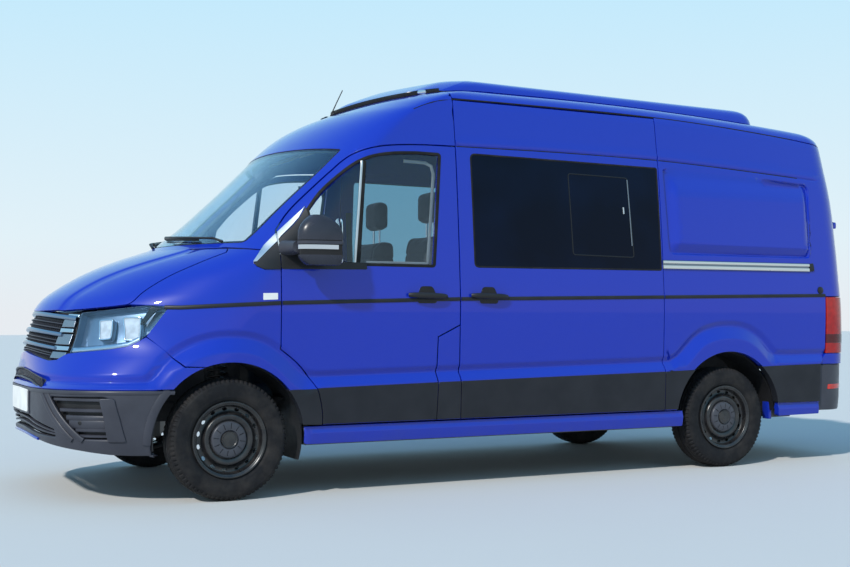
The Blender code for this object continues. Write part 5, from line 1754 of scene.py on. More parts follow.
    def _wing(self, label: str, side: int) -> None:
        """Front wing from the door to the headlamp, with the front half of the arch."""
        radius = FRONT_ARCH
        start = arch_angle(radius, SEAM_Z, True)
        arch = arch_line(FRONT_AXLE_X, radius, start, arch_angle(radius, CLAD_FOOT, False), 40)
        outline = [*arch, *DOOR_ARCH, (1.700, 1.358), (1.742, 1.394), (1.799, 1.451),
                   (1.880, 1.459), (1.955, 1.464), *curve(self.bonnet_edge, 4)[::-1][:-6],
                   (2.520, 1.128), *self.lamp_edge, (2.262, 0.772)]
        Panel(f"wing_skin_{label}", outline, side_surface(), seeds=RELIEF.seeds(False),
              inset=GAP * 0.5, thickness=0.035, spacing=0.04).add(
            "paint", PAINT, DARK_LINING, replaces=[f"wing_{label}"], side=side)
        shell = []
        for px, pz in arch_line(FRONT_AXLE_X, self.liner, start - 50, 198, 40):
            qx = FRONT_AXLE_X + (px - FRONT_AXLE_X) * 0.985
            qz = AXLE_Z + (pz - AXLE_Z) * 0.985
            inner, outer = 0.640 * side, 0.945 * side
            shell.append([(px, inner, pz), (px, outer, pz), (qx, outer, qz), (qx, inner, qz)])
        dress(loft(f"arch_liner_front_{label}", np.array(shell)), "under", BLACK_PLASTIC)
        Panel(f"blank_sticker_{label}", rounded([(1.722, 1.160, 0.003), (1.722, 1.198, 0.003),
                                                 (1.812, 1.196, 0.003), (1.812, 1.157, 0.003)]),
              flush_side(0.0012), thickness=0.0015, roll=0.0003).add(
            "plastic", PLATE_WHITE, side=side)

    def _wipers(self) -> None:
        """Two parked wipers, each an arm from its pivot with a blade and a rubber lip."""
        for name, pivot, tip in (("left", (0.70, 1.505), (-0.06, 1.545)),
                                 ("right", (-0.08, 1.495), (-0.76, 1.560))):
            path = FORM.unwrap_front(np.linspace(pivot, tip, 16))
            s, run = np.array(path).T
            arm = nose_surface(0.028)(s, run)
            arm[0] = nose_surface(0.004)(s[:1], run[:1])[0]
            bar = tube(f"wiper_arm_{name}", arm[:12], np.linspace(0.011, 0.006, 12), 10, 0.7)
            blade = nose_surface(0.014)(s[4:], run[4:] + 0.012)
            foot = tube(f"wiper_blade_{name}", blade, 0.0075, 8, 1.6)
            lip = tube(f"wiper_lip_{name}", nose_surface(0.003)(s[4:], run[4:] + 0.012), 0.003,
                       6, 2.2)
            for piece in (bar, foot):
                dress(piece, "plastic", BLACK_PLASTIC)
            dress(lip, "rubber", SEAL)


# ------------------------------------------------------------------ bumper, grille and headlamps
@dataclass
class Nose:
    """Front bumper, radiator grille and headlamps."""

    seam: tuple[Point2, ...] = ((2.262, SEAM_Z), (2.450, 0.944))
    paint_foot: float = 0.648
    sag: float = 0.029
    chin: tuple[Point2, ...] = ((0.0, 0.850), (0.267, 0.826), (0.435, 0.806), (0.500, 0.812),
                                (0.530, 0.838))
    intake_top: tuple[Point2, ...] = ((0.0, 0.744), (0.190, 0.735), (0.330, 0.716),
                                      (0.457, 0.695))
    intake_foot: tuple[Point2, ...] = ((0.487, 0.652), (0.270, 0.694), (0.0, 0.703))
    lamp: tuple[tuple[float, ...], ...] = (
        (0.512, 1.083, 0.01), (0.640, 1.098), (0.746, 1.116), (0.800, 1.126),
        (0.856, 1.124, 0.006), (0.872, 1.112, 0.006), (0.858, 1.050), (0.842, 0.972),
        (0.824, 0.925), (0.795, 0.893), (0.740, 0.876), (0.640, 0.862), (0.552, 0.852, 0.01))
    vent: tuple[tuple[float, ...], ...] = (
        (0.572, 0.603, 0.012), (0.846, 0.608, 0.03), (0.879, 0.585, 0.02),
        (0.886, 0.372, 0.012), (0.742, 0.374, 0.01))
    lower: tuple[tuple[float, ...], ...] = (
        (0.0, 0.492), (0.218, 0.487), (0.440, 0.452), (0.600, 0.420, 0.01),
        (0.604, 0.378, 0.01), (0.400, 0.384), (0.170, 0.398), (0.0, 0.402))

    def build(self) -> None:
        """Make every piece."""
        self._paint_skin()
        self._grey_skin()
        self._vents()
        self._plate()
        self._grille()
        for label, side in SIDES:
            self._headlamp(label, side)

    def _intake(self) -> list[Point2]:
        """Honeycomb intake outline."""
        return both(front([*self.intake_top, *self.intake_foot]))

    def _paint_skin(self) -> None:
        """Painted upper part round the grille and under the headlamps."""
        foot = [(t, self.paint_foot) for t in np.linspace(0.0, 0.955, 30)]
        arch = arch_line(FRONT_AXLE_X, FRONT_ARCH, arch_angle(FRONT_ARCH, self.paint_foot, True),
                         arch_angle(FRONT_ARCH, SEAM_Z, True), 8)
        left = [*front(foot), *FORM.unwrap_side(arch), *FORM.unwrap_side(self.seam),
                *front([(0.838, 0.944), (0.822, 0.920), (0.795, 0.891), (0.740, 0.874),
                        (0.640, 0.860), (0.550, 0.848)]), *front(self.chin[::-1])]
        left[-1] = (0.0, left[-1][1])
        left[0] = (0.0, left[0][1])
        zs = (0.655, 0.662, 0.670, 0.680, 0.690, 0.694, 0.700, 0.715, 0.74, 0.78)
        seeds = [np.array(front([(t, z) for t in np.linspace(-0.95, 0.95, 70)])) for z in zs]
        seeds += [np.array(FORM.unwrap_side(RELIEF.beside(RELIEF.crest, k)[:40]))
                  for k in (0.0, -0.02, -0.05, -0.098)]
        seeds += [line * (-1, 1) for line in seeds[-4:]]
        Panel("bumper_paint_skin", both(left), nose_surface(0.0, skirt), AHEAD,
              holes=[self._intake()], seeds=seeds, inset=GAP * 0.4, thickness=0.040,
              spacing=0.05).add(
            "paint", PAINT, DARK_LINING, replaces=["front_bumper"])

    def _grey_skin(self) -> None:
        """Grained lower part down to the road side."""
        top = [(t, self.paint_foot - 0.002) for t in np.linspace(0.0, 0.955, 30)]
        arch = arch_line(FRONT_AXLE_X, FRONT_ARCH, arch_angle(FRONT_ARCH, self.paint_foot, True),
                         -9.0, 14)
        foot = [(0.925, 0.277), (0.880, 0.279), (0.829, 0.285), (0.723, 0.306), (0.600, 0.322),
                (0.513, 0.332), (0.400, 0.344), (0.265, 0.354), (0.130, 0.358), (0.0, 0.359)]
        left = [*front(top), *FORM.unwrap_side(arch), *front(foot)]
        left[0], left[-1] = (0.0, left[0][1]), (0.0, left[-1][1])
        holes = [self._intake(), both(front(rounded(self.lower)))]
        holes += [front(rounded(self.vent), side) for _, side in SIDES]
        front_panel("bumper_grey_skin", both(left), 0.010, holes=holes, inset=0.001,
                    thickness=0.030, roll=0.009, spacing=0.045).add("plastic", DARK_PLASTIC)
        self._lips(arch, foot)

    def _lips(self, arch: Outline, foot: Outline) -> None:
        """Raised lips of the grey part: along its top, round the arches and at the foot.

        Args:
            arch: left arch edge over (x, z).
            foot: left foot edge over (y, z), from the corner inward.
        """
        ys = np.linspace(-0.975, 0.975, 90)
        front_strip("bumper_top_lip", front(list(zip(ys, np.full(90, self.paint_foot - 0.016)))),
                    0.009, 0.022, 0.007, depth=0.003, edge=0.45).add("plastic", DARK_PLASTIC)
        for label, side in SIDES:
            line = FORM.unwrap_side([(x + 0.026, z) for x, z in arch[:-2]])
            front_strip(f"bumper_arch_lip_{label}", [(s * side, z) for s, z in line], 0.009, 0.046,
                        0.008, depth=0.003, edge=0.35).add("plastic", DARK_PLASTIC)
            frame = rounded([(0.836, 0.600, 0.006), (0.880, 0.604, 0.016), (0.893, 0.494),
                             (0.896, 0.360, 0.012), (0.850, 0.360, 0.006), (0.850, 0.505)])
            front_panel(f"vent_frame_{label}", front(frame, side), 0.019, thickness=0.022,
                        roll=0.006, spacing=0.04).add("plastic", DARK_PLASTIC)
        blade = [(y, z + 0.010) for y, z in foot if y < 0.41][::-1]
        both_ways = [*[(-y, z) for y, z in blade[::-1]], *blade[1:]]
        front_strip("bumper_foot_lip", front(both_ways), 0.010, 0.015, 0.009, depth=0.003,
                    edge=0.3).add("paint", PAINT)

    def _vents(self) -> None:
        """Slatted side vents, their sensor, the V ribs and the honeycomb."""
        for label, side in SIDES:
            front_panel(f"vent_back_{label}", front(rounded(self.vent), side), -0.022,
                        inset=-0.012, thickness=0.006, spacing=0.06).add("plastic", BLACK_PLASTIC)
            for k, (inner, outer, z, size) in enumerate((
                    (0.650, 0.868, 0.533, 0.020), (0.690, 0.870, 0.490, 0.030),
                    (0.705, 0.874, 0.455, 0.050), (0.735, 0.876, 0.423, 0.020),
                    (0.600, 0.860, 0.592, 0.018), (0.745, 0.878, 0.388, 0.014))):
                path = front(np.linspace((inner, z), (outer, z), 10), side)
                front_strip(f"vent_slat_{label}_{k}", path, -0.008, size, 0.010, depth=0.010,
                            edge=0.25).add("plastic", DARK_PLASTIC)
            for k, (top, low) in enumerate((((0.500, 0.612), (0.712, 0.366)),
                                            ((0.556, 0.612), (0.762, 0.366)))):
                path = front(np.linspace(top, low, 14), side)
                front_strip(f"bumper_rib_{label}_{k}", path, 0.009, 0.030, 0.010, depth=0.004,
                            edge=0.35).add("plastic", DARK_PLASTIC)
            spot = front([(0.760, 0.463)], side)[0]
            centre = nose_surface(0.002)(np.array([spot[0]]), np.array([spot[1]]))[0]
            ring = revolved(f"park_sensor_{label}", [(-0.004, 0.0), (-0.004, 0.012),
                                                     (0.001, 0.0115), (0.002, 0.008),
                                                     (0.0005, 0.007), (0.001, 0.0)], 24)
            turn = math.atan2(centre[1], 0.55)
            ring.data.transform(Matrix.Translation(centre) @ Matrix.Rotation(
                turn - math.pi / 2, 4, "Z"))
            dress(ring, "plastic", BLACK_PLASTIC)
        self._mesh_rows("honeycomb", self.intake_top, self.intake_foot[::-1], 5)
        front_panel("lower_intake_back", both(front(rounded(self.lower))), -0.024, inset=-0.012,
                    thickness=0.006, spacing=0.06).add("plastic", BLACK_PLASTIC)
        for k, share in enumerate((0.34, 0.68)):
            ys = np.linspace(-0.60, 0.60, 40)
            tops = np.interp(np.abs(ys), (0.0, 0.218, 0.44, 0.60), (0.492, 0.487, 0.452, 0.420))
            lows = np.interp(np.abs(ys), (0.0, 0.17, 0.40, 0.604), (0.402, 0.398, 0.384, 0.378))
            path = front(list(zip(ys, tops + (lows - tops) * share)))
            front_strip(f"lower_slat_{k}", path, -0.006, 0.012, 0.008, depth=0.010).add(
                "plastic", DARK_PLASTIC)

    def _mesh_rows(self, name: str, top: Outline, low: Outline, rows: int) -> None:
        """Dark net of small cells behind an opening."""
        tops, lows = np.array(top), np.array(low)
        outline = both(front([*top, *low[::-1]]))
        front_panel(f"{name}_back", outline, -0.020, inset=-0.008, thickness=0.005,
                    spacing=0.06).add(
            "plastic", BLACK_PLASTIC)
        reach = float(tops[-1, 0])
        bars = []
        for k in range(rows):
            share = (k + 0.5) / rows
            ys = np.linspace(-reach, reach, 50)
            over, under = (np.interp(np.abs(ys), *edge.T) for edge in (tops, lows))
            z = over * (1 - share) + under * share
            path = front(list(zip(ys, z)))
            bars.append(front_strip(f"{name}_bar_{k}", path, -0.008, 0.0035, 0.004,
                                    depth=0.006).build())
        for k, y in enumerate(np.linspace(-reach + 0.01, reach - 0.01, 40)):
            high, foot = (float(np.interp(abs(y), *edge.T)) for edge in (tops, lows))
            path = front([(y, high), (y + 0.004 * (-1) ** k, foot)])
            bars.append(front_strip(f"{name}_post_{k}", path, -0.009, 0.003, 0.004,
                                    depth=0.006).build())
        dress(joined(f"{name}_net", bars), "plastic", DARK_PLASTIC)

    def _plate(self) -> None:
        """Blank number plate on its holder."""
        for name, half, low, high, lift, finish in (
                ("plate_holder", 0.285, 0.488, 0.642, 0.016, DARK_PLASTIC),
                ("front_plate", 0.262, 0.500, 0.634, 0.021, PLATE_WHITE)):
            outline = both(front(rounded([(0.0, high), (half, high - 0.004, 0.012),
                                          (half, low, 0.012), (0.0, low)])))
            front_panel(name, outline, lift, thickness=0.008, roll=0.0015, spacing=0.06).add(
                "plastic", finish)

    def _grille(self) -> None:
        """Dark net behind three bright bars, with stepped bright blocks at both ends."""
        edge = both(front([(0.0, 1.106), (0.250, 1.098), (0.440, 1.084), (0.512, 1.083),
                           (0.500, 1.000), (0.522, 0.925), (0.545, 0.850), (0.500, 0.812),
                           (0.435, 0.806), (0.267, 0.826), (0.0, 0.850)]))
        front_panel("grille_back", edge, -0.026, inset=-0.006, thickness=0.006, spacing=0.06).add(
            "plastic", BLACK_PLASTIC, replaces=["grille"])
        bars = (("top", 1.082, 1.055, 0.030, 0.50), ("upper", 0.984, 0.955, 0.027, 0.44),
                ("lower", 0.905, 0.876, 0.024, 0.43))
        for name, middle, end, size, reach in bars:
            ys = np.linspace(-reach, reach, 44)
            z = middle + (end - middle) * bow(ys)
            front_strip(f"grille_bar_{name}", front(list(zip(ys, z))), -0.012, size, 0.016,
                        depth=0.012, edge=0.4).add("plastic", GRILLE_BAR)
        nets = []
        for k, (high, low) in enumerate(((1.058, 1.004), (0.960, 0.922), (0.882, 0.858))):
            for j in range(2):
                share = (j + 0.5) / 2
                ys = np.linspace(-0.43, 0.43, 40)
                z = high + (low - high) * share - self.sag * bow(ys)
                nets.append(front_strip(f"grille_slat_{k}_{j}", front(list(zip(ys, z))),
                                        -0.018, 0.007, 0.010, depth=0.008).build())
        for k, y in enumerate(np.linspace(-0.42, 0.42, 43)):
            drop = self.sag * bow(y)
            path = front([(y, 1.062 - drop), (y, 0.845 - drop)])
            nets.append(front_strip(f"grille_post_{k}", path, -0.024, 0.004, 0.006,
                                    depth=0.006).build())
        dress(joined("grille_net", nets), "plastic", DARK_PLASTIC)
        for label, side in SIDES:
            for k, (inner, outer, high, low, bright) in enumerate((
                    (0.426, 0.505, 1.078, 1.058, 1), (0.412, 0.497, 1.052, 1.000, 0),
                    (0.410, 0.502, 0.994, 0.970, 1), (0.412, 0.512, 0.962, 0.900, 0),
                    (0.412, 0.524, 0.893, 0.868, 1), (0.420, 0.530, 0.860, 0.822, 0))):
                outline = rounded([(inner, high, 0.003), (outer, high - 0.004, 0.003),
                                   (outer + 0.004, low - 0.002, 0.003), (inner, low, 0.003)])
                front_panel(f"grille_block_{label}_{k}", front(outline, side), -0.006,
                            thickness=0.018, roll=0.003, spacing=0.03).add(
                    "plastic", CHROME if bright else GRILLE_BLOCK)

    def _headlamp(self, label: str, side: int) -> None:
        """Clear lens over a dark housing with two bright units and a bright lower edge."""
        outline = front(rounded(self.lamp), side)
        front_panel(f"headlamp_lens_{label}", outline, -0.001, inset=0.002, thickness=0.003,
                    roll=0.002, spacing=0.05).add(
            "headlamp", LAMP_GLASS, replaces=[f"headlamp_{label}"])
        front_panel(f"headlamp_back_{label}", outline, -0.062, inset=0.0, thickness=0.006,
                    spacing=0.05).add("headlamp", LAMP_HOUSING)
        front_strip(f"headlamp_wall_{label}", outline, -0.034, 0.006, 0.026, depth=0.030,
                    closed=True).add("headlamp", LAMP_HOUSING)
        for k, corners in enumerate((((0.628, 1.040), (0.688, 1.044), (0.712, 0.936),
                                      (0.664, 0.930)),
                                     ((0.728, 1.058), (0.792, 1.058), (0.820, 0.926),
                                      (0.768, 0.930)))):
            loop = rounded([(a, b, 0.010) for a, b in corners])
            front_panel(f"lamp_unit_{label}_{k}", front(loop, side), -0.016, thickness=0.044,
                        roll=0.006, spacing=0.03).add("headlamp", WHITE_LENS, CHROME)
            front_strip(f"lamp_rim_{label}_{k}", front(loop, side), -0.020, 0.010, 0.010,
                        closed=True, depth=0.036).add("headlamp", CHROME)
        path = front([(0.556, 0.872), (0.640, 0.880), (0.740, 0.893), (0.792, 0.906),
                      (0.818, 0.934)], side)
        front_strip(f"lamp_bright_edge_{label}", path, -0.020, 0.034, 0.012, depth=0.030).add(
            "headlamp", CHROME)
        wedge = rounded([(0.812, 1.118, 0.003), (0.862, 1.106, 0.003), (0.836, 1.098, 0.003),
                         (0.812, 1.016, 0.003), (0.800, 1.016, 0.003)])
        front_panel(f"lamp_tick_{label}", front(wedge, side), -0.006, thickness=0.020, roll=0.003,
                    spacing=0.02).add("headlamp", GLOSS_BLACK)


# ------------------------------------------------------------------ roof
@dataclass
class Roof:
    """Roof skin, gutters, lifting shell with its seal and latches, and the aerial."""

    gutter: tuple[Point2, ...] = ((-1.085, 2.4490), (-1.500, 2.4335), (-1.900, 2.4095),
                                  (-2.300, 2.3785), (-2.450, 2.3635), (-2.600, 2.3465))
    shell: tuple[tuple[float, float, float, float], ...] = (
        (2.400, 0.965, 0.690, -2.215), (2.450, 0.958, 0.690, -2.212),
        (2.510, 0.890, 0.689, -2.208), (2.555, 0.785, 0.684, -2.200),
        (2.595, 0.680, 0.668, -2.184), (2.622, 0.605, 0.642, -2.165),
        (2.643, 0.515, 0.590, -2.140), (2.658, 0.370, 0.470, -2.060),
        (2.669, 0.100, 0.260, -1.700))
    back_radius: float = 0.12
    lift: float = 0.009
    latch_x: float = 0.600

    def build(self) -> None:
        """Make every piece."""
        self._skin()
        for label, side in SIDES:
            self._gutter(label, side)
        self._shell()
        self._aerial()

    def _skin(self) -> None:
        """Roof behind the B line, with the opening under the lifting shell."""
        line = curve(self.gutter, 4)
        xs = np.array([B_LINE_X - 0.001, 0.2, -0.1, -0.4, -0.7, -1.0] + [p[0] for p in line])
        zs = np.array([2.4560] * 5 + [2.4510] + [p[1] + 0.0005 for p in line])
        side = list(zip(xs, FORM.side(xs, zs)))
        corner_x = np.linspace(-2.62, -2.90, 80)
        corner_y = FORM.side(corner_x, np.linspace(2.3445, 2.3300, 80))
        side += [(float(x), float(y)) for x, y in zip(corner_x, corner_y) if y > 0.840]
        ys = np.linspace(0.834, 0.0, 26)
        back = list(zip(FORM.tail(ys, np.full(26, 2.337)), ys))
        half = [(B_LINE_X - 0.001, 0.0), *side, *back]
        outline = half + [(x, -y) for x, y in half[::-1] if y > 1e-6]
        loop = np.array(half[1:-1])
        seeds = [loop * (1, k) for k in (0.996, 0.990, 0.98, 0.965, 0.945, 0.92)]
        seeds += [line_ * (1, -1) for line_ in seeds]
        hole = rounded([(0.450, 0.560, 0.08), (-1.900, 0.560, 0.08), (-1.900, -0.560, 0.08),
                        (0.450, -0.560, 0.08)])
        Panel("roof_skin", outline, roof_surface(), (0, 0, 1), holes=[hole], seeds=seeds,
              thickness=0.040, roll=0.0015, spacing=0.07).add(
            "paint", PAINT, LINING, replaces=["roof"])

    def _gutter(self, label: str, side: int) -> None:
        """Dark channel seal under the edge of the roof."""
        path = curve([(0.790, 2.362), (0.722, 2.392), (0.644, 2.419), (0.560, 2.438),
                      (0.480, 2.4485), (0.300, 2.4535), (-0.300, 2.4530), (-1.085, 2.4465),
                      (-1.500, 2.4312), (-1.900, 2.4075), (-2.180, 2.3865), (-2.330, 2.3738)], 4)
        Strip(f"gutter_{label}", path, flush_side(-0.002), 0.0085, 0.002, depth=0.004).add(
            "rubber", SEAL, side=side)

    def _columns(self) -> np.ndarray:
        """Dense shell surface as an array (ring points, heights, 3)."""
        rows = np.array(self.shell)
        heights = np.linspace(rows[0, 0], rows[-1, 0], 130)
        fair = []
        for k in range(1, 4):
            line = np.interp(heights, rows[:, 0], rows[:, k])
            reach = 7
            weights = np.exp(-0.5 * (np.arange(-reach, reach + 1) / 3.0) ** 2)
            padded = np.concatenate([2 * line[0] - line[reach:0:-1], line,
                                     2 * line[-1] - line[-2:-reach - 2:-1]])
            fair.append(np.convolve(padded, weights / weights.sum(), "valid"))
        rings = []
        for z, nose, half, rear in zip(heights, *fair):
            share = np.sin(np.linspace(0, math.pi / 2, 26))
            y = half * share
            bend = 0.210 * (y / 0.62) ** 1.2 + 0.10 * np.maximum(0, (share - 0.80) / 0.20) ** 2
            front_edge = np.stack([nose - bend, y], 1)
            cut = self.back_radius
            start, stop = front_edge[-1, 0], rear + cut
            along = np.stack([np.linspace(start, stop, 24)[1:-1], np.full(22, half)], 1)
            turn = np.linspace(0, math.pi / 2, 10)
            corner = np.stack([stop - cut * np.sin(turn), half - cut + cut * np.cos(turn)], 1)
            back = np.stack([np.full(8, rear), np.linspace(half - cut, 0, 9)[1:]], 1)
            ring = np.vstack([front_edge, along, corner, back])
            ring = np.vstack([ring, ring[-2:0:-1] * (1, -1)])
            drop = 0.030 * np.clip((0.2 - ring[:, 0]) / 2.35, 0, 1)
            rings.append(np.column_stack([ring, z - drop]))
        return np.array(rings).transpose(1, 0, 2)

    def _shell(self) -> None:
        """Lifting shell from just above the roof to its crown, with a seal under its edge."""
        columns = self._columns()
        trimmed, feet = [], []
        for column in columns:
            deep = FORM.roof(column[:, 0], np.abs(column[:, 1])) + self.lift
            above = column[:, 2] - deep
            last = int(np.max(np.nonzero(above < 0)[0])) if (above < 0).any() else 0
            share = float(np.clip(-above[last] / max(above[last + 1] - above[last], 1e-9), 0, 1))
            foot = column[last] + (column[last + 1] - column[last]) * share
            path = np.vstack([foot, column[last + 1:]])
            run = np.concatenate([[0], np.cumsum(np.linalg.norm(np.diff(path, axis=0), axis=1))])
            stops = np.linspace(0, run[-1], 22)
            trimmed.append(np.stack([np.interp(stops, run, path[:, k]) for k in range(3)], 1))
            feet.append(foot)
        trimmed[0] = 0.5 * (trimmed[1] + trimmed[-1])
        feet[0] = 0.5 * (feet[1] + feet[-1])
        rings = np.array(trimmed).transpose(1, 0, 2)
        top = rings[-1]
        centre = np.stack([np.clip(top[:, 0], -1.55, 0.0), np.zeros(len(top)), top[:, 2]], 1)
        extra = [top + (centre - top) * k for k in (0.35, 0.7)]
        rings = np.concatenate([rings, np.array(extra)])
        rings[:, :, 2] = np.minimum(rings[:, :, 2], 2.6680)
        count = rings.shape[1]
        faces = [(r * count + i, r * count + (i + 1) % count,
                  (r + 1) * count + (i + 1) % count, (r + 1) * count + i)
                 for r in range(len(rings) - 1) for i in range(count)]
        faces.append(tuple((len(rings) - 1) * count + i for i in range(count)))
        shell = crisp(mesh_object("roof_shell", rings.reshape(-1, 3), faces), 60)
        step = shell.modifiers.new("skin", "SOLIDIFY")
        step.thickness, step.offset, step.material_offset = 0.010, -1.0, 1
        step.use_rim, step.material_offset_rim = True, 0
        for finish in (PAINT, LINING):
            shell.data.materials.append(finish.material())
        applied(shell)
        dress(shell, "paint", PAINT, LINING, body="pop_top", replaces=["pop_top"])
        feet = np.array(feet)
        tuck = ramp(feet[:, 0], 0.55, 0.05)[:, None]
        seal = tube("roof_shell_seal", feet * (1 - 0.012 * tuck) + (0, 0, -0.005),
                    0.0085 - 0.0025 * tuck[:, 0], 8, closed=True)
        dress(seal, "rubber", SEAL)
        front = np.array([p for p in feet if p[0] > 0.42 and p[1] > 0])
        front = front[np.argsort(front[:, 1])]
        front = np.vstack([front[::-1] * (1, -1, 1), front])
        lip = tube("roof_shell_lip", front + (0.004, 0, 0.006), 0.0085, 6, 1.5)
        dress(lip, "plastic", GLOSS_BLACK, body="pop_top")
        for label, side in SIDES:
            near = [p for p in feet if p[0] >= 0 and p[1] * side >= 0]
            at = min(near, key=lambda p: abs(p[0] - self.latch_x))
            ring = [(at[0] + a, at[2] + b) for a, b in
                    ((0.030, -0.012), (0.034, 0.000), (0.020, 0.014), (-0.018, 0.020),
                     (-0.036, 0.016), (-0.034, 0.000), (-0.010, -0.012))]
            low, high = sorted((at[1] + side * 0.002, at[1] + side * 0.020))
            latch = prism(f"shell_latch_{label}", ring, low, high, edge=0.004)
            dress(latch, "plastic", CHROME)

    def _aerial(self) -> None:
        """Short aerial on its foot over the windscreen."""
        spots = ((1.064, 2.366), (1.035, 2.392), (1.000, 2.412), (0.968, 2.420))
        sizes = (0.006, 0.019, 0.017, 0.007)
        rings = []
        for (x, z), size in zip(spots, sizes):
            turn = circle(16)
            rings.append(np.stack([np.full(16, x) + 0.6 * size * np.sin(turn),
                                   size * np.cos(turn), z + size * np.sin(turn) * 0.9], 1))
        dress(loft("aerial_foot", np.array(rings)), "plastic", BLACK_PLASTIC)
        path = np.array([(0.985, 0, 2.412), (0.975, 0, 2.435), (0.935, 0, 2.520),
                         (0.888, 0, 2.616)])
        dress(tube("aerial_rod", path, (0.0062, 0.0045, 0.0038, 0.0032), 10), "plastic",
              BLACK_PLASTIC)


# ------------------------------------------------------------------ tail
TAIL_SPAN = 1.10  # distance round the back from the centre line to the side
BACKWARD = (-1.0, 0.0, 0.0)


def round_at(y: float, half: float) -> float:
    """Distance round the back at which a form of some half width stands y out."""
    return TAIL_SPAN * math.asin(min(y / half, 1.0)) / (math.pi / 2)


def round_tail(corner: float, power: float, longer: float = 0.0, wider: float = 0.0,
               raised: float = 0.0) -> Surface:
    """Surface round the back over (u, z): u runs from the centre line to the left side.

    Args:
        corner: length of the rounded corner.
        power: squareness of the corner.
        longer: how much further back it stands than the body.
        wider: how much wider it stands than the body.
        raised: even height above the result.

    Returns:
        The surface.
    """
    def plain(u: np.ndarray, z: np.ndarray) -> np.ndarray:
        size = np.abs(u)
        angle = np.clip(size / TAIL_SPAN, 0.0, 1.0) * math.pi / 2
        x = np.full_like(u, FORM.TAIL_GUESS)
        for _ in range(4):
            _, _, half, tail, _, _ = FORM.at(FORM.level(x, z))
            x = tail - longer + corner * (1.0 - np.sqrt(np.maximum(
                1.0 - np.sin(angle) ** power, 0.0))) + np.maximum(size - TAIL_SPAN, 0.0)
        return np.stack([x, (half + wider) * np.sin(angle) * np.sign(u), z], 1)

    def surface(u: np.ndarray, z: np.ndarray) -> np.ndarray:
        if not raised:
            return plain(u, z)
        return plain(u, z) + normals_of(plain, u, z, BACKWARD) * raised
    return surface


def tail_reach(surface: Surface, x: float, z: float, side: int = 1) -> float:
    """Distance round a tail surface at which it passes a station."""
    return side * float(halved(
        lambda u: surface(np.array([u]), np.array([z]))[0, 0] < x, 0.6, 1.9, 30))


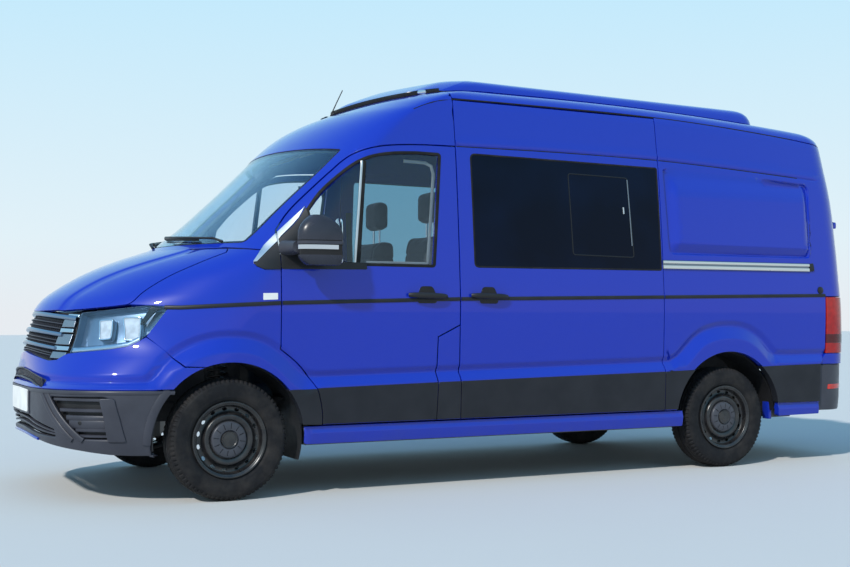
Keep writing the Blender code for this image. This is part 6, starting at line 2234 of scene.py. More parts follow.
@dataclass
class Tail:
    """Back doors, tail lamps, rear bumper, plate and high brake lamp."""

    lamp_x: float = -2.5655
    lamp_low: float = 0.792
    lamp_high: float = 1.206
    lamp_inner: float = 0.856
    post_inner: float = 0.8325
    door_half: float = 0.8265
    plate_y: float = 0.425

    def build(self) -> None:
        """Make every piece."""
        for label, side in SIDES:
            self._door(label, side)
            self._lamp(label, side)
            self._corner_post(label, side)
            self._hinges(label, side)
        self._centre()
        self._bumper()

    def _pressed(self, y: np.ndarray, z: np.ndarray) -> np.ndarray:
        """Depth of the pressed window field and lower field of a back door."""
        points = np.stack([np.abs(y), z], 1)
        height = np.zeros(len(y))
        for loop, depth, soft in self.fields():
            within = inside(points, loop)
            gap = np.abs(distance_to(points, loop, True))
            height += np.where(within, depth * ramp(gap, 0.0, soft), 0.0)
        return height

    @staticmethod
    def fields() -> list[tuple[np.ndarray, float, float]]:
        """Outline, height and edge width of each pressed field on a back door."""
        window = rounded([(0.120, 1.365, 0.05), (0.735, 1.365, 0.07), (0.700, 2.110, 0.10),
                          (0.125, 2.110, 0.06)])
        lower = rounded([(0.110, 0.720, 0.04), (0.740, 0.735, 0.05), (0.745, 1.215, 0.05),
                         (0.110, 1.215, 0.04)])
        return [(np.array(window), -0.008, 0.022), (np.array(lower), -0.007, 0.026)]

    def _door(self, label: str, side: int) -> None:
        """One back door with its rolled edges and pressed fields."""
        half = self.door_half
        outline = [(0.0042, 0.628), (half - 0.002, 0.628), (half, 1.000), (half - 0.002, 1.500),
                   (half - 0.004, 2.327), (0.0230, 2.327), (0.0170, 2.150), (0.0085, 1.800),
                   (0.0045, 1.400)]
        seeds = []
        for loop, _, soft in self.fields():
            fixed = loop if signed_area(loop) > 0 else loop[::-1]
            seeds += [offset(fixed, k * soft) for k in (0.0, 0.33, 0.66, 1.0, 1.4)]

        def surface(y: np.ndarray, z: np.ndarray) -> np.ndarray:
            return np.stack([FORM.tail(y, z) - self._pressed(y, z), y, z], 1)
        Panel(f"rear_door_skin_{label}", outline, surface, BACKWARD, seeds=seeds,
              thickness=0.050, roll=0.003, spacing=0.06).add(
            "paint", PAINT, LINING, body=f"rear_door_{label}", replaces=[f"rear_door_{label}"],
            side=side)

    def _lamp(self, label: str, side: int) -> None:
        """Red tail lamp that wraps the corner, with a darker band across its foot."""
        shape = round_tail(FORM.TAIL_CORNER, FORM.TAIL_POWER)
        bands = (("lens", self.lamp_high, self.lamp_low, RED_LENS),
                 ("fog", 0.934, 0.866, DARK_RED_LENS))
        for k, (name, high, low, finish) in enumerate(bands):
            outer = [tail_reach(shape, self.lamp_x - 0.001, z) for z in (low, high)]
            inner = []
            for z in (low, high):
                inner.append(round_at(self.lamp_inner, FORM.half_at(z)))
            outline = rounded([(inner[0], low, 0.006), (outer[0], low, 0.006),
                               (outer[1], high, 0.006), (inner[1], high, 0.006)])
            Panel(f"tail_lamp_{name}_{label}", outline, round_tail(FORM.TAIL_CORNER,
                                                                   FORM.TAIL_POWER,
                                                                   raised=0.002 + 0.0016 * k),
                  BACKWARD, thickness=0.018, roll=0.004, spacing=0.03, inset=0.0004).add(
                "tail_lamp", finish, replaces=[f"tail_lamp_{label}"] if k == 0 else (), side=side)

    def _corner_post(self, label: str, side: int) -> None:
        """Corner post above the tail lamp, between the door and the side skin."""
        shape = round_tail(FORM.TAIL_CORNER, FORM.TAIL_POWER, raised=-0.0015)
        inner, outer = [], []
        for z in np.linspace(1.210, 2.324, 14):
            inner.append((round_at(self.post_inner, FORM.half_at(z)), float(z)))
            back = float(np.interp(z, *np.array(SIDE_BACK).T[::-1]))
            outer.append((tail_reach(shape, back + 0.010, float(z)), float(z)))
        Panel(f"corner_post_{label}", [*inner, *outer[::-1]], shape, BACKWARD, thickness=0.030,
              roll=0.003, spacing=0.04).add("paint", PAINT, DARK_LINING, side=side)

    def _hinges(self, label: str, side: int) -> None:
        """Two strap hinges on the corner post."""
        for k, z in enumerate((0.900, 1.752)):
            y = 0.812 if k == 0 else 0.829
            x = FORM.back(y, z)
            strap = prism(f"hinge_strap_{label}_{k}", [
                (x + 0.004, z - 0.030), (x - 0.014, z - 0.028), (x - 0.018, z - 0.012),
                (x - 0.018, z + 0.012), (x - 0.014, z + 0.028), (x + 0.004, z + 0.030)],
                *sorted((side * (y - 0.085), side * (y - 0.004))), edge=0.003)
            dress(strap, "paint", PAINT, body=f"rear_door_{label}")
            post = prism(f"hinge_post_{label}_{k}", [
                (x + 0.030, z - 0.026), (x - 0.010, z - 0.024), (x - 0.015, z - 0.010),
                (x - 0.015, z + 0.010), (x - 0.010, z + 0.024), (x + 0.030, z + 0.026)],
                *sorted((side * (y + 0.006), side * (y + 0.040))), edge=0.003)
            dress(post, "paint", PAINT)
            pin = np.array([(x - 0.012, side * (y + 0.001), z + t) for t in (-0.030, 0.0, 0.030)])
            dress(tube(f"hinge_pin_{label}_{k}", pin, 0.0085, 14), "paint", PAINT)

    def _centre(self) -> None:
        """Centre seal, handle, blank plate with its lamps, and the high brake lamp."""
        zs = np.linspace(0.632, 2.322, 40)
        wide = np.interp(zs, (0.63, 1.4, 1.8, 2.15, 2.33), (0.006, 0.006, 0.012, 0.020, 0.025))
        x = FORM.tail(np.zeros_like(zs), zs)
        rings = np.array([[(a + 0.012, -w, z), (a - 0.001, -w, z), (a - 0.003, 0, z),
                           (a - 0.001, w, z), (a + 0.012, w, z)]
                          for a, w, z in zip(x, wide - 0.0025, zs)])
        dress(loft("back_door_seal", rings), "rubber", SEAL, body="rear_door_left")
        base = FORM.back(0.06, 1.150)
        pull = prism("back_handle_cup", rounded([(0.030, 1.095, 0.01), (0.160, 1.095, 0.02),
                                                 (0.160, 1.170, 0.02), (0.030, 1.170, 0.01)]),
                     base - 0.006, base + 0.010, Plane.YZ, edge=0.003)
        dress(pull, "plastic", GLOSS_BLACK, body="rear_door_left")
        path = np.array([(base - 0.004, 0.038, 1.135), (base - 0.022, 0.055, 1.135),
                         (base - 0.026, 0.095, 1.135), (base - 0.022, 0.135, 1.135),
                         (base - 0.004, 0.152, 1.135)])
        dress(tube("back_handle", path, 0.011, 12, 1.2), "plastic", BLACK_PLASTIC,
              body="rear_door_left")
        for name, half, low, high, lift, finish in (
                ("plate_recess", 0.290, 0.865, 1.045, 0.000, BLACK_PLASTIC),
                ("rear_plate", 0.262, 0.890, 1.004, 0.006, PLATE_YELLOW)):
            left, right = self.plate_y + half, self.plate_y - half
            outline = rounded([(y, z, 0.008) for y, z in (
                (right, low), (left, low), (left, high), (right, high))])
            Panel(name, outline, tail_surface(lift), BACKWARD, thickness=0.012, roll=0.002,
                  spacing=0.08).add("plastic", finish, body="rear_door_left")
        for k, y in enumerate((0.300, 0.550)):
            at = FORM.back(y, 1.026)
            lamp = block(f"plate_lamp_{k}", (at - 0.016, y - 0.030, 1.015),
                         (at + 0.004, y + 0.030, 1.036), 0.003)
            dress(lamp, "plastic", WHITE_LENS, body="rear_door_left")
        outline = rounded([(-0.170, 2.352, 0.008), (0.170, 2.352, 0.008), (0.165, 2.376, 0.008),
                           (-0.165, 2.376, 0.008)])
        Panel("high_brake_lamp", outline, tail_surface(0.006), BACKWARD, thickness=0.014,
              roll=0.003, spacing=0.05).add("tail_lamp", RED_LENS)

    def _bumper(self) -> None:
        """Rear bumper with painted shoulders, a tread step, reflectors and sensors."""
        def around(raised: float) -> Surface:
            return round_tail(corner=0.42, power=3.3, longer=0.078, wider=0.004, raised=raised)
        shape = around(0.0)
        ends = {z: tail_reach(shape, -2.4995, z) for z in (0.362, 0.50, 0.640, 0.702)}
        step = round_at(0.852, 0.998)
        lower = [(0.0, 0.366), (0.60, 0.366), (ends[0.362] - 0.02, 0.372), (ends[0.50], 0.395),
                 (ends[0.50], 0.50), (ends[0.640], 0.648), (ends[0.702], 0.708),
                 (step + 0.02, 0.708), (step, 0.6105), (0.0, 0.6105)]
        Panel("rear_bumper_skin", both(lower), shape, BACKWARD, thickness=0.030, roll=0.006,
              spacing=0.05).add("plastic", DARK_PLASTIC, replaces=["rear_bumper"])
        for label, side in SIDES:
            post = round_tail(FORM.TAIL_CORNER, FORM.TAIL_POWER)
            inner = round_at(self.lamp_inner, FORM.half_at(0.75))
            cap = [(inner, 0.712), (tail_reach(post, -2.498, 0.712), 0.712),
                   (tail_reach(post, -2.566, 0.789), 0.789), (inner, 0.789)]
            outline = [(a * side, b) for a, b in rounded([(*p, 0.004) for p in cap])]
            Panel(f"corner_post_foot_{label}", outline, post, BACKWARD, thickness=0.030,
                  roll=0.004, spacing=0.04).add("paint", PAINT, DARK_LINING)
            a = tail_reach(around(0.0), -2.586, 0.547)
            inner = round_at(0.90, 0.999)
            loop = [(k * side, z) for k, z in rounded([
                (inner, 0.528, 0.006), (a, 0.526, 0.006), (a - 0.006, 0.562, 0.006),
                (inner, 0.560, 0.006)])]
            Panel(f"rear_reflector_{label}", loop, around(0.003), BACKWARD, thickness=0.008,
                  roll=0.002, spacing=0.03).add("tail_lamp", REFLECTOR)
            for k, y in enumerate((0.28, 0.66)):
                x = float(shape(np.array([round_at(y, 0.995)]), np.array([0.50]))[0, 0])
                disc = revolved(f"rear_sensor_{label}_{k}", [
                    (-0.004, 0.0), (-0.004, 0.012), (0.002, 0.011), (0.003, 0.0)], 20)
                disc.data.transform(Matrix.Translation((x, side * y, 0.50))
                                    @ Matrix.Rotation(math.pi / 2, 4, "Z"))
                dress(disc, "plastic", BLACK_PLASTIC)
        ys = np.linspace(-0.845, 0.845, 30)
        us = TAIL_SPAN * np.arcsin(ys / 0.998) / (math.pi / 2)
        rear = shape(us, np.full(30, 0.606))[:, 0] + 0.004
        edge = list(zip(rear, ys))
        outline = edge + [(-2.560, 0.845), (-2.560, -0.845)]
        tread = prism("bumper_step", outline, 0.596, 0.610, Plane.XY, edge=0.003)
        dress(tread, "plastic", DARK_PLASTIC)
        ribs = []
        for k in range(26):
            y = -0.80 + k * 0.064
            x = float(np.interp(y, ys, rear))
            ribs.append(block("rib", (x + 0.025, y - 0.010, 0.608), (x + 0.200, y + 0.010, 0.6125),
                              0.0015))
        dress(joined("bumper_step_ribs", ribs), "plastic", DARK_PLASTIC)


# ------------------------------------------------------------------ mirrors
@dataclass
class Mirrors:
    """Door mirrors: cap, lit band, lower bowl, arm and glass."""

    low: float = 1.360
    high: float = 1.652
    crown_from: float = 1.500
    bowl_top: float = 1.418
    inner: float = 1.062
    outer: float = 1.205
    front: float = 1.648
    back: float = 1.392

    def build(self) -> None:
        """Make both mirrors."""
        for label, side in SIDES:
            self._head(label, side)
            self._arm(label, side)

    def _section(self, z: float, shrink: float = 0.0) -> np.ndarray:
        """Level outline of the head: bluff at the back, rounded in front."""
        top = max(0.0, (z - self.crown_from) / (self.high - self.crown_from))
        foot = max(0.0, (self.bowl_top - z) / (self.bowl_top - self.low))
        middle_y = 0.5 * (self.inner + self.outer) - 0.014 * top ** 2
        half_y = 0.5 * (self.outer - self.inner) * (1.0 - 0.42 * top ** 3 - 0.22 * foot ** 2)
        nose = self.front - 0.085 * top ** 3 - 0.050 * foot ** 2 - shrink
        back = self.back + 0.110 * top ** 3.2 + 0.012 * foot ** 2
        turn = np.linspace(0, math.pi, 24)
        arc = np.stack([back + 0.030 + (nose - back - 0.030) * np.sin(turn) ** 0.62,
                        middle_y + (half_y - shrink) * np.cos(turn)], 1)
        rear = np.array([(back + 0.004, middle_y - (half_y - shrink) * 0.985),
                         (back, middle_y - (half_y - shrink) * 0.93),
                         (back, middle_y + (half_y - shrink) * 0.93),
                         (back + 0.004, middle_y + (half_y - shrink) * 0.985)])
        ring = np.vstack([arc, rear])
        return np.column_stack([ring, np.full(len(ring), z)])

    def _head(self, label: str, side: int) -> None:
        """Cap over a bright band, another band and the lower bowl."""
        body = f"front_door_{label}"
        spans = (("cap", 1.504, self.high, 0.0, MIRROR_PLASTIC),
                 ("groove", 1.497, 1.506, 0.006, GLOSS_BLACK),
                 ("shelf", 1.480, 1.4985, -0.001, DARK_PLASTIC),
                 ("core", 1.416, 1.481, 0.009, GLOSS_BLACK),
                 ("bowl", self.low, self.bowl_top, 0.002, MIRROR_PLASTIC))
        for name, low, high, shrink, finish in spans:
            steps = 16 if name in ("cap", "bowl") else 3
            t = np.linspace(0, 1, steps)
            t = 1 - (1 - t) ** 2 if name == "cap" else (t ** 2 if name == "bowl" else t)
            rings = np.array([self._section(low + (high - low) * k, shrink) for k in t])
            rings[:, :, 1] *= side
            piece = loft(f"mirror_{name}_{label}", rings, degrees=38)
            dress(piece, "plastic", finish, body=body, replaces=[f"mirror_{label}"]
                  if name == "cap" else ())
        keep = [k for k, p in enumerate(self._section(1.463)[:24]) if p[1] > 1.072]
        faces = [(1.4485, 0.004), (1.4505, 0.0005), (1.4755, 0.0005), (1.4775, 0.004),
                 (1.4775, 0.012), (1.4485, 0.012)]
        rings = np.array([self._section(z, shrink)[keep] * (1, side, 1)
                          for z, shrink in faces]).transpose(1, 0, 2)
        lamp = loft(f"mirror_lamp_{label}", rings, degrees=50)
        dress(lamp, "headlamp", CHROME, body=body)
        for name, low, high in (("main", 1.478, 1.636), ("wide", 1.372, 1.424)):
            outline = rounded([(self.inner + 0.014, low, 0.02), (self.outer - 0.014, low, 0.02),
                               (self.outer - 0.022, high, 0.04), (self.inner + 0.018, high, 0.04)])
            pane = prism(f"mirror_glass_{name}_{label}", [(a * side, b) for a, b in outline],
                         self.back - 0.003, self.back + 0.002, Plane.YZ, edge=0.001)
            dress(pane, "clear_glass", MIRROR_GLASS, body=body)

    def _arm(self, label: str, side: int) -> None:
        """Arm from the corner of the door to the head."""
        rings = []
        for t in np.linspace(0, 1, 10):
            y = 0.985 + (1.100 - 0.985) * t
            cx = 1.650 - 0.036 * t
            cz = 1.464 + 0.002 * t
            turn = circle(18)
            wide, tall = 0.052 + 0.010 * (1 - t) ** 2, 0.036 + 0.010 * (1 - t) ** 2
            across, up = (np.sign(k) * np.abs(k) ** 0.7 for k in (np.cos(turn), np.sin(turn)))
            rings.append(np.stack([cx + wide * across, np.full(18, y * side), cz + tall * up], 1))
        arm = loft(f"mirror_arm_{label}", np.array(rings))
        dress(arm, "plastic", DARK_PLASTIC, body=f"front_door_{label}")


# ------------------------------------------------------------------ wheels
@dataclass
class Wheels:
    """Pressed steel wheels with centre caps, treaded tyres and brakes."""

    blocks: int = 76  # tread blocks round the tyre
    vents: int = 15  # holes in the wheel
    vent_ring: float = 0.1765  # radius on which they lie
    tread_from: float = 0.3395  # radius from which the tyre wears tread rubber
    track: tuple[tuple[str, float, float], ...] = (
        ("front_left", FRONT_AXLE_X, 0.8785), ("front_right", FRONT_AXLE_X, -0.8785),
        ("rear_left", REAR_AXLE_X, 0.8690), ("rear_right", REAR_AXLE_X, -0.8690))

    def build(self) -> None:
        """Make one of each part and place copies at the four corners."""
        parts = [("tyre", self._tyre(), (TYRE, TREAD), "rubber"),
                 ("wheel", self._wheel(), (STEEL,), "wheel_steel"),
                 ("cap", self._cap(), (CAP_PLASTIC,), "plastic"),
                 ("cap_boss", self._boss(), (STEEL,), "wheel_steel"),
                 ("valve", self._valve(), (SEAL,), "rubber"),
                 ("brake_disc", self._disc(), (DISC,), "cast")]
        for label, x, y in self.track:
            side = 1 if y > 0 else -1
            for kind, source, finishes, slot in parts:
                mesh = source.data.copy()
                if side < 0:
                    mirror(mesh)
                mesh.transform(Matrix.Translation((x, y, AXLE_Z)))
                road = kind in ("tyre", "wheel")
                made = placed(f"{'road_' * road}{kind}_{label}", mesh)
                dress(made, slot, *finishes, body=f"wheel_{label}",
                      replaces=[f"{kind}_{label}"] if road else ())
        for _, source, _, _ in parts:
            bpy.data.objects.remove(source, do_unlink=True)

    def _tyre(self) -> bpy.types.Object:
        """Tyre with shoulder blocks, slits, round grooves and raised sidewall rings."""
        wall = curve([(0.0800, 0.2045), (0.0812, 0.2220), (0.0880, 0.2330), (0.0965, 0.2560),
                      (0.1010, 0.2800), (0.1018, 0.2980), (0.0995, 0.3170), (0.0930, 0.3330),
                      (0.0880, 0.3405)], 5)
        tread = [(0.0860, 0.3425), (0.0800, 0.3458), (0.0740, 0.3475), (0.0660, 0.3488),
                 (0.0600, 0.3496), (0.0585, 0.3498), (0.0575, 0.3499), (0.0500, 0.3504),
                 (0.0400, 0.3509), (0.0330, 0.3512), (0.0320, 0.3512), (0.0310, 0.3512),
                 (0.0255, 0.3514), (0.0245, 0.3514), (0.0235, 0.3514), (0.0120, 0.3517),
                 (0.0055, 0.3518), (0.0045, 0.3518), (0.0035, 0.3518)]
        half = wall + tread
        ring = np.array(half + [(-y, r) for y, r in reversed(half)])
        steps = self.blocks * 5
        turn = circle(steps)
        phase = (np.arange(steps) % 5)
        rings = []
        y, r = ring.T
        deep = np.zeros(len(ring))
        for low, high in ((0.0035, 0.0050), (0.0310, 0.0335), (0.0575, 0.0600)):
            deep += np.where((np.abs(y) >= low - 1e-6) & (np.abs(y) <= high), 0.0065, 0.0)
        shoulder = (np.abs(y) > 0.0600) & (r > 0.330)
        middle = (np.abs(y) > 0.0340) & (np.abs(y) < 0.0570) & (r > 0.345)
        rim = np.where(r < 0.330, 0.0012 * np.exp(-((r - 0.318) / 0.0025) ** 2)
                       + 0.0016 * np.exp(-((r - 0.246) / 0.003) ** 2), 0.0)
        for k, angle in enumerate(turn):
            slot = 0.0055 if phase[k] in (0, 1) else 0.0
            slit = 0.0030 if phase[k] == 3 else 0.0
            cut = deep + np.where(shoulder, slot, 0.0) + np.where(middle, slit, 0.0)
            reach = r - cut
            out = y + np.sign(y) * (rim - np.where(shoulder & (r < 0.3445), slot * 0.4, 0.0))
            rings.append(np.stack([reach * np.cos(angle), out, reach * np.sin(angle)], 1))
        made = loft("tyre_source", np.array(rings), wrap=True, degrees=38)
        tread_zone = r > self.tread_from
        slots = (tread_zone & np.roll(tread_zone, -1)).astype(int).tolist() * steps
        for _ in range(2):
            made.data.materials.append(None)
        made.data.polygons.foreach_set("material_index", slots)
        return made

    def _wheel(self) -> bpy.types.Object:
        """Rim barrel with its stepped lip, and the vented disc."""
        rim = revolved("rim", [
            (-0.0940, 0.2130), (-0.0930, 0.2190), (-0.0890, 0.2212), (-0.0845, 0.2190),
            (-0.0828, 0.2050), (0.0828, 0.2050), (0.0845, 0.2190), (0.0890, 0.2215),
            (0.0940, 0.2200), (0.0955, 0.2160), (0.0945, 0.2115), (0.0905, 0.2090),
            (0.0880, 0.2050), (0.0868, 0.2010), (0.0830, 0.1985), (0.0640, 0.1972),
            (0.0590, 0.1945), (0.0200, 0.1900), (-0.0600, 0.1900), (-0.0860, 0.1990)], 120, 50)
        face = curve([(0.0600, 0.1955), (0.0560, 0.1930), (0.0500, 0.1895), (0.0470, 0.1830),
                      (0.0465, 0.1765), (0.0475, 0.1690), (0.0520, 0.1600), (0.0600, 0.1530),
                      (0.0700, 0.1480), (0.0760, 0.1430), (0.0780, 0.1370), (0.0775, 0.1300),
                      (0.0750, 0.1220), (0.0700, 0.1130), (0.0660, 0.1080)], 2)
        profile = list(face) + [(0.0655, 0.0300), (0.0600, 0.0300), (0.0600, 0.1060),
                                (0.0690, 0.1240), (0.0700, 0.1360), (0.0660, 0.1420),
                                (0.0560, 0.1480), (0.0470, 0.1560), (0.0410, 0.1690),
                                (0.0405, 0.1830), (0.0450, 0.1900), (0.0540, 0.1945)]
        disc = revolved("disc", profile, 120, 50)
        cutters = []
        for k in range(self.vents):
            angle = 2 * math.pi * (k + 0.5) / self.vents
            turn = circle(14)
            flat = [(0.0150 * math.cos(t), 0.0095 * math.sin(t)) for t in turn]
            slot = prism("cut", flat, -0.02, 0.12)
            place = Matrix.Rotation(-angle, 4, "Y") @ Matrix.Translation(
                (self.vent_ring, 0, 0)) @ Matrix.Rotation(math.pi / 2, 4, "Y")
            slot.data.transform(place)
            cutters.append(slot)
        return joined("wheel_source", [rim, cut_by(disc, cutters)])

    def _cap(self) -> bpy.types.Object:
        """Centre cap with twelve slots."""
        cap = revolved("cap_source", [
            (0.0640, 0.1045), (0.0760, 0.1045), (0.0815, 0.1020), (0.0845, 0.0960),
            (0.0870, 0.0780), (0.0880, 0.0600), (0.0870, 0.0560), (0.0820, 0.0540),
            (0.0800, 0.0500), (0.0800, 0.0200), (0.0640, 0.0200)], 96, 40)
        cutters = []
        for k in range(12):
            angle = 2 * math.pi * (k + 0.25) / 12
            slot = block("cut", (0.0630, 0.0790, -0.0022), (0.0955, 0.1000, 0.0022), 0.0)
            slot.data.transform(Matrix.Rotation(-angle, 4, "Y"))
            cutters.append(slot)
        return cut_by(cap, cutters)

    def _boss(self) -> bpy.types.Object:
        """Plain domed boss in the middle of the cap."""
        return revolved("boss_source", [
            (0.0700, 0.0495), (0.0860, 0.0495), (0.0900, 0.0470), (0.0905, 0.0430),
            (0.0880, 0.0400), (0.0890, 0.0300), (0.0905, 0.0150), (0.0910, 0.0), (0.0700, 0.0)],
            72, 40)

    def _valve(self) -> bpy.types.Object:
        """Tyre valve on the rim."""
        path = np.array([(0.0, 0.055, 0.196), (0.0, 0.072, 0.192), (0.0, 0.088, 0.186)])
        made = tube("valve_source", path, (0.0045, 0.0040, 0.0038), 10)
        made.data.transform(Matrix.Rotation(math.radians(200), 4, "Y"))
        return made

    def _disc(self) -> bpy.types.Object:
        """Brake disc behind the wheel."""
        return revolved("disc_source", [
            (-0.014, 0.150), (0.014, 0.150), (0.014, 0.092), (0.038, 0.088), (0.038, 0.040),
            (0.030, 0.040), (0.030, 0.080), (0.006, 0.086), (-0.014, 0.090)], 72, 35)


# ------------------------------------------------------------------ sills and underside
@dataclass
class Chassis:
    """Painted sills, splash guards, running gear finishes and what shows below."""

    sill_top: float = 0.4125
    sill_foot: float = 0.3015

    def build(self) -> None:
        """Make the sills and finish the carried-over nodes."""
        for label, side in SIDES:
            self._sill(label, side)
            self._arch_liner(label, side)
            self._strut(label, side)
        for node, finish in (("platform", UNDERSEAL), ("engine", CAST), ("rear_axle", CAST),
                             ("knuckle_left", CAST), ("knuckle_right", CAST)):
            for place in bpy.data.objects[node].material_slots:
                place.material = finish.material()
            LOG.info("%s wears %s", node, finish.name)
        self._exhaust()

    def _sill(self, label: str, side: int) -> None:
        """Sill skin: a bevel that catches the light over an upright face."""
        def surface(x: np.ndarray, z: np.ndarray) -> np.ndarray:
            height = 0.007 + 0.0150 * flat_ramp((0.408 - z) / 0.040, 0.15)
            height = height * (0.25 + 0.75 * ramp(x, 1.552, 1.515))
            return flush_side()(x, z) + height[:, None] * (0, 1, 0)
        foot, top = self.sill_foot + 0.004, self.sill_top - 0.001
        outline = rounded([(1.546, foot, 0.02), (1.546, top, 0.004), (-1.246, top),
                           (-1.246, foot, 0.01)])
        lines = [np.array([(1.54, z), (-1.24, z)]) for z in
                 (0.409, 0.404, 0.398, 0.388, 0.376, 0.371, 0.366, 0.350, 0.325)]
        lines += [np.array([(x, 0.31), (x, 0.405)]) for x in (1.532, 1.518)]
        Panel(f"sill_skin_{label}", outline, surface, seeds=lines, thickness=0.018, roll=0.004,
              spacing=0.08, seed_spacing=0.05).add("paint", PAINT, DARK_LINING, side=side)

    def _arch_liner(self, label: str, side: int) -> None:
        """Black liners under both arches, and the painted foot behind the rear one."""
        for name, axle, radius, low, high, inner in (
                ("rear", REAR_AXLE_X, REAR_ARCH, 9.0, 176.0, 0.740),
                ("front", FRONT_AXLE_X, FRONT_ARCH, -6.0, 42.0, 0.640)):
            shell = []
            for t in np.radians(np.linspace(low, high, 44)):
                ring = []
                for r, y in ((radius + 0.003, inner), (radius + 0.003, 0.950),
                             (radius - 0.004, 0.950), (radius - 0.004, inner)):
                    ring.append((axle + r * math.cos(t), y * side, AXLE_Z + r * math.sin(t)))
                shell.append(ring)
            piece = loft(f"arch_liner_{name}_{label}", np.array(shell))
            dress(piece, "under", BLACK_PLASTIC)
        foot = prism(f"arch_foot_{label}", [
            (0.912, 0.318), (0.912, 0.545), (0.885, 0.568), (0.800, 0.560), (0.800, 0.545),
            (0.845, 0.535), (0.845, 0.318)], -2.118, -2.092, Plane.YZ, 0.003)
        if side < 0:
            mirror(foot.data)
        dress(foot, "paint", PAINT)

    def _strut(self, label: str, side: int) -> None:
        """Coil spring and damper over the front knuckle, leaf spring at the back."""
        turns = np.linspace(0, 6.5 * 2 * math.pi, 130)
        path = np.stack([FRONT_AXLE_X - 0.02 + 0.055 * np.cos(turns),
                         side * (0.640 + 0.055 * np.sin(turns)),
                         0.560 + 0.230 * turns / turns[-1]], 1)
        dress(tube(f"coil_spring_{label}", path, 0.0070, 8), "cast", STEEL)
        rod = np.array([(FRONT_AXLE_X - 0.02, side * 0.640, z) for z in (0.50, 0.60, 0.80)])
        dress(tube(f"damper_{label}", rod, (0.030, 0.030, 0.016), 16), "cast", UNDERSEAL)
        xs = np.linspace(-2.25, -1.02, 30)
        spring = np.stack([xs, np.full(30, side * 0.600),
                           0.300 + 0.115 * ((xs - REAR_AXLE_X) / 0.62) ** 2], 1)
        section = [(-0.035, -0.007), (0.035, -0.007), (0.035, 0.007), (-0.035, 0.007)]
        rings = np.array([[(p[0], p[1] + a, p[2] + b) for a, b in section] for p in spring])
        dress(loft(f"leaf_spring_{label}", rings, degrees=30), "cast", CAST)

    def _exhaust(self) -> None:
        """Exhaust pipe with its silencer, and the fuel tank."""
        path = np.array(curve([(1.90, 0.20), (1.40, 0.26), (0.80, 0.34), (0.10, 0.36),
                               (-0.60, 0.36), (-1.05, 0.40)], 6))
        pipe = np.column_stack([path[:, 0], -path[:, 1], np.full(len(path), 0.395)])
        dress(tube("exhaust_pipe", pipe, 0.030, 18), "cast", CAST)
        box_path = np.array([(x, -0.355, 0.385) for x in (0.46, 0.44, 0.30, 0.00, -0.14, -0.16)])
        dress(tube("silencer", box_path, (0.035, 0.085, 0.095, 0.095, 0.085, 0.035), 28, 0.62),
              "cast", CAST)
        tank = block("fuel_tank", (0.20, 0.20, 0.335), (1.20, 0.66, 0.4495), 0.030)
        dress(tank, "under", BLACK_PLASTIC)


# ------------------------------------------------------------------ cab
def pressed_out(obj: bpy.types.Object, pressure: float, most: float) -> bpy.types.Object:
    """Swell a closed form like a stuffed cover.

    Args:
        obj: closed form to stuff.
        pressure: air pressure in the simulation.
        most: furthest that a point may move.

    Returns:
        The same object with the swollen shape applied.
    """
    grid = obj.modifiers.new("grid", "REMESH")
    grid.mode, grid.voxel_size = "VOXEL", 0.010
    applied(obj)
    before = np.array([v.co[:] for v in obj.data.vertices])
    step = obj.modifiers.new("cover", "CLOTH")
    rules = step.settings
    rules.use_pressure, rules.uniform_pressure_force = True, pressure
    rules.effector_weights.gravity = 0.0
    rules.quality = 5
    rules.tension_stiffness = rules.compression_stiffness = 30.0
    rules.shear_stiffness = 15.0
    rules.mass = 0.3
    step.point_cache.frame_start, step.point_cache.frame_end = 1, 14
    scene = bpy.context.scene
    for frame in range(1, 15):
        scene.frame_set(frame)
    applied(obj)
    scene.frame_set(1)
    after = np.array([v.co[:] for v in obj.data.vertices])
    move = after - before
    size = np.linalg.norm(move, axis=1, keepdims=True)
    move *= np.minimum(1.0, most / np.maximum(size, 1e-9))
    obj.data.vertices.foreach_set("co", (before + move).ravel())
    soft = obj.modifiers.new("soft", "SMOOTH")
    soft.factor, soft.iterations = 0.5, 6
    applied(obj)
    for face in obj.data.polygons:
        face.use_smooth = True
    return obj


def stitched(obj: bpy.types.Object, lines: Sequence[tuple[int, float, float, float]]) -> None:
    """Press sewn channels into a pad.

    Args:
        obj: the pad.
        lines: axis number, place on it, depth and half width of each channel.
    """
    points = np.array([v.co[:] for v in obj.data.vertices])
    normals = np.array([v.normal[:] for v in obj.data.vertices])
    for axis, place, depth, width in lines:
        near = np.exp(-((points[:, axis] - place) / width) ** 2)
        points = points - normals * (depth * near)[:, None]
    obj.data.vertices.foreach_set("co", points.ravel())
    obj.data.update()


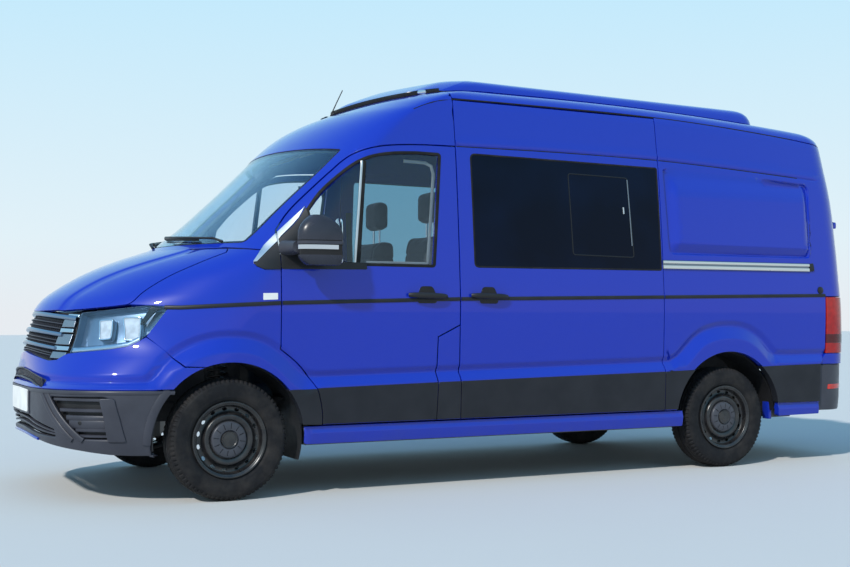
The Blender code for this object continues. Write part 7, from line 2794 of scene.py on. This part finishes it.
@dataclass
class Cab:
    """Seats, dashboard, steering wheel and trim of the cab."""

    seat_y: float = 0.430
    seat_x: float = 0.080

    def build(self) -> None:
        """Make every piece."""
        self._seats()
        self._dashboard()
        self._steering()
        self._trim()

    def _seats(self) -> None:
        """Two seats: cushion, backrest and headrest on a plinth."""
        pads = [("cushion", block("pad", (0.475, -0.225, 0.885), (0.965, 0.225, 0.985), 0.030),
                 0.014, [(1, -0.150, 0.009, 0.006), (1, 0.150, 0.009, 0.006),
                         (0, 0.700, 0.007, 0.006)]),
                ("backrest", self._leaning(), 0.014,
                 [(1, -0.140, 0.009, 0.006), (1, 0.140, 0.009, 0.006), (2, 1.300, 0.007, 0.006),
                  (2, 1.480, 0.007, 0.006)]),
                ("headrest", block("pad", (0.300, -0.118, 1.690), (0.400, 0.118, 1.890), 0.036),
                 0.010, [(2, 1.700, 0.004, 0.005)])]
        for name, pad, most, lines in pads:
            pressed_out(pad, 4.0, most)
            stitched(pad, lines)
            for label, side in SIDES:
                mesh = pad.data.copy()
                mesh.transform(Matrix.Translation((self.seat_x, side * self.seat_y, 0)))
                made = placed(f"seat_{name}_{label}", mesh)
                dress(made, "cloth", CLOTH, replaces=[f"seat_{label}"] if name == "cushion"
                      else ())
            bpy.data.objects.remove(pad, do_unlink=True)
        for label, side in SIDES:
            middle, ahead = side * self.seat_y, self.seat_x
            plinth = prism(f"seat_plinth_{label}", [(0.470, 0.575), (0.900, 0.575),
                                                    (0.940, 0.868), (0.440, 0.868)],
                           middle - 0.185, middle + 0.185, edge=0.012)
            dress(plinth, "plastic", CAB_PLASTIC)
            tray = prism(f"seat_shell_{label}", [
                (0.430 + ahead, 0.868), (0.960 + ahead, 0.868), (0.975 + ahead, 0.905),
                (0.420 + ahead, 0.905)],
                         middle - 0.235, middle + 0.235, edge=0.010)
            dress(tray, "plastic", CAB_PLASTIC)
            for k, dy in enumerate((-0.050, 0.050)):
                post = np.array([(0.350 + ahead, middle + dy, z) for z in (1.56, 1.64, 1.72)])
                dress(tube(f"headrest_post_{label}_{k}", post, 0.0065, 10), "plastic", CHROME)

    @staticmethod
    def _leaning() -> bpy.types.Object:
        """Backrest block that leans back."""
        outline = [(0.455, 0.985), (0.530, 1.000), (0.475, 1.300), (0.420, 1.590), (0.395, 1.605),
                   (0.310, 1.600), (0.305, 1.400), (0.345, 1.100)]
        return prism("pad", outline, -0.225, 0.225, edge=0.028)

    def _dashboard(self) -> None:
        """Dashboard with its hood, dial glass, vents, blank screen and glovebox lid."""
        outline = rounded([(1.698, 0.965), (1.698, 1.366, 0.03), (1.640, 1.390, 0.05),
                           (1.470, 1.338, 0.04), (1.438, 1.250, 0.04), (1.470, 1.150, 0.03),
                           (1.440, 1.080, 0.03), (1.500, 0.965, 0.02)])
        body = prism("dashboard_body", outline, -0.835, 0.835, edge=0.012)
        dress(body, "plastic", CAB_PLASTIC, replaces=["dashboard"])
        hood = prism("instrument_hood", rounded([(1.450, 1.330), (1.440, 1.392, 0.02),
                                                 (1.590, 1.400, 0.03), (1.640, 1.380)]),
                     -0.590, -0.250, edge=0.016)
        dress(hood, "plastic", CAB_PLASTIC)
        dials = prism("instrument_glass", [(1.444, 1.335), (1.439, 1.380), (1.446, 1.380),
                                           (1.452, 1.335)], -0.570, -0.270, edge=0.002)
        dress(dials, "plastic", GLOSS_BLACK)
        screen = prism("screen", [(1.452, 1.230), (1.446, 1.330), (1.458, 1.330),
                                  (1.466, 1.230)], -0.120, 0.120, edge=0.004)
        dress(screen, "plastic", GLOSS_BLACK)
        for k, y in enumerate((-0.750, -0.190, 0.190, 0.750)):
            bars = [block("bar", (1.444, y - 0.050, 1.262 + 0.014 * j),
                          (1.462, y + 0.050, 1.268 + 0.014 * j), 0.001) for j in range(4)]
            dress(joined(f"air_vent_{k}", bars), "plastic", GLOSS_BLACK)
        lid = prism("glovebox_lid", [(1.462, 1.090), (1.478, 1.150), (1.470, 1.215),
                                     (1.462, 1.215), (1.452, 1.090)], 0.260, 0.700, edge=0.004)
        dress(lid, "plastic", DARK_PLASTIC)

    def _steering(self) -> None:
        """Steering wheel with three spokes and its column."""
        turn = circle(72)
        rim = tube("rim", np.stack([np.zeros(72), 0.190 * np.cos(turn), 0.190 * np.sin(turn)],
                                   1), 0.0150, 14, closed=True)
        hub = block("hub", (-0.018, -0.070, -0.062), (0.030, 0.070, 0.052), 0.016)
        spokes = []
        for angle in (0.0, math.pi, -math.pi / 2):
            spoke = block("spoke", (-0.010, 0.055, -0.018), (0.008, 0.186, 0.018), 0.005)
            spoke.data.transform(Matrix.Rotation(angle, 4, "X"))
            spokes.append(spoke)
        column = tube("column", np.array([(0.020, 0, 0), (0.090, 0, 0), (0.180, 0, 0)]),
                      (0.034, 0.045, 0.050), 20)
        whole = joined("steering_wheel_rim", [rim, hub, *spokes, column])
        whole.data.transform(Matrix.Translation((1.340, -0.420, 1.230))
                             @ Matrix.Rotation(math.radians(28), 4, "Y"))
        dress(whole, "plastic", GLOSS_BLACK, replaces=["steering_wheel"])

    def _trim(self) -> None:
        """Door cards, sun visors, floor mat and belts."""
        for label, side in SIDES:
            Panel(f"door_card_{label}", rounded([(1.600, 0.880, 0.04), (1.610, 1.330, 0.03),
                                                 (0.590, 1.330, 0.03), (0.590, 0.480, 0.04),
                                                 (1.400, 0.480, 0.06), (1.480, 0.700, 0.10)]),
                  flush_side(-0.052), thickness=0.008, roll=0.002, spacing=0.09).add(
                "plastic", CAB_PLASTIC, body=f"front_door_{label}", side=side)
            Strip(f"door_armrest_{label}", [(1.350, 1.060), (0.750, 1.080)], flush_side(-0.060),
                  0.070, -0.040, depth=0.002, edge=0.4).add(
                "plastic", CAB_PLASTIC, body=f"front_door_{label}", side=side)
            visor = prism(f"sun_visor_{label}", rounded([(side * 0.08, 1.250, 0.02),
                                                         (side * 0.52, 1.250, 0.03),
                                                         (side * 0.52, 1.110, 0.03),
                                                         (side * 0.08, 1.110, 0.02)]),
                          -0.008, 0.008, Plane.XY, edge=0.006)
            visor.data.transform(Matrix(((0, 1, 0, 0), (1, 0, 0, 0), (0, 0, 1, 0), (0, 0, 0, 1))))
            visor.data.flip_normals()
            visor.data.transform(Matrix.Translation((1.18, 0, 2.150))
                                 @ Matrix.Rotation(math.radians(24), 4, "Y")
                                 @ Matrix.Translation((-1.18, 0, 0)))
            dress(visor, "plastic", LINING)
            belt = np.array([(0.470, side * 0.860, 1.850), (0.460, side * 0.850, 1.500),
                             (0.455, side * 0.845, 1.100), (0.450, side * 0.840, 0.700)])
            rings = np.array([[(x - 0.023, y, z), (x + 0.023, y, z), (x + 0.023, y + 0.0015, z),
                               (x - 0.023, y + 0.0015, z)] for x, y, z in belt])
            dress(loft(f"seat_belt_{label}", rings), "cloth", CLOTH)
        mat = prism("cab_mat", rounded([(0.100, -0.800, 0.05), (1.660, -0.800, 0.05),
                                        (1.660, 0.800, 0.05), (0.100, 0.800, 0.05)]),
                    0.5695, 0.5745, Plane.XY, edge=0.002)
        dress(mat, "rubber", SEAL)


# ------------------------------------------------------------------ studio
@dataclass
class Studio:
    """Pale floor, soft lamps and the camera."""

    position: tuple[float, float, float] = (4.2354, 7.8508, 1.0695)
    yaw: float = -2.04063
    pitch: float = 0.025451
    roll: float = 0.001068
    lens: float = 52.59
    key_from: tuple[float, float, float] = (0.64, 0.43, 0.64)
    floor_tone: tuple[float, float, float] = (0.66, 0.66, 0.65)
    soft_level: float = 0.62

    def build(self) -> None:
        """Place everything."""
        self._camera()
        self._floor()
        self._lamps()
        self._world()
        bpy.context.scene.view_settings.view_transform = "Standard"

    def _camera(self) -> None:
        """Camera at the viewing angle."""
        data = bpy.data.cameras.new("camera")
        data.lens, data.sensor_width = self.lens, 36.0
        made = placed("camera", data)
        ahead = Vector((math.cos(self.yaw) * math.cos(self.pitch),
                        math.sin(self.yaw) * math.cos(self.pitch), math.sin(self.pitch)))
        turn = ahead.to_track_quat("-Z", "Y").to_matrix()
        made.matrix_world = Matrix.Translation(self.position) @ (
            turn @ Matrix.Rotation(self.roll, 3, "Z")).to_4x4()
        bpy.context.scene.camera = made

    def _floor(self) -> None:
        """Large pale floor."""
        size = 60.0
        floor = mesh_object("floor", np.array([(-size, -size, 0), (size, -size, 0),
                                               (size, size, 0), (-size, size, 0)]), [(0, 1, 2, 3)])
        graph = Graph("pale_floor")
        graph.colour(graph.blend(graph.noise(0.8, 3.0), self.floor_tone,
                                 tuple(c * 1.03 for c in self.floor_tone)))
        graph.plain(Roughness=0.9)
        floor.data.materials.append(graph.material)

    def _lamps(self) -> None:
        """One large key lamp high to the front left."""
        data = bpy.data.lights.new("key", "SUN")
        data.energy, data.angle = 2.9, math.radians(2.6)
        data.color = (1.0, 0.965, 0.91)
        lamp = placed("key", data)
        lamp.rotation_euler = (-Vector(self.key_from)).to_track_quat("-Z", "Y").to_euler()

    def _world(self) -> None:
        """Soft light from all round, cooler overhead and darker at the horizon."""
        world = bpy.data.worlds.new("studio")
        bpy.context.scene.world = world
        world.use_nodes = True
        tree = world.node_tree
        back = tree.nodes["Background"]
        place = tree.nodes.new("ShaderNodeTexCoord")
        split = tree.nodes.new("ShaderNodeSeparateXYZ")
        tree.links.new(place.outputs["Generated"], split.inputs[0])
        tones = tree.nodes.new("ShaderNodeValToRGB")
        tones.color_ramp.elements[0].position = 0.0
        tones.color_ramp.elements[0].color = (0.80, 0.84, 0.88, 1)
        tones.color_ramp.elements[1].position = 1.0
        tones.color_ramp.elements[1].color = (0.22, 0.55, 0.98, 1)
        for position, colour in ((0.06, (0.76, 0.88, 0.94, 1)), (0.35, (0.44, 0.79, 1.0, 1))):
            stop = tones.color_ramp.elements.new(position)
            stop.color = colour
        tree.links.new(split.outputs["Z"], tones.inputs[0])
        tree.links.new(tones.outputs[0], back.inputs["Color"])
        rays = tree.nodes.new("ShaderNodeLightPath")
        seen = rays.outputs["Is Camera Ray"]
        for kind in ("Is Glossy Ray", "Is Transmission Ray"):
            add = tree.nodes.new("ShaderNodeMath")
            add.use_clamp = True
            tree.links.new(seen, add.inputs[0])
            tree.links.new(rays.outputs[kind], add.inputs[1])
            seen = add.outputs[0]
        level = tree.nodes.new("ShaderNodeMapRange")
        level.inputs["To Min"].default_value = self.soft_level
        level.inputs["To Max"].default_value = 1.0
        tree.links.new(seen, level.inputs["Value"])
        tree.links.new(level.outputs[0], back.inputs["Strength"])


def main() -> None:
    """Build the classes in order."""
    logging.basicConfig(level=logging.INFO, format="%(message)s")
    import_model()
    for part in (BodySides(), FrontEnd(), Nose(), Roof(), Tail(), Mirrors(), Wheels(),
                 Chassis(), Cab(), Studio()):
        LOG.info("building %s", type(part).__name__)
        part.build()


if __name__ == "__main__":
    main()
